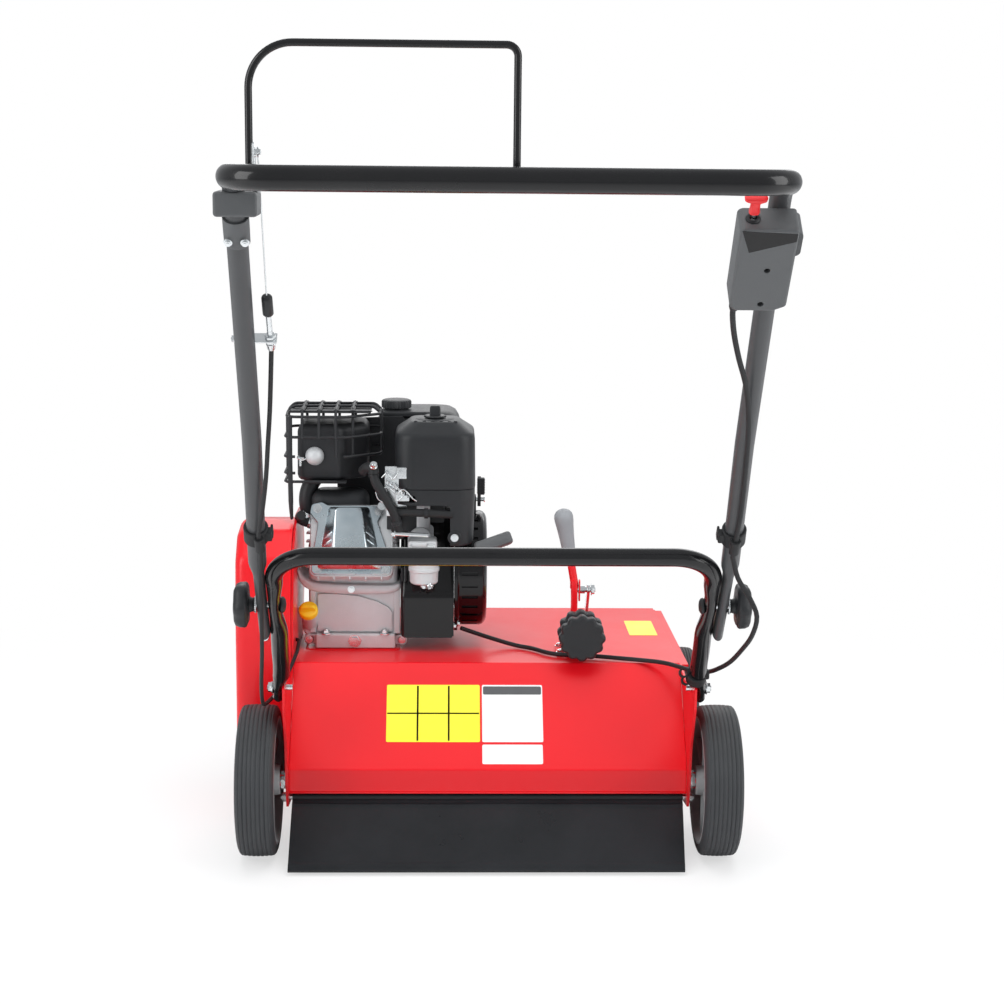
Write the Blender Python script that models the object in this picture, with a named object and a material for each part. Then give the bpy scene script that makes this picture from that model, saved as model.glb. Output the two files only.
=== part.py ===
"""Petrol walk-behind lawn scarifier, built as separate pieces.

All sizes are in millimetres in the machine's own frame: X = 0 is the middle of the deck, Y = 0 the
rear axle, Z = 0 the ground. +Y points forward, away from the person who pushes it, and +X to that
person's right. The root empty moves the whole machine so that the origin lies at the bottom centre.
"""
import math

import bmesh
import bpy
from mathutils import Matrix, Vector

MM = 0.001
GAP = 0.3

# Wheels
REAR_WHEEL_D = 200.0
REAR_TYRE_W = 51.0
FRONT_WHEEL_D = 180.0
FRONT_TYRE_W = 41.0
TYRE_DEPTH = 15.0
TYRE_SIDES = 24
WHEELBASE = 372.0
WHEEL_SIDE_GAP = 9.5
HUB_R = 20.0
AXLE_R = 6.0
AXLE_END = 3.5

# Deck of folded sheet between two side plates
DECK_HALF = 268.0
PLATE_T = 3.0
SHEET_T = 2.5
TOP_Z = 218.0
REAR_BAND_Y = 5.0
REAR_LIP_Z = 79.0
BAND_TOP_Z = 112.0
REAR_TOP_Y = 112.0
REAR_TOP_Z = 230.0
FRONT_TOP_Y = 473.0
FRONT_LIP_Y = 545.0
FRONT_BAND_Z = 128.0
FRONT_LIP_Z = 84.0
PLATE_LOW_Z = 64.0
FLANGE_W = 9.0

# Rotor with its blades
ROTOR_Y = 190.0
ROTOR_Z = 95.0
ROTOR_SHAFT_R = 10.0
ROTOR_TUBE_R = 17.0
BLADE_R = 84.0
BLADE_T = 2.5
BLADE_COUNT = 12
BLADE_PITCH = 41.0
BLADE_POINTS = 4
BEARING_R = 26.0
BEARING_FLANGE_R = 34.0
BEARING_FLANGE_T = 4.0
BEARING_DEPTH = 11.0

# Engine, with the crankshaft along X
CRANK_Y = 262.0
CRANK_Z = 330.0
CRANK_R = 9.5
BASE_Z = 229.0
CASE_LEFT = -250.0
CASE_RIGHT = -125.0
CASE_REAR = 198.0
CASE_FRONT = 330.0
CYLINDER_TILT = 26.0
COVER_REACH = 113.0
BLOWER_LEFT = -121.0
BLOWER_RIGHT = -46.0
BLOWER_R = 94.0
RECOIL_RIGHT = 1.0
RECOIL_R = 82.0
FLYWHEEL_R = 66.0
MUFFLER_LEFT = -266.0
MUFFLER_RIGHT = -166.0
MUFFLER_REAR = 196.0
MUFFLER_FRONT = 284.0
MUFFLER_LOW = 466.0
MUFFLER_TOP = 545.0
GUARD_MARGIN = 13.0
GUARD_WIRE = 4.0
TANK_LEFT = -160.0
TANK_RIGHT = -34.0
TANK_REAR = 296.0
TANK_FRONT = 420.0
TANK_LOW = 470.0
TANK_TOP = 551.0
FUEL_CAP_R = 22.0
FUEL_CAP_H = 13.0
FILTER_X = -73.5
FILTER_Y = 207.0
FILTER_HALF = 56.0
FILTER_SEAM_Z = 463.0
FILTER_BASE_Z = 440.0
FILTER_SHOULDER_Z = 539.0
FILTER_TOP_Z = 555.0
FILTER_LOW_Z = 383.0
FILTER_KNOB_R = 16.0
OIL_CAP_R = 13.5
SHELL_T = 2.5
FACET_U = 72.0
HEAD_U = 91.0

# Belt drive on the left
COVER_X = -DECK_HALF - 77.0
COVER_T = 2.0
BELT_X = -DECK_HALF - 40.0
BELT_W = 10.0
BELT_T = 8.0
DRIVE_PULLEY_R = 36.0
DRIVEN_PULLEY_R = 40.0
PULLEY_W = 20.0
IDLER_R = 22.0
IDLER_W = 18.0
IDLER_Y = 160.0
IDLER_Z = 232.0
ARM_PIVOT_Y = 150.0
ARM_PIVOT_Z = 292.0
ARM_T = 4.0

# Handle
TUBE_R = 11.0
GRIP_R = 12.5
HANDLE_SLOPE = 51.0
PIVOT_Y = -146.5
PIVOT_Z = 375.0
LOWER_HALF = 265.3
LOWER_BAR_Y = -218.0
LOWER_BAR_Z = 452.0
LOWER_CORNER_R = 52.0
FLAT_T = 13.6
FOOT_Y = -30.0
FOOT_Z = 236.0
UPPER_HALF = 266.7
BAR_Y = -655.0
BAR_Z = 908.0
BAR_CORNER_R = 44.0
LEG_END = 58.0
BOLT_R = 4.0
KNOB_R = 29.0
KNOB_T = 17.0
KNOB_HUB_R = 9.5
KNOB_HUB_L = 10.0

# Bail, a bent rod that lies over the left half of the bar
BAIL_R = 3.8
BAIL_Y = BAR_Y + 87.0
BAIL_Z = BAR_Z - 4.0
BAIL_H = 130.0
BAIL_LEFT = -UPPER_HALF + 15.2
BAIL_RIGHT = 8.0
ANCHOR_R = 30.0
ANCHOR_ANGLE = 60.0
ANCHOR_X = BAIL_LEFT + 7.0

# Switch box on the right leg
BOX_LEFT = 224.0
BOX_RIGHT = 283.0
BOX_UP = 56.0
BOX_DOWN = 56.0
BOX_DEPTH = 32.0
BOX_AT = 606.0
TOGGLE_X = 238.0

# Front axle, work lever and depth adjustment
AXLE_PIVOT_Y = 300.0
AXLE_PIVOT_Z = 96.0
AXLE_TUBE_R = 10.0
LINK_ARM = 76.0
LEVER_Y = 185.0
LEVER_Z = 240.0
LEVER_X = 124.0
LINK_X = 142.0
LEVER_TOP = 178.0
LEVER_LEAN = 18.0
GRIP_LENGTH = 62.0
HANDWHEEL_X = 128.0
HANDWHEEL_Z = 270.0
HANDWHEEL_REAR = 85.0
HANDWHEEL_L = 49.0
HANDWHEEL_R = 32.0
HANDWHEEL_LOBES = 12

# Rear flap
FLAP_ROD_Y = 12.0
FLAP_ROD_Z = 72.0
FLAP_ROD_R = 3.5
FLAP_LENGTH = 120.0
FLAP_SLOPE = 34.0
FLAP_T = 4.5

# Cords
LEAD_R = 3.0
CABLE_R = 2.6
WIRE_R = 0.8
CABLE_HOLE_Y = 150.0
CABLE_HOLE_Z = 252.0

LEFT = -1
RIGHT = 1

REAR_AXLE_Z = REAR_WHEEL_D / 2
FRONT_AXLE_Z = FRONT_WHEEL_D / 2
WHEEL_IN = DECK_HALF + WHEEL_SIDE_GAP
X_MAX = WHEEL_IN + REAR_TYRE_W + AXLE_END
X_MIN = COVER_X
Y_MIN = BAR_Y - GRIP_R
Y_MAX = FRONT_LIP_Y
CENTRE = Vector(((X_MIN + X_MAX) / 2, (Y_MIN + Y_MAX) / 2, 0.0))

for old in list(bpy.data.objects):
    bpy.data.objects.remove(old, do_unlink=True)

root = bpy.data.objects.new("scarifier", None)
bpy.context.scene.collection.objects.link(root)
root.location = -CENTRE * MM


def material(name, colour, roughness, metallic=0.0):
    """One Principled BSDF with a plain colour."""
    mat = bpy.data.materials.new(name)
    mat.use_nodes = True
    bsdf = mat.node_tree.nodes["Principled BSDF"]
    bsdf.inputs["Base Color"].default_value = (*colour, 1.0)
    bsdf.inputs["Roughness"].default_value = roughness
    bsdf.inputs["Metallic"].default_value = metallic
    mat.diffuse_color = (*colour, 1.0)
    return mat


RED = material("red_paint", (0.62, 0.012, 0.018), 0.3)
BLACK_TUBE = material("black_paint", (0.03, 0.03, 0.032), 0.3)
BLACK_PLASTIC = material("black_plastic", (0.028, 0.029, 0.032), 0.5)
GREY_PLASTIC = material("grey_plastic", (0.11, 0.115, 0.12), 0.5)
RUBBER = material("rubber", (0.035, 0.037, 0.04), 0.75)
RIM = material("rim_plastic", (0.17, 0.175, 0.18), 0.45)
ZINC = material("zinc", (0.62, 0.66, 0.68), 0.3, 1.0)
ALUMINIUM = material("cast_aluminium", (0.52, 0.51, 0.5), 0.5, 1.0)
STEEL = material("steel", (0.4, 0.4, 0.41), 0.35, 1.0)
YELLOW = material("yellow_plastic", (0.85, 0.5, 0.02), 0.4)
GREY_RUBBER = material("grey_rubber", (0.3, 0.31, 0.33), 0.7)
RED_PLASTIC = material("red_plastic", (0.75, 0.03, 0.03), 0.35)


def place(name, mesh_data, mat, origin=(0, 0, 0), sharp=35.0):
    """Make an object of a bmesh in millimetres, with its origin at the given point."""
    shift = Matrix.Translation(-Vector(origin))
    bmesh.ops.transform(mesh_data, matrix=Matrix.Scale(MM, 4) @ shift, verts=mesh_data.verts)
    bmesh.ops.recalc_face_normals(mesh_data, faces=mesh_data.faces)
    mesh = bpy.data.meshes.new(name)
    mesh_data.to_mesh(mesh)
    mesh_data.free()
    mesh.materials.append(mat)
    mesh.shade_smooth()
    mesh.set_sharp_from_angle(angle=math.radians(sharp))
    obj = bpy.data.objects.new(name, mesh)
    bpy.context.scene.collection.objects.link(obj)
    obj.parent = root
    obj.location = Vector(origin) * MM
    return obj


def prism(outline, low, high, plane="YZ"):
    """Extrude a flat outline from low to high along the axis that its plane leaves out."""
    order = {"YZ": lambda a, b, c: (c, a, b), "XZ": lambda a, b, c: (a, c, b),
             "XY": lambda a, b, c: (a, b, c)}[plane]
    bm = bmesh.new()
    face = bm.faces.new([bm.verts.new(order(a, b, low)) for a, b in outline])
    grown = bmesh.ops.extrude_face_region(bm, geom=[face])
    moved = [item for item in grown["geom"] if isinstance(item, bmesh.types.BMVert)]
    step = Vector(order(0, 0, high)) - Vector(order(0, 0, low))
    bmesh.ops.translate(bm, verts=moved, vec=step)
    bmesh.ops.recalc_face_normals(bm, faces=bm.faces)
    return bm


def block(x0, x1, y0, y1, z0, z1, bevel=0.0, segments=1):
    """A box, with its edges rounded by the bevel's width."""
    bm = prism([(x0, y0), (x1, y0), (x1, y1), (x0, y1)], z0, z1, "XY")
    if bevel:
        bmesh.ops.bevel(bm, geom=bm.edges[:], offset=bevel, segments=segments, profile=0.5,
                        affect="EDGES", clamp_overlap=True)
    return bm


def frame_of(axis):
    """Rotation that takes +Z to the given axis, and +X near the world's X where it can."""
    axis = Vector(axis).normalized()
    side = Vector((1, 0, 0))
    if abs(axis.dot(side)) > 0.9:
        side = Vector((0, 1, 0))
    across = axis.cross(side).normalized()
    side = across.cross(axis)
    return Matrix((side, across, axis)).transposed().to_4x4()


def turned(profile, centre=(0, 0, 0), axis=(0, 0, 1), sides=24, ring=False, half_step=False):
    """Turn (distance along the axis, radius) points round the axis. A ring has a bore."""
    bm = bmesh.new()
    phase = math.pi / sides if half_step else 0.0
    rings = []
    for along, radius in profile:
        if radius == 0:
            rings.append([bm.verts.new((0, 0, along))])
            continue
        rings.append([bm.verts.new((radius * math.cos(phase + math.tau * k / sides),
                                    radius * math.sin(phase + math.tau * k / sides), along))
                      for k in range(sides)])
    pairs = list(zip(rings, rings[1:]))
    if ring:
        pairs.append((rings[-1], rings[0]))
    for first, second in pairs:
        for k in range(sides):
            corners = [first[k % len(first)], first[(k + 1) % len(first)],
                       second[(k + 1) % len(second)], second[k % len(second)]]
            bm.faces.new(list(dict.fromkeys(corners)))
    if not ring:
        for end in (rings[0], rings[-1]):
            if len(end) > 1:
                bm.faces.new(end)
    bmesh.ops.recalc_face_normals(bm, faces=bm.faces)
    turn = Matrix.Translation(Vector(centre)) @ frame_of(axis)
    bmesh.ops.transform(bm, matrix=turn, verts=bm.verts)
    return bm


def rod(start, end, radius, sides=12):
    """A plain round bar between two points."""
    start = Vector(start)
    end = Vector(end)
    return turned([(0, radius), ((end - start).length, radius)], start, end - start, sides)


def sweep(points, radii, sides=14, flat=None):
    """A round bar along a path. The flat function gives its half width along X at each point."""
    points = [Vector(p) for p in points]
    bm = bmesh.new()
    rings = []
    normal = None
    for i, point in enumerate(points):
        ahead = points[min(i + 1, len(points) - 1)] - point
        behind = point - points[max(i - 1, 0)]
        tangent = (ahead.normalized() + behind.normalized()).normalized()
        if normal is None:
            normal = frame_of(tangent).col[0].xyz
        normal = (normal - tangent * normal.dot(tangent)).normalized()
        across = tangent.cross(normal)
        radius = radii[i]
        squash = flat[i] / radius if flat else 1.0
        ring = []
        for k in range(sides):
            angle = math.tau * (k + 0.5) / sides
            offset = (normal * math.cos(angle) + across * math.sin(angle)) * radius
            ring.append(bm.verts.new(point + Vector((offset.x * squash, offset.y, offset.z))))
        rings.append(ring)
    for first, second in zip(rings, rings[1:]):
        for k in range(sides):
            bm.faces.new((first[k], first[(k + 1) % sides], second[(k + 1) % sides], second[k]))
    bm.faces.new(rings[0])
    bm.faces.new(rings[-1])
    bmesh.ops.recalc_face_normals(bm, faces=bm.faces)
    return bm


def rounded_path(corners, radii, steps=6):
    """Replace each inner corner of a path by an arc of its radius."""
    corners = [Vector(c) for c in corners]
    path = [corners[0]]
    for i in range(1, len(corners) - 1):
        point = corners[i]
        back = (corners[i - 1] - point).normalized()
        on = (corners[i + 1] - point).normalized()
        half = back.angle(on) / 2
        reach = radii[i - 1] / math.tan(half)
        centre = point + (back + on).normalized() * radii[i - 1] / math.sin(half)
        start = point + back * reach - centre
        end = point + on * reach - centre
        turn = start.angle(end)
        axis = start.cross(end).normalized()
        for k in range(steps + 1):
            path.append(centre + Matrix.Rotation(turn * k / steps, 3, axis) @ start)
    path.append(corners[-1])
    return path


def rounded_outline(corners, radius, steps=4):
    """A flat outline whose corners are arcs, one radius for all or one for each corner."""
    count = len(corners)
    radii = radius if isinstance(radius, (list, tuple)) else [radius] * count
    points = []
    for i in range(count):
        if radii[i] == 0:
            points.append(corners[i])
            continue
        here = Vector((*corners[i], 0))
        back = Vector((*corners[i - 1], 0)) - here
        on = Vector((*corners[(i + 1) % count], 0)) - here
        path = rounded_path([here + back, here, here + on], [radii[i]], steps)
        points.extend((p.x, p.y) for p in path[1:-1])
    return points


def offset_line(points, distance, closed=False):
    """Move a line sideways, to the left of its direction, with mitred corners."""
    moved = []
    vectors = [Vector(p) for p in points]
    count = len(vectors)
    for i, point in enumerate(vectors):
        normals = []
        for a, b in ((i - 1, i), (i, i + 1)):
            if closed or (0 <= a and b < count):
                step = (vectors[b % count] - vectors[a % count]).normalized()
                normals.append(Vector((-step.y, step.x)))
        mean = sum(normals, Vector((0, 0))).normalized()
        moved.append(tuple(point + mean * distance / mean.dot(normals[0])))
    return moved


def boolean(base, others, operation):
    """Union or difference of bmeshes, worked out by an exact Boolean modifier."""
    target = place("work_base", base, RED)
    guides = [place("work_tool", other, RED) for other in others]
    for guide in guides:
        step = target.modifiers.new("step", "BOOLEAN")
        step.operation = operation
        step.solver = "EXACT"
        step.object = guide
    graph = bpy.context.evaluated_depsgraph_get()
    mesh = bpy.data.meshes.new_from_object(target.evaluated_get(graph))
    result = bmesh.new()
    result.from_mesh(mesh)
    bmesh.ops.transform(result, matrix=Matrix.Scale(1 / MM, 4), verts=result.verts)
    bmesh.ops.dissolve_degenerate(result, dist=0.001, edges=result.edges[:])
    for obj in [target, *guides]:
        bpy.data.objects.remove(obj, do_unlink=True)
    return result


def union(base, *others):
    return boolean(base, others, "UNION")


def cut(base, *others):
    return boolean(base, others, "DIFFERENCE")


def mirrored(bm):
    """The same shape on the other side of X = 0."""
    bmesh.ops.scale(bm, vec=(-1, 1, 1), verts=bm.verts)
    bmesh.ops.reverse_faces(bm, faces=bm.faces[:])
    return bm


def sided(bm, side):
    return mirrored(bm) if side == LEFT else bm


def along_leg(distance, rise=0.0, x=0.0):
    """A point on the handle's slope: distance up from the fold bolt, and rise to its upper side."""
    slope = math.radians(HANDLE_SLOPE)
    return Vector((x, PIVOT_Y - distance * math.cos(slope) + rise * math.sin(slope),
                   PIVOT_Z + distance * math.sin(slope) + rise * math.cos(slope)))


# Wheels

def on_facet(bm):
    """Turn a wheel's ring so that a facet, and not an edge, is lowest."""
    lowest = min(v.co.z for v in bm.verts)
    level = [v.co.y for v in bm.verts if abs(v.co.z - lowest) < 0.01]
    if max(level) - min(level) < 1:
        turn = Matrix.Rotation(math.pi / TYRE_SIDES, 4, "X")
        bmesh.ops.transform(bm, matrix=turn, verts=bm.verts)
    return bm


def tyre(name, x_in, width, diameter, y, z, side):
    """Tyre with round shoulders. Its facets touch the true radius, so it stands on a flat."""
    outer = diameter / 2 / math.cos(math.pi / TYRE_SIDES)
    seat = diameter / 2 - TYRE_DEPTH
    shoulder = 7.0
    profile = [(0, seat), (0, outer - shoulder), (0.3 * shoulder, outer - 0.3 * shoulder), (shoulder, outer),
               (width - shoulder, outer), (width - 0.3 * shoulder, outer - 0.3 * shoulder),
               (width, outer - shoulder), (width, seat)]
    bm = sided(on_facet(turned(profile, (x_in, 0, 0), (1, 0, 0), TYRE_SIDES, ring=True)), side)
    bmesh.ops.translate(bm, verts=bm.verts, vec=(0, y, z))
    return place(name, bm, RUBBER, (side * (x_in + width / 2), y, z))


def rim(name, x_in, width, diameter, y, z, side):
    """Moulded wheel body: a flange to seat the tyre, a dished web and a hub on the axle."""
    seat = diameter / 2 - TYRE_DEPTH - GAP
    lip = 10.0
    web = 5.0
    middle = width / 2
    profile = [(0.5, seat), (width - 0.5, seat), (width - 0.5, seat - lip),
               (middle + web, seat - lip - 3), (middle + web, HUB_R + 2), (width - 1, HUB_R - 1),
               (width - 1, AXLE_R + GAP), (-2.0, AXLE_R + GAP), (-2.0, HUB_R - 1),
               (middle - web, HUB_R + 2), (middle - web, seat - lip - 3), (0.5, seat - lip)]
    bm = sided(on_facet(turned(profile, (x_in, 0, 0), (1, 0, 0), TYRE_SIDES, ring=True)), side)
    bmesh.ops.translate(bm, verts=bm.verts, vec=(0, y, z))
    return place(name, bm, RIM, (side * (x_in + width / 2), y, z))


for side, word in ((LEFT, "left"), (RIGHT, "right")):
    tyre(f"tyre_rear_{word}", WHEEL_IN, REAR_TYRE_W, REAR_WHEEL_D, 0, REAR_AXLE_Z, side)
    rim(f"rim_rear_{word}", WHEEL_IN, REAR_TYRE_W, REAR_WHEEL_D, 0, REAR_AXLE_Z, side)
    tyre(f"tyre_front_{word}", WHEEL_IN, FRONT_TYRE_W, FRONT_WHEEL_D, WHEELBASE, FRONT_AXLE_Z, side)
    rim(f"rim_front_{word}", WHEEL_IN, FRONT_TYRE_W, FRONT_WHEEL_D, WHEELBASE, FRONT_AXLE_Z, side)


# Deck

SHELL_HALF = DECK_HALF - PLATE_T - GAP


def top_at(y):
    """Height of the deck's top, which falls a little from its rear fold to its front one."""
    return REAR_TOP_Z + (TOP_Z - REAR_TOP_Z) * (y - REAR_TOP_Y) / (FRONT_TOP_Y - REAR_TOP_Y)


def deck_shell():
    """One folded sheet: rear band, sloping rear panel, top and front panel, with two cut-outs."""
    line = [(REAR_BAND_Y, REAR_LIP_Z), (REAR_BAND_Y, BAND_TOP_Z), (REAR_TOP_Y, REAR_TOP_Z),
            (FRONT_TOP_Y, TOP_Z), (FRONT_LIP_Y, FRONT_BAND_Z), (FRONT_LIP_Y, FRONT_LIP_Z)]
    inside = offset_line(line, -SHEET_T)
    shell = prism(line + inside[::-1], -SHELL_HALF, SHELL_HALF)
    slot = block(LINK_X - 9, LINK_X + 9, 204, 282, TOP_Z - 3 * SHEET_T, REAR_TOP_Z + SHEET_T)
    shell = cut(shell, slot)
    rear, front = CASE_REAR - 14, CASE_FRONT + 14
    sink = SHEET_T / 2
    riser = prism([(rear, top_at(rear) - sink), (front, top_at(front) - sink), (front, BASE_Z - GAP),
                   (rear, BASE_Z - GAP)], CASE_LEFT - 4, CASE_RIGHT + 4)
    place("deck_shell", union(shell, riser), RED)


deck_shell()

COVER_OUTLINE = [(104, 50), (108, 300), (136, 384), (196, 418), (286, 414), (336, 372), (340, 300),
                 (262, 180), (262, 50)]
COVER_RADII = [12, 20, 40, 34, 40, 40, 40, 14, 12]
PLATE_OUTLINE = [(-4, PLATE_LOW_Z), (-14, 96), (-22, 150), (-52, 212), (-52, 240), (-36, 252), (-6, 246),
                 (28, 225), (60, 222), (REAR_TOP_Y, REAR_TOP_Z - 3), (FRONT_TOP_Y, TOP_Z - 3),
                 (FRONT_LIP_Y - 3, FRONT_BAND_Z), (FRONT_LIP_Y - 3, FRONT_LIP_Z),
                 (FRONT_LIP_Y - 50, PLATE_LOW_Z - 10), (60, PLATE_LOW_Z - 10)]


def hole_at(y, z, radius, sides=14):
    reach = DECK_HALF + 30
    return rod((-reach, y, z), (reach, y, z), radius, sides)


def side_plate(name, side):
    """Plate with the rear wheel's stub and its holes. The left one also backs the belt cover."""
    plate = prism(PLATE_OUTLINE, DECK_HALF - PLATE_T, DECK_HALF)
    rear, front = REAR_TOP_Y + 4, FRONT_TOP_Y - 6
    rim_low, rim_high = 3 + PLATE_T, 3.001
    flange = prism([(rear, top_at(rear) - rim_low), (front, top_at(front) - rim_low),
                    (front, top_at(front) - rim_high), (rear, top_at(rear) - rim_high)],
                   DECK_HALF - 1, DECK_HALF + FLANGE_W)
    if side == RIGHT:
        plate = union(plate, flange)
    else:
        plate = union(plate, prism(rounded_outline(COVER_OUTLINE, COVER_RADII, 3), DECK_HALF - PLATE_T, DECK_HALF))
        plate = cut(plate, hole_at(CRANK_Y, CRANK_Z, 16.0), hole_at(CABLE_HOLE_Y, CABLE_HOLE_Z, CABLE_R + 0.8, 12))
    collar = WHEEL_IN - 2.0 - GAP
    washer = WHEEL_IN + REAR_TYRE_W - 1 + GAP
    stub = turned([(DECK_HALF - 1, 11.5), (collar, 11.5),
                   (collar, AXLE_R), (washer, AXLE_R), (washer, 12.0), (X_MAX, 12.0)],
                  (0, 0, REAR_AXLE_Z), (1, 0, 0), 14)
    plate = union(plate, stub)
    plate = cut(plate, hole_at(ROTOR_Y, ROTOR_Z, BEARING_R / math.cos(math.pi / 16) + GAP, 16),
                hole_at(AXLE_PIVOT_Y, AXLE_PIVOT_Z, AXLE_TUBE_R + GAP),
                hole_at(FLAP_ROD_Y, FLAP_ROD_Z, FLAP_ROD_R + GAP, 12),
                hole_at(FOOT_Y, FOOT_Z, BOLT_R + GAP, 12))
    place(name, sided(plate, side), RED)


side_plate("side_plate_left", LEFT)
side_plate("side_plate_right", RIGHT)

# Rear flap

def rear_flap():
    """Rubber flap that hangs from a rod and trails on the ground, with a rib near each edge."""
    slope = math.radians(FLAP_SLOPE)
    down = Vector((-math.cos(slope), -math.sin(slope)))
    out = Vector((-math.sin(slope), math.cos(slope)))
    half = FLAP_T / 2

    def at(distance, rise):
        spot = Vector((FLAP_ROD_Y, FLAP_ROD_Z)) + down * distance + out * rise
        return (spot.x, spot.y)

    ribs = []
    for middle in (0.12 * FLAP_LENGTH, 0.93 * FLAP_LENGTH):
        ribs += [at(middle - 3, half), at(middle - 2, half + 1.6), at(middle + 2, half + 1.6),
                 at(middle + 3, half)]
    outline = [at(0, half)] + ribs + [at(FLAP_LENGTH, half), at(FLAP_LENGTH, -half), at(0, -half)]
    flap = prism(outline, -SHELL_HALF + 4, SHELL_HALF - 4)
    eye = rod((-SHELL_HALF + 4, FLAP_ROD_Y, FLAP_ROD_Z), (SHELL_HALF - 4, FLAP_ROD_Y, FLAP_ROD_Z),
              FLAP_ROD_R + 2.2, 14)
    bore = rod((-DECK_HALF, FLAP_ROD_Y, FLAP_ROD_Z), (DECK_HALF, FLAP_ROD_Y, FLAP_ROD_Z),
               FLAP_ROD_R + GAP, 12)
    place("rear_flap", cut(union(flap, eye), bore), RUBBER, (0, FLAP_ROD_Y, FLAP_ROD_Z))


def flap_rod():
    reach = DECK_HALF + 8
    profile = [(DECK_HALF + GAP, FLAP_ROD_R), (DECK_HALF + GAP, 6.5), (reach - 2, 6.5),
               (reach - 2, FLAP_ROD_R), (reach, FLAP_ROD_R)]
    both = [(-a, r) for a, r in reversed(profile)] + profile
    place("flap_rod", turned(both, (0, FLAP_ROD_Y, FLAP_ROD_Z), (1, 0, 0), 12), ZINC)


rear_flap()
flap_rod()

# Rotor

def blade(x, phase):
    """Flat star of hooked cutting points."""
    points = []
    step = math.tau / BLADE_POINTS
    for k in range(BLADE_POINTS):
        base = phase + k * step
        for turn, radius in ((0.0, BLADE_R), (0.16, BLADE_R - 2), (0.34, 0.58 * BLADE_R),
                             (0.8, 0.34 * BLADE_R)):
            points.append((ROTOR_Y + radius * math.cos(base + turn), ROTOR_Z + radius * math.sin(base + turn)))
    return prism(points, x - BLADE_T / 2, x + BLADE_T / 2)


def rotor_shaft():
    """Shaft with its tube and the row of blades, each turned a little from the last."""
    tube_half = SHELL_HALF - 12
    end_left = BELT_X - PULLEY_W / 2 - 5
    end_right = DECK_HALF + BEARING_FLANGE_T + 4
    profile = [(end_left, ROTOR_SHAFT_R), (-tube_half, ROTOR_SHAFT_R), (-tube_half, ROTOR_TUBE_R),
               (tube_half, ROTOR_TUBE_R), (tube_half, ROTOR_SHAFT_R), (end_right, ROTOR_SHAFT_R)]
    shaft = turned(profile, (0, ROTOR_Y, ROTOR_Z), (1, 0, 0), 12)
    first = -BLADE_PITCH * (BLADE_COUNT - 1) / 2
    blades = [blade(first + k * BLADE_PITCH, 0.22 + k * math.tau / BLADE_POINTS / 3.3)
              for k in range(BLADE_COUNT)]
    place("rotor_shaft", union(shaft, *blades), STEEL, (0, ROTOR_Y, ROTOR_Z))


def bearing(name, side):
    """Flanged bearing pressed into the side plate from outside."""
    face = DECK_HALF + GAP
    profile = [(face, BEARING_FLANGE_R), (face + BEARING_FLANGE_T, BEARING_FLANGE_R),
               (face + BEARING_FLANGE_T, ROTOR_SHAFT_R + GAP),
               (face + BEARING_FLANGE_T - BEARING_DEPTH, ROTOR_SHAFT_R + GAP),
               (face + BEARING_FLANGE_T - BEARING_DEPTH, BEARING_R), (face, BEARING_R)]
    bm = turned(profile, (0, ROTOR_Y, ROTOR_Z), (1, 0, 0), 16, ring=True)
    place(name, sided(bm, side), STEEL)


rotor_shaft()
bearing("bearing_left", LEFT)
bearing("bearing_right", RIGHT)

# Belt drive

def pulley(name, y, z, radius, bore, width, origin_x, mat=STEEL):
    """Grooved pulley round an axis along X."""
    groove = BELT_T + 1
    half = width / 2
    base = radius - groove
    profile = [(-half, radius + 2), (-half + 2, radius + 2), (-BELT_W / 2 + 2, base), (BELT_W / 2 - 2, base),
               (half - 2, radius + 2), (half, radius + 2), (half, bore), (-half, bore)]
    place(name, turned(profile, (origin_x, y, z), (1, 0, 0), 20, ring=True), mat, (origin_x, y, z))


pulley("drive_pulley", CRANK_Y, CRANK_Z, DRIVE_PULLEY_R, CRANK_R + GAP, PULLEY_W, BELT_X)
pulley("driven_pulley", ROTOR_Y, ROTOR_Z, DRIVEN_PULLEY_R, ROTOR_SHAFT_R + GAP, PULLEY_W, BELT_X)


def belt_loop(outward, steps=11):
    """Outline of the belt at one depth: an arc on each pulley and the two runs between them."""
    top = Vector((CRANK_Y, CRANK_Z))
    low = Vector((ROTOR_Y, ROTOR_Z))
    span = top - low
    lean = math.atan2(span.y, span.x)
    spread = math.acos((DRIVEN_PULLEY_R - DRIVE_PULLEY_R) / span.length)
    points = []
    for k in range(steps + 1):
        angle = lean - spread + 2 * spread * k / steps
        points.append(top + Vector((math.cos(angle), math.sin(angle))) * (DRIVE_PULLEY_R + outward))
    for k in range(steps + 1):
        angle = lean + spread + (math.tau - 2 * spread) * k / steps
        points.append(low + Vector((math.cos(angle), math.sin(angle))) * (DRIVEN_PULLEY_R + outward))
    return [tuple(p) for p in points]


def drive_belt():
    outer = belt_loop(0.0)
    inner = belt_loop(-BELT_T)
    half = BELT_W / 2
    bm = bmesh.new()
    loops = []
    for outline, x in ((outer, half), (outer, -half), (inner, -half + 2.2), (inner, half - 2.2)):
        loops.append([bm.verts.new((BELT_X + x, y, z)) for y, z in outline])
    count = len(outer)
    for first, second in zip(loops, loops[1:] + loops[:1]):
        for k in range(count):
            bm.faces.new((first[k], first[(k + 1) % count], second[(k + 1) % count], second[k]))
    place("drive_belt", bm, RUBBER)


drive_belt()


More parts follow.
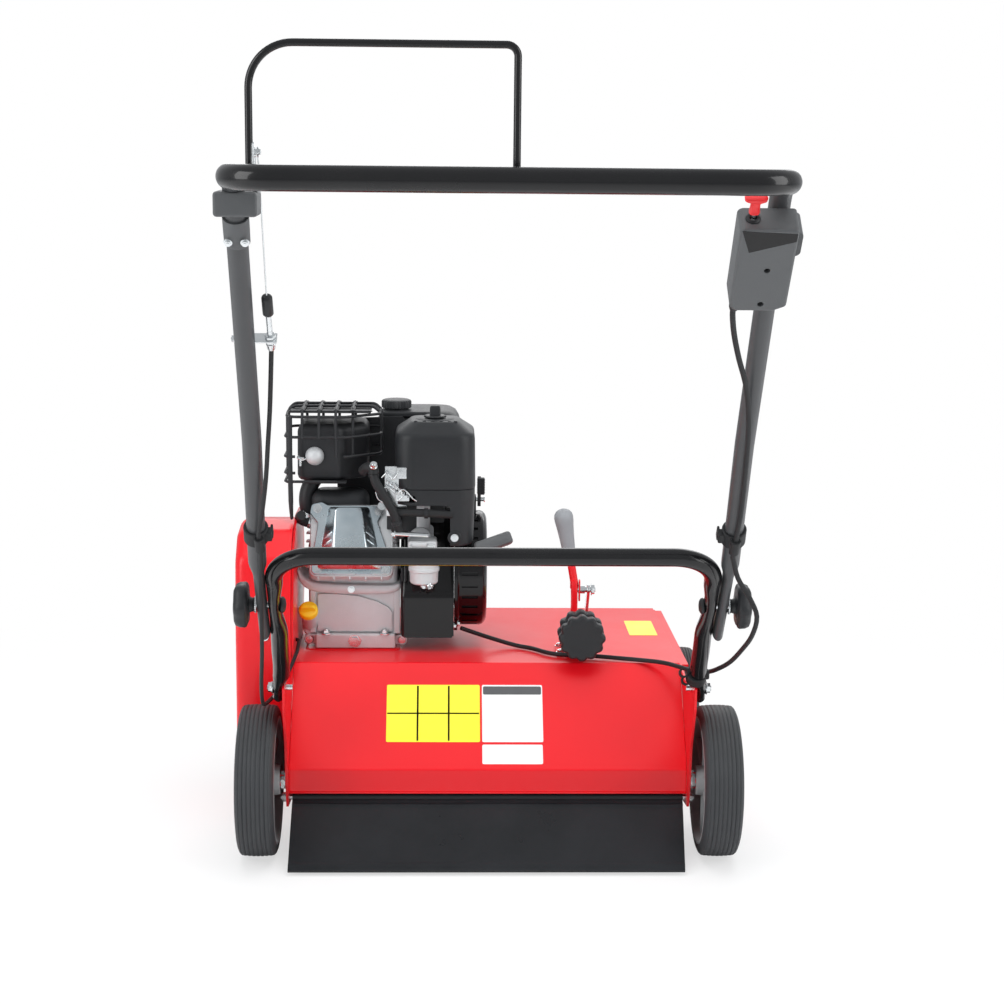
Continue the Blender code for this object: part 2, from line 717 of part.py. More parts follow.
def idler_arm():
    """Flat arm on a pin in the side plate, which carries the idler pulley's stub."""
    slant = Vector((IDLER_Y - ARM_PIVOT_Y, IDLER_Z - ARM_PIVOT_Z))
    side = Vector((-slant.y, slant.x)).normalized() * 9
    ends = [Vector((ARM_PIVOT_Y, ARM_PIVOT_Z)), Vector((IDLER_Y, IDLER_Z))]
    reach = slant.normalized() * 9
    corners = [ends[0] + side - reach, ends[0] - side - reach, ends[1] - side + reach, ends[1] + side + reach]
    x_face = -DECK_HALF - 6
    arm = prism(rounded_outline([tuple(c) for c in corners], 7), x_face - ARM_T, x_face)
    stub = rod((x_face - 1, IDLER_Y, IDLER_Z), (BELT_X - IDLER_W / 2 - 3, IDLER_Y, IDLER_Z), 5.0)
    pin = rod((-DECK_HALF - GAP, ARM_PIVOT_Y, ARM_PIVOT_Z), (x_face - ARM_T - 8, ARM_PIVOT_Y, ARM_PIVOT_Z), 6.0)
    place("idler_arm", union(arm, stub, pin), ZINC, (x_face, ARM_PIVOT_Y, ARM_PIVOT_Z))


idler_arm()


def idler_pulley():
    half = IDLER_W / 2
    profile = [(-half, IDLER_R + 3), (-half + 2, IDLER_R + 3), (-half + 3, IDLER_R), (half - 3, IDLER_R),
               (half - 2, IDLER_R + 3), (half, IDLER_R + 3), (half, 5.0 + GAP), (-half, 5.0 + GAP)]
    bm = turned(profile, (BELT_X, IDLER_Y, IDLER_Z), (1, 0, 0), 16, ring=True)
    place("idler_pulley", bm, STEEL, (BELT_X, IDLER_Y, IDLER_Z))


idler_pulley()


def belt_cover():
    """Sheet cover outside the left side plate, open on its inner side."""
    outline = rounded_outline(COVER_OUTLINE, COVER_RADII, 3)
    outer = prism(outline, COVER_X, -DECK_HALF - GAP)
    hollow = prism(offset_line(outline, -COVER_T, closed=True), COVER_X + COVER_T, -DECK_HALF + 5)
    place("belt_cover", cut(outer, hollow), RED)


belt_cover()

# Handle

UPPER_FLAT_X = LOWER_HALF + TUBE_R + GAP + FLAT_T / 2
LOWER_FLAT_X = LOWER_HALF + TUBE_R - FLAT_T / 2
FOOT_X = DECK_HALF + GAP + FLAT_T / 2
FOLD = Vector((0, PIVOT_Y, PIVOT_Z))
FOOT = Vector((0, FOOT_Y, FOOT_Z))
LEG_LENGTH = (BAR_Z - PIVOT_Z) / math.sin(math.radians(HANDLE_SLOPE))
LEG_KNEE = 300.0
LEG_START = 86.0


def leg_x(distance):
    """Sideways place of the upper leg's centre at a distance up from the fold bolt."""
    middle = (UPPER_FLAT_X + UPPER_HALF) / 2
    if distance < LEG_KNEE:
        share = max(distance - LEG_START, 0) / (LEG_KNEE - LEG_START)
        return UPPER_FLAT_X + (middle - UPPER_FLAT_X) * share
    return middle + (UPPER_HALF - middle) * (distance - LEG_KNEE) / (LEG_LENGTH - LEG_KNEE)


def flattened(points, spots, radius_at):
    """Radii and half widths of a tube that is pressed flat near the given spots."""
    radii = []
    halves = []
    for point in points:
        away = min((Vector((0, point.y, point.z)) - spot).length for spot in spots)
        share = min(max((away - 26) / 22, 0), 1)
        share = share * share * (3 - 2 * share)
        full = radius_at(point)
        radii.append(full + 1.5 * (1 - share))
        halves.append(FLAT_T / 2 + (full - FLAT_T / 2) * share)
    return radii, halves


def both_legs(right_leg):
    """A path up the left leg and down the right one, from the right leg's points."""
    left_leg = [Vector((-p.x, p.y, p.z)) for p in right_leg]
    return left_leg + right_leg[::-1]


def lower_handle():
    """Inverted U of tube, pressed flat at its feet and at the fold, with a bolt at each."""
    up = (FOLD - FOOT).normalized()
    leg = [FOOT - up * 16, FOOT - up * 4, FOOT + up * 24, FOOT + up * 36, FOOT + up * 50]
    leg += [FOLD + up * d for d in (-70, -58, -46, -24, 0, 24, 44)]
    widths = [FOOT_X] * 4 + [FOOT_X - 1, LOWER_HALF, LOWER_HALF + 1.1] + [LOWER_FLAT_X] * 5
    leg = [Vector((x, p.y, p.z)) for x, p in zip(widths, leg)]
    corner = Vector((LOWER_HALF, LOWER_BAR_Y, LOWER_BAR_Z))
    arc = rounded_path([leg[-1], corner, corner - Vector((2 * LOWER_HALF, 0, 0))], [LOWER_CORNER_R], 6)
    path = both_legs(leg + arc[1:-1])
    radii, halves = flattened(path, [FOLD - up * 20, FOLD, FOLD + up * 34, FOOT], lambda p: TUBE_R)
    tube = sweep(path, radii, 10, halves)
    extras = []
    for side in (LEFT, RIGHT):
        inner = side * (LOWER_FLAT_X - FLAT_T / 2)
        tip = side * (UPPER_FLAT_X + FLAT_T / 2 + KNOB_HUB_L + KNOB_T - 3)
        extras.append(rod((inner - side * 4, PIVOT_Y, PIVOT_Z), (inner + side, PIVOT_Y, PIVOT_Z), 8.5, 16))
        extras.append(rod((inner, PIVOT_Y, PIVOT_Z), (tip, PIVOT_Y, PIVOT_Z), BOLT_R, 12))
        extras.append(rod((side * (DECK_HALF - PLATE_T - 9), FOOT_Y, FOOT_Z),
                          (side * (FOOT_X + FLAT_T / 2 + 5), FOOT_Y, FOOT_Z), BOLT_R, 12))
        for a, b in ((DECK_HALF - PLATE_T - GAP - 6, DECK_HALF - PLATE_T - GAP),
                     (FOOT_X + FLAT_T / 2 - 1, FOOT_X + FLAT_T / 2 + 5)):
            extras.append(rod((side * a, FOOT_Y, FOOT_Z), (side * b, FOOT_Y, FOOT_Z), 7.5, 6))
    place("lower_handle", union(tube, *extras), BLACK_TUBE)


lower_handle()


def upper_path():
    """Centre line of the upper handle: both legs and the bar behind them."""
    leg = [along_leg(d, 0, leg_x(d)) for d in (-LEG_END, 0, 40, 64, 75, LEG_START, LEG_KNEE)]
    top = along_leg(LEG_LENGTH, 0, UPPER_HALF)
    corner = Vector((UPPER_HALF, BAR_Y, BAR_Z))
    bend = rounded_path([leg[-1], top, corner, corner - Vector((2 * UPPER_HALF, 0, 0))],
                        [60.0, BAR_CORNER_R], 5)
    return both_legs(leg + bend[1:-1])


def upper_radius(point):
    """The bar wears a thick sleeve from the start of its corners."""
    return GRIP_R if point.y < BAR_Y + BAR_CORNER_R + 0.5 else TUBE_R


def leg_block(x0, x1, d0, d1, r0, r1):
    """A block in the handle's slope: x across, d up from the fold bolt, r to the upper side."""
    slope = math.radians(HANDLE_SLOPE)
    up = Vector((0, -math.cos(slope), math.sin(slope)))
    out = Vector((0, math.sin(slope), math.cos(slope)))
    bm = block(x0, x1, d0, d1, r0, r1)
    turn = Matrix((Vector((1, 0, 0)), up, out)).transposed().to_4x4()
    bmesh.ops.transform(bm, matrix=Matrix.Translation(FOLD) @ turn, verts=bm.verts)
    return bm


CABLE_X = -UPPER_HALF + 21.7
CABLE_RISE = 6.0
CABLE_SEAT = 458.0


def upper_handle():
    """Folding U-shaped handle with the bail's right stay and the cable's bracket."""
    path = upper_path()
    spots = [along_leg(d) for d in (-52, -26, 0, 19, 38)]
    radii, halves = flattened(path, spots, upper_radius)
    tube = sweep(path, radii, 10, halves)
    stay = block(12.5, 16.5, BAR_Y + 5, BAIL_Y + 8, BAIL_Z - 6, BAIL_Z + 6)
    pin = rod((13, BAIL_Y, BAIL_Z), (4, BAIL_Y, BAIL_Z), 3.0)
    tab = leg_block(-UPPER_HALF - 1.3, CABLE_X + 7, CABLE_SEAT - 2, CABLE_SEAT, CABLE_RISE - 7, CABLE_RISE + 7)
    bar = union(tube, stay, pin, tab)
    seat = rod(along_leg(CABLE_SEAT - 12, CABLE_RISE, CABLE_X), along_leg(CABLE_SEAT + 12, CABLE_RISE, CABLE_X),
               CABLE_R + GAP, 12)
    bores = [rod((side * (UPPER_HALF - 10), PIVOT_Y, PIVOT_Z), (side * (UPPER_FLAT_X + 30), PIVOT_Y, PIVOT_Z),
                 BOLT_R + GAP, 12) for side in (LEFT, RIGHT)]
    place("upper_handle", cut(bar, seat, *bores), BLACK_TUBE, tuple(FOLD))


upper_handle()


def star_knob(name, side):
    """Round grip with shallow lobes and a hub that bears on the leg."""
    face = UPPER_FLAT_X + FLAT_T / 2 + GAP
    lobes = 6
    outline = []
    for k in range(lobes * 4):
        angle = math.tau * k / (lobes * 4)
        radius = KNOB_R - 2.2 * (1 - math.cos(lobes * angle)) / 2
        outline.append((PIVOT_Y + radius * math.cos(angle), PIVOT_Z + radius * math.sin(angle)))
    disc = prism(outline, face + KNOB_HUB_L, face + KNOB_HUB_L + KNOB_T)
    hub = rod((face, PIVOT_Y, PIVOT_Z), (face + KNOB_HUB_L + 1, PIVOT_Y, PIVOT_Z), KNOB_HUB_R, 16)
    bore = rod((face - 5, PIVOT_Y, PIVOT_Z), (face + KNOB_HUB_L + KNOB_T - 3 + GAP, PIVOT_Y, PIVOT_Z),
               BOLT_R + GAP, 12)
    bm = sided(cut(union(disc, hub), bore), side)
    place(name, bm, BLACK_PLASTIC, (side * face, PIVOT_Y, PIVOT_Z))


star_knob("star_knob_left", LEFT)
star_knob("star_knob_right", RIGHT)


def cable_clip(name, side, x_cord, rise_cord, cord_radius, distance):
    """Plastic clip snapped on the leg, with a smaller loop that holds the cord."""
    low = along_leg(distance - 11, 0, leg_x(distance - 11))
    high = along_leg(distance + 11, 0, leg_x(distance + 11))
    up = high - low
    cord_low = along_leg(distance - 11, rise_cord, x_cord)
    cord_up = along_leg(1) - along_leg(0)
    wide = TUBE_R / math.cos(math.pi / 16) + GAP
    tight = cord_radius / math.cos(math.pi / 12) + GAP
    body = turned([(0, TUBE_R + 3.6), (up.length, TUBE_R + 3.6)], low, up, 18)
    loop = turned([(0, cord_radius + 3.2), (up.length, cord_radius + 3.2)], cord_low, cord_up, 14)
    bore = turned([(-5, wide), (up.length + 5, wide)], low, up, 16)
    hole = turned([(-5, tight), (up.length + 5, tight)], cord_low, cord_up, 12)
    bm = cut(union(body, loop), bore, hole)
    place(name, sided(bm, side), BLACK_PLASTIC)


CLIP_AT = 140.0
LEAD_CLIP_X = 281.0
LEAD_CLIP_RISE = -18.5
CABLE_CLIP_X = 276.0
CABLE_CLIP_RISE = -18.0
cable_clip("cable_clip_right", RIGHT, LEAD_CLIP_X, LEAD_CLIP_RISE, LEAD_R, CLIP_AT)
cable_clip("cable_clip_left", LEFT, CABLE_CLIP_X, CABLE_CLIP_RISE, CABLE_R, CLIP_AT)

# Bail

BAIL_TOP = BAIL_Z + BAIL_H
ANCHOR = Vector((ANCHOR_X, BAIL_Y + ANCHOR_R * math.cos(math.radians(ANCHOR_ANGLE)),
                 BAIL_Z + ANCHOR_R * math.sin(math.radians(ANCHOR_ANGLE))))


def bail():
    """Bent rod with an eye at each foot and the plate that pulls the clutch wire."""
    corners = [(BAIL_LEFT, BAIL_Y, BAIL_Z), (BAIL_LEFT, BAIL_Y, BAIL_TOP), (BAIL_RIGHT, BAIL_Y, BAIL_TOP),
               (BAIL_RIGHT, BAIL_Y, BAIL_Z)]
    wire = sweep(rounded_path(corners, [43.0, 11.0], 5), [BAIL_R] * 14, 8)
    eyes = [rod((x - BAIL_R, BAIL_Y, BAIL_Z), (x + BAIL_R, BAIL_Y, BAIL_Z), 7.0, 14)
            for x in (BAIL_LEFT, BAIL_RIGHT)]
    plate = block(BAIL_LEFT + 1, BAIL_LEFT + 4.5, BAIL_Y - 5, ANCHOR.y + 6, BAIL_Z + 12, ANCHOR.z + 8)
    pin = rod((BAIL_LEFT + 3, ANCHOR.y, ANCHOR.z), (ANCHOR_X + 3, ANCHOR.y, ANCHOR.z), 3.0, 10)
    bores = [rod((x - 9, BAIL_Y, BAIL_Z), (x + 9, BAIL_Y, BAIL_Z), 3.0 + GAP, 12)
             for x in (BAIL_LEFT, BAIL_RIGHT)]
    shape = cut(union(wire, *eyes, plate, pin), *bores)
    place("bail", shape, BLACK_TUBE, (0, BAIL_Y, BAIL_Z))


bail()


def bail_bracket():
    """Block clamped round the left leg below the bar, with the ear and pin of the bail."""
    body = block(-UPPER_HALF - 19.3, -UPPER_HALF + 23.7, BAIL_Y - 17, BAIL_Y + 33, BAIL_Z - 36, BAIL_Z - 11, 3.0)
    ear = block(-UPPER_HALF + 19.5, -UPPER_HALF + 23.7, BAIL_Y - 7, BAIL_Y + 7, BAIL_Z - 20, BAIL_Z + 7)
    pin = rod((BAIL_LEFT + 5.5, BAIL_Y, BAIL_Z), (BAIL_LEFT - BAIL_R + 0.4, BAIL_Y, BAIL_Z), 3.0)
    path = [p for p in upper_path() if p.x < -UPPER_HALF + 25]
    bore = sweep(path, [TUBE_R + 0.45] * len(path), 16)
    place("bail_bracket", cut(union(body, ear, pin), bore), GREY_PLASTIC)


bail_bracket()

# Switch box

GLAND_X = 232.0


def switch_box():
    """Housing that lies against the lower side of the right leg, with a collar round the leg."""
    face = -TUBE_R - GAP
    body = leg_block(BOX_LEFT, BOX_RIGHT, BOX_AT - BOX_DOWN, BOX_AT + BOX_UP, face - BOX_DEPTH, face)
    x_leg = leg_x(BOX_AT)
    collar = leg_block(x_leg - TUBE_R - 5, x_leg + TUBE_R + 16, BOX_AT - 6, BOX_AT + 26, face - 4, TUBE_R + 4)
    path = [along_leg(d, 0, leg_x(d)) for d in (BOX_AT - 90, BOX_AT + 62)]
    bore = sweep(path, [TUBE_R + GAP + 0.6] * 2, 16)
    well_low = along_leg(BOX_AT + BOX_UP - 12, face - BOX_DEPTH / 2, TOGGLE_X)
    well_high = along_leg(BOX_AT + BOX_UP + 9, face - BOX_DEPTH / 2, TOGGLE_X)
    well = rod(well_low, well_high, 6.1, 14)
    gland_low = along_leg(BOX_AT - BOX_DOWN - 6, face - BOX_DEPTH + 12, GLAND_X)
    gland_high = along_leg(BOX_AT - BOX_DOWN + 2, face - BOX_DEPTH + 12, GLAND_X)
    gland = rod(gland_low, gland_high, LEAD_R + 2, 12)
    socket = rod(gland_low - (gland_high - gland_low), gland_high, LEAD_R + GAP, 12)
    place("switch_box", cut(union(body, collar, gland), bore, well, socket), GREY_PLASTIC)


switch_box()
TOGGLE_RISE = -TUBE_R - GAP - BOX_DEPTH / 2
TOGGLE = along_leg(BOX_AT + BOX_UP - 6, TOGGLE_RISE, TOGGLE_X)


def toggle_switch():
    """Metal stem on a ball, with a T-shaped cap."""
    up = (along_leg(1, 0) - along_leg(0, 0)).normalized()
    stem = turned([(-4, 3.5), (-1, 5.5), (3, 4.5), (5, 2.4), (13, 2.4), (13, 5.4), (27, 4.2), (28, 11.5), (32, 11.5)],
                  TOGGLE, up, 10)
    place("toggle_switch", stem, RED_PLASTIC, tuple(TOGGLE))


toggle_switch()

# Work lever, link, front axle and depth adjustment

BRACKET_T = 3.0
BRACKET_GAP = 22.0


def lever_bracket():
    """Channel on the deck with the lever's pivot pin and the nut plate of the depth spindle."""
    low = top_at(150) + GAP
    inner = LEVER_X - BRACKET_GAP / 2
    outer = LEVER_X + BRACKET_GAP / 2
    base = block(inner - 16, inner, 150, 203, low, low + BRACKET_T)
    cheeks = [block(a, a + BRACKET_T, 166, 200, low, LEVER_Z + 16) for a in (inner - BRACKET_T, outer)]
    back = block(inner - BRACKET_T, outer + BRACKET_T, 150, 153, low, HANDWHEEL_Z + 12)
    floor = block(inner - BRACKET_T, outer + BRACKET_T, 150, 170, low, low + BRACKET_T)
    pin = rod((inner - BRACKET_T - 3, LEVER_Y, LEVER_Z), (outer + BRACKET_T - 1, LEVER_Y, LEVER_Z), 5.0, 14)
    shape = union(base, *cheeks, back, floor, pin)
    hole = rod((HANDWHEEL_X, 140, HANDWHEEL_Z), (HANDWHEEL_X, 160, HANDWHEEL_Z), 5.0 + GAP, 14)
    place("lever_bracket", cut(shape, hole), RED)


lever_bracket()


def work_lever():
    """Flat bar from the pivot up to the grip, leaning to the left, with the link's pin."""
    thick = 12.0
    base = Vector((LEVER_X, LEVER_Y, LEVER_Z))
    hub = rod(base - Vector((BRACKET_GAP / 2 - GAP, 0, 0)), base + Vector((BRACKET_GAP / 2 - GAP, 0, 0)), 10.0, 18)
    tip = base + Vector((-LEVER_LEAN, 0, LEVER_TOP))
    knee = base + Vector((0, 0, LINK_ARM + 12))
    lower = block(LEVER_X - thick / 2, LEVER_X + 3, LEVER_Y - 8, LEVER_Y + 8, LEVER_Z, knee.z, 1.0)
    upper = rod(knee + Vector((-1.5, 0, -8)), tip, 5.6, 12)
    pin = rod((LEVER_X, LEVER_Y, LEVER_Z + LINK_ARM), (LINK_X + 8, LEVER_Y, LEVER_Z + LINK_ARM), 4.0, 12)
    head = rod((LINK_X + 4, LEVER_Y, LEVER_Z + LINK_ARM), (LINK_X + 9, LEVER_Y, LEVER_Z + LINK_ARM), 7.0, 6)
    bore = rod(base - Vector((30, 0, 0)), base + Vector((30, 0, 0)), 5.0 + GAP, 14)
    place("work_lever", cut(union(lower, hub, upper, pin, head), bore), RED, tuple(base))


def lever_grip():
    """Rubber grip that swells to a round end."""
    base = Vector((LEVER_X, LEVER_Y, LEVER_Z))
    knee = base + Vector((-1.5, 0, LINK_ARM + 4))
    tip = base + Vector((-LEVER_LEAN, 0, LEVER_TOP))
    up = (tip - knee).normalized()
    start = tip - up * (GRIP_LENGTH - 12)
    length = GRIP_LENGTH
    profile = [(0, 8.2), (2, 9.2), (0.45 * length, 11.0), (0.75 * length, 13.2), (0.9 * length, 12.0),
               (length, 6.5), (length + 1.5, 0)]
    grip = turned(profile, start, up, 14)
    bore = turned([(-5, 5.6 + GAP), (length - 12 + GAP, 5.6 + GAP)], start, up, 12)
    place("lever_grip", cut(grip, bore), GREY_RUBBER, tuple(base))


def link_rod():
    """Flat link from the lever's pin down to the front axle's arm."""
    start = Vector((LEVER_Y, LEVER_Z + LINK_ARM))
    end = Vector((AXLE_PIVOT_Y, AXLE_PIVOT_Z + LINK_ARM))
    on = (end - start).normalized()
    across = Vector((-on.y, on.x)) * 6.5
    corners = [start + across - on * 7, start - across - on * 7, end - across + on * 7, end + across + on * 7]
    bar = prism(rounded_outline([tuple(c) for c in corners], 5.5), LINK_X - 2, LINK_X + 2)
    bores = [rod((LINK_X - 9, p.x, p.y), (LINK_X + 9, p.x, p.y), 4.0 + GAP, 12) for p in (start, end)]
    place("link_rod", cut(bar, *bores), ZINC, (LINK_X, start.x, start.y))


work_lever()
lever_grip()
link_rod()


def front_axle():
    """Tube across the deck with a crank and stub for each wheel and the arm of the link."""
    arm_x = DECK_HALF + 2.2
    arm_t = 5.0
    pivot = Vector((0, AXLE_PIVOT_Y, AXLE_PIVOT_Z))
    tube = rod((-arm_x - 1, pivot.y, pivot.z), (arm_x + 1, pivot.y, pivot.z), AXLE_TUBE_R, 14)
    slant = Vector((WHEELBASE - AXLE_PIVOT_Y, FRONT_AXLE_Z - AXLE_PIVOT_Z))
    on = slant.normalized()
    across = Vector((-on.y, on.x)) * 13
    start = Vector((pivot.y, pivot.z))
    end = Vector((WHEELBASE, FRONT_AXLE_Z))
    corners = [start + across - on * 13, start - across - on * 13, end - across + on * 13, end + across + on * 13]
    outline = rounded_outline([tuple(c) for c in corners], 10)
    extras = []
    stub_end = WHEEL_IN + FRONT_TYRE_W + AXLE_END
    for side in (LEFT, RIGHT):
        extras.append(sided(prism(outline, arm_x, arm_x + arm_t), side))
        stub = turned([(arm_x + 1, AXLE_R), (WHEEL_IN + FRONT_TYRE_W - 1 + GAP, AXLE_R),
                       (WHEEL_IN + FRONT_TYRE_W - 1 + GAP, 11), (stub_end, 11)],
                      (0, WHEELBASE, FRONT_AXLE_Z), (1, 0, 0), 14)
        extras.append(sided(stub, side))
    arm = block(LINK_X - 8, LINK_X - 3, pivot.y - 8, pivot.y + 8, pivot.z, pivot.z + LINK_ARM + 8, 1.0)
    pin = rod((LINK_X - 6, pivot.y, pivot.z + LINK_ARM), (LINK_X + 6, pivot.y, pivot.z + LINK_ARM), 4.0, 12)
    place("front_axle", union(tube, *extras, arm, pin), ZINC, tuple(pivot))


front_axle()


def depth_handwheel():
    """Lobed hand knob with the threaded spindle that passes through the bracket."""
    outline = []
    for k in range(HANDWHEEL_LOBES * 4):
        angle = math.tau * k / (HANDWHEEL_LOBES * 4)
        radius = HANDWHEEL_R - 1.6 * (1 - math.cos(HANDWHEEL_LOBES * angle)) / 2
        outline.append((HANDWHEEL_X + radius * math.cos(angle), HANDWHEEL_Z + radius * math.sin(angle)))
    knob = prism(outline, HANDWHEEL_REAR, HANDWHEEL_REAR + HANDWHEEL_L, "XZ")
    spindle = rod((HANDWHEEL_X, HANDWHEEL_REAR + HANDWHEEL_L - 1, HANDWHEEL_Z), (HANDWHEEL_X, 155.5, HANDWHEEL_Z),
                  5.0, 14)
    place("depth_handwheel", union(knob, spindle), BLACK_PLASTIC, (HANDWHEEL_X, HANDWHEEL_REAR, HANDWHEEL_Z))


depth_handwheel()

# Engine

def tilted(u, v, x=0.0):
    """A point in the cylinder's frame: u from the crank along the cylinder, v square to it."""
    lean = math.radians(CYLINDER_TILT)
    return Vector((x, CRANK_Y - u * math.cos(lean) + v * math.sin(lean),
                   CRANK_Z + u * math.sin(lean) + v * math.cos(lean)))


def tilted_prism(outline, u0, u1):
    """Extrude an (x, v) outline along the cylinder."""
    return skin([[tilted(u0, v, x) for x, v in outline], [tilted(u1, v, x) for x, v in outline]])


def skin(rings):
    """A closed body over rings of points that have the same count."""
    bm = bmesh.new()
    loops = [[bm.verts.new(p) for p in ring] for ring in rings]
    count = len(loops[0])
    for first, second in zip(loops, loops[1:]):
        for k in range(count):
            bm.faces.new((first[k], first[(k + 1) % count], second[(k + 1) % count], second[k]))
    bm.faces.new(loops[0])
    bm.faces.new(loops[-1])
    bmesh.ops.recalc_face_normals(bm, faces=bm.faces)
    return bm


def box_outline(x0, x1, v0, v1):
    return [(x0, v0), (x1, v0), (x1, v1), (x0, v1)]


CAP_SEAT = Vector((-249, 184, 282))
CAP_AXIS = Vector((-1, -12, 12)).normalized()


def crankcase():
    """Case, foot, tilted cylinder with its head, oil filler neck and inlet stub, bored for the crank."""
    case = block(CASE_LEFT, CASE_RIGHT, CASE_REAR, CASE_FRONT, BASE_Z + 15, CRANK_Z + 50, 7.0)
    foot = block(-240, -128, CASE_REAR - 10, CASE_FRONT + 6, BASE_Z, BASE_Z + 20, 2.0)
    collar = block(-259, CASE_RIGHT + 1, CASE_REAR - 6, CASE_FRONT + 4, 311, 323, 3.0)
    cylinder = tilted_prism(box_outline(-236, -139, -30, 58), 10, FACET_U + 4)
    head = tilted_prism(rounded_outline(box_outline(-244, -134, -33, 66), 9, 3), FACET_U, HEAD_U)
    neck = rod(CAP_SEAT - CAP_AXIS * 34, CAP_SEAT, 10.5, 16)
    inlet = rod(tilted(FACET_U + 9.8, 20, -136), tilted(FACET_U + 9.8, 20, -111.7), 9.0, 14)
    exhaust = rod(tilted(45, 50, -214), tilted(45, 58 + 6, -214), 19.0, 16)
    bore = rod((-270, CRANK_Y, CRANK_Z), (-110, CRANK_Y, CRANK_Z), CRANK_R + GAP, 18)
    throat = rod(CAP_SEAT - CAP_AXIS * 20, CAP_SEAT + CAP_AXIS, 6.0 + GAP, 12)
    post = block(-144, -127, 308, 326, CRANK_Z + 45, TANK_LOW - GAP)
    shape = union(case, foot, collar, cylinder, head, neck, inlet, exhaust, post)
    place("crankcase", cut(shape, bore, throat), ALUMINIUM)


def oil_filler_cap():
    """Cap with a plug and a thumb bar."""
    seat = CAP_SEAT + CAP_AXIS * GAP
    body = turned([(-15, 6.0), (0, 6.0), (0, OIL_CAP_R), (8, OIL_CAP_R), (10, OIL_CAP_R - 2)], seat, CAP_AXIS, 20)
    top = turned([(9, 4), (16, 4)], seat, CAP_AXIS, 4, half_step=True)
    bmesh.ops.transform(top, matrix=Matrix.Translation(seat) @ Matrix.Diagonal((2.7, 1, 1, 1))
                        @ Matrix.Translation(-seat), verts=top.verts)
    place("oil_filler_cap", union(body, top), YELLOW, tuple(seat))


def valve_cover():
    """Pressed cap on the cylinder head with a flange, an ear at two corners and a raised middle."""
    start = HEAD_U + GAP
    edge = [(-243, -32), (-134, -32), (-134, -14), (-146, 44), (-146, 56), (-158, 62), (-222, 62), (-232, 70),
            (-244, 66), (-244, 54), (-234, 42), (-243, -14)]
    flange = tilted_prism(edge, start, start + 3)
    low = [(-232, -26), (-146, -26), (-158, 56), (-222, 56)]
    high = [(-222, -14), (-156, -14), (-165, 46), (-214, 46)]
    dome = skin([[tilted(start + 2, v, x) for x, v in rounded_outline(low, 5, 2)],
                 [tilted(COVER_REACH - 3, v, x) for x, v in rounded_outline(low, 5, 2)],
                 [tilted(COVER_REACH, v, x) for x, v in rounded_outline(high, 5, 2)]])
    place("valve_cover", union(flange, dome), ZINC)


def spark_plug_boot():
    """Rubber boot that leaves the head sideways and turns up and back."""
    start = tilted(82, 44, -244 - GAP)
    path = [start, start + Vector((-5, 0, 0)), start + Vector((-9, -6, 5)), start + Vector((-10, -22, 13)),
            start + Vector((-10, -38, 18))]
    place("spark_plug_boot", sweep(path, [9.0, 9.0, 8.5, 7.5, 6.5], 12), RUBBER)


def crankshaft():
    end = BELT_X - PULLEY_W / 2 - 10
    place("crankshaft", rod((end, CRANK_Y, CRANK_Z), (-56, CRANK_Y, CRANK_Z), CRANK_R, 20), STEEL,
          (0, CRANK_Y, CRANK_Z))


def flywheel():
    """Finned disc on the crankshaft inside the blower housing."""
    profile = [(0, CRANK_R + GAP), (0, FLYWHEEL_R), (16, FLYWHEEL_R), (16, FLYWHEEL_R - 12), (10, FLYWHEEL_R - 14),
               (10, 22), (34, 20), (34, CRANK_R + GAP)]
    disc = turned(profile, (-108, CRANK_Y, CRANK_Z), (1, 0, 0), 20, ring=True)
    fins = []
    for k in range(6):
        angle = math.tau * k / 6
        fin = block(-100, -70, -1.2, 1.2, 34, FLYWHEEL_R - 3)
        turn = Matrix.Translation(Vector((0, CRANK_Y, CRANK_Z))) @ Matrix.Rotation(angle, 4, "X")
        bmesh.ops.transform(fin, matrix=turn, verts=fin.verts)
        fins.append(fin)
    place("flywheel", union(disc, *fins), ALUMINIUM, (0, CRANK_Y, CRANK_Z))


def housing_outline(margin):
    """Side view of the blower housing: round, with a square foot and a facet towards the head."""
    radius = BLOWER_R - margin
    half = BLOWER_R - 4 - margin
    foot = CRANK_Z - (BASE_Z + 18 + margin)
    lean = math.radians(CYLINDER_TILT)
    facet = FACET_U - margin
    spread = math.acos(facet / radius)
    corners = [math.atan2(-foot, half), math.atan2(-foot, -half), math.pi - lean - spread,
               math.pi - lean + spread - math.tau]
    angles = sorted({round(a, 6) for a in corners} | {-math.pi + math.tau * k / 30 for k in range(30)})
    points = []
    for angle in angles:
        across = math.cos(angle)
        up = math.sin(angle)
        reach = radius
        if up < 0:
            reach = max(radius, min(half / max(abs(across), 1e-6), foot / -up))
            reach = min(reach, foot / -up)
        toward = -across * math.cos(lean) + up * math.sin(lean)
        if toward > 0:
            reach = min(reach, facet / toward)
        point = (CRANK_Y + reach * across, CRANK_Z + reach * up)
        if not points or math.dist(point, points[-1]) > 1.5:
            points.append(point)
    return points


def blower_housing():
    """Shell over the flywheel, open towards the recoil cover."""
    outer = prism(housing_outline(0.0), BLOWER_LEFT, BLOWER_RIGHT)
    hollow = prism(housing_outline(SHELL_T), BLOWER_LEFT + SHELL_T, BLOWER_RIGHT + 5)
    bore = rod((BLOWER_LEFT - 5, CRANK_Y, CRANK_Z), (BLOWER_LEFT + 10, CRANK_Y, CRANK_Z), CRANK_R + 3, 18)
    place("blower_housing", cut(outer, hollow, bore), BLACK_PLASTIC)


ROPE_X = 8.0
ROPE_AXIS = Vector((0, -0.94, 0.342)).normalized()
ROPE_EXIT = Vector((ROPE_X, CRANK_Y - 84, 382))


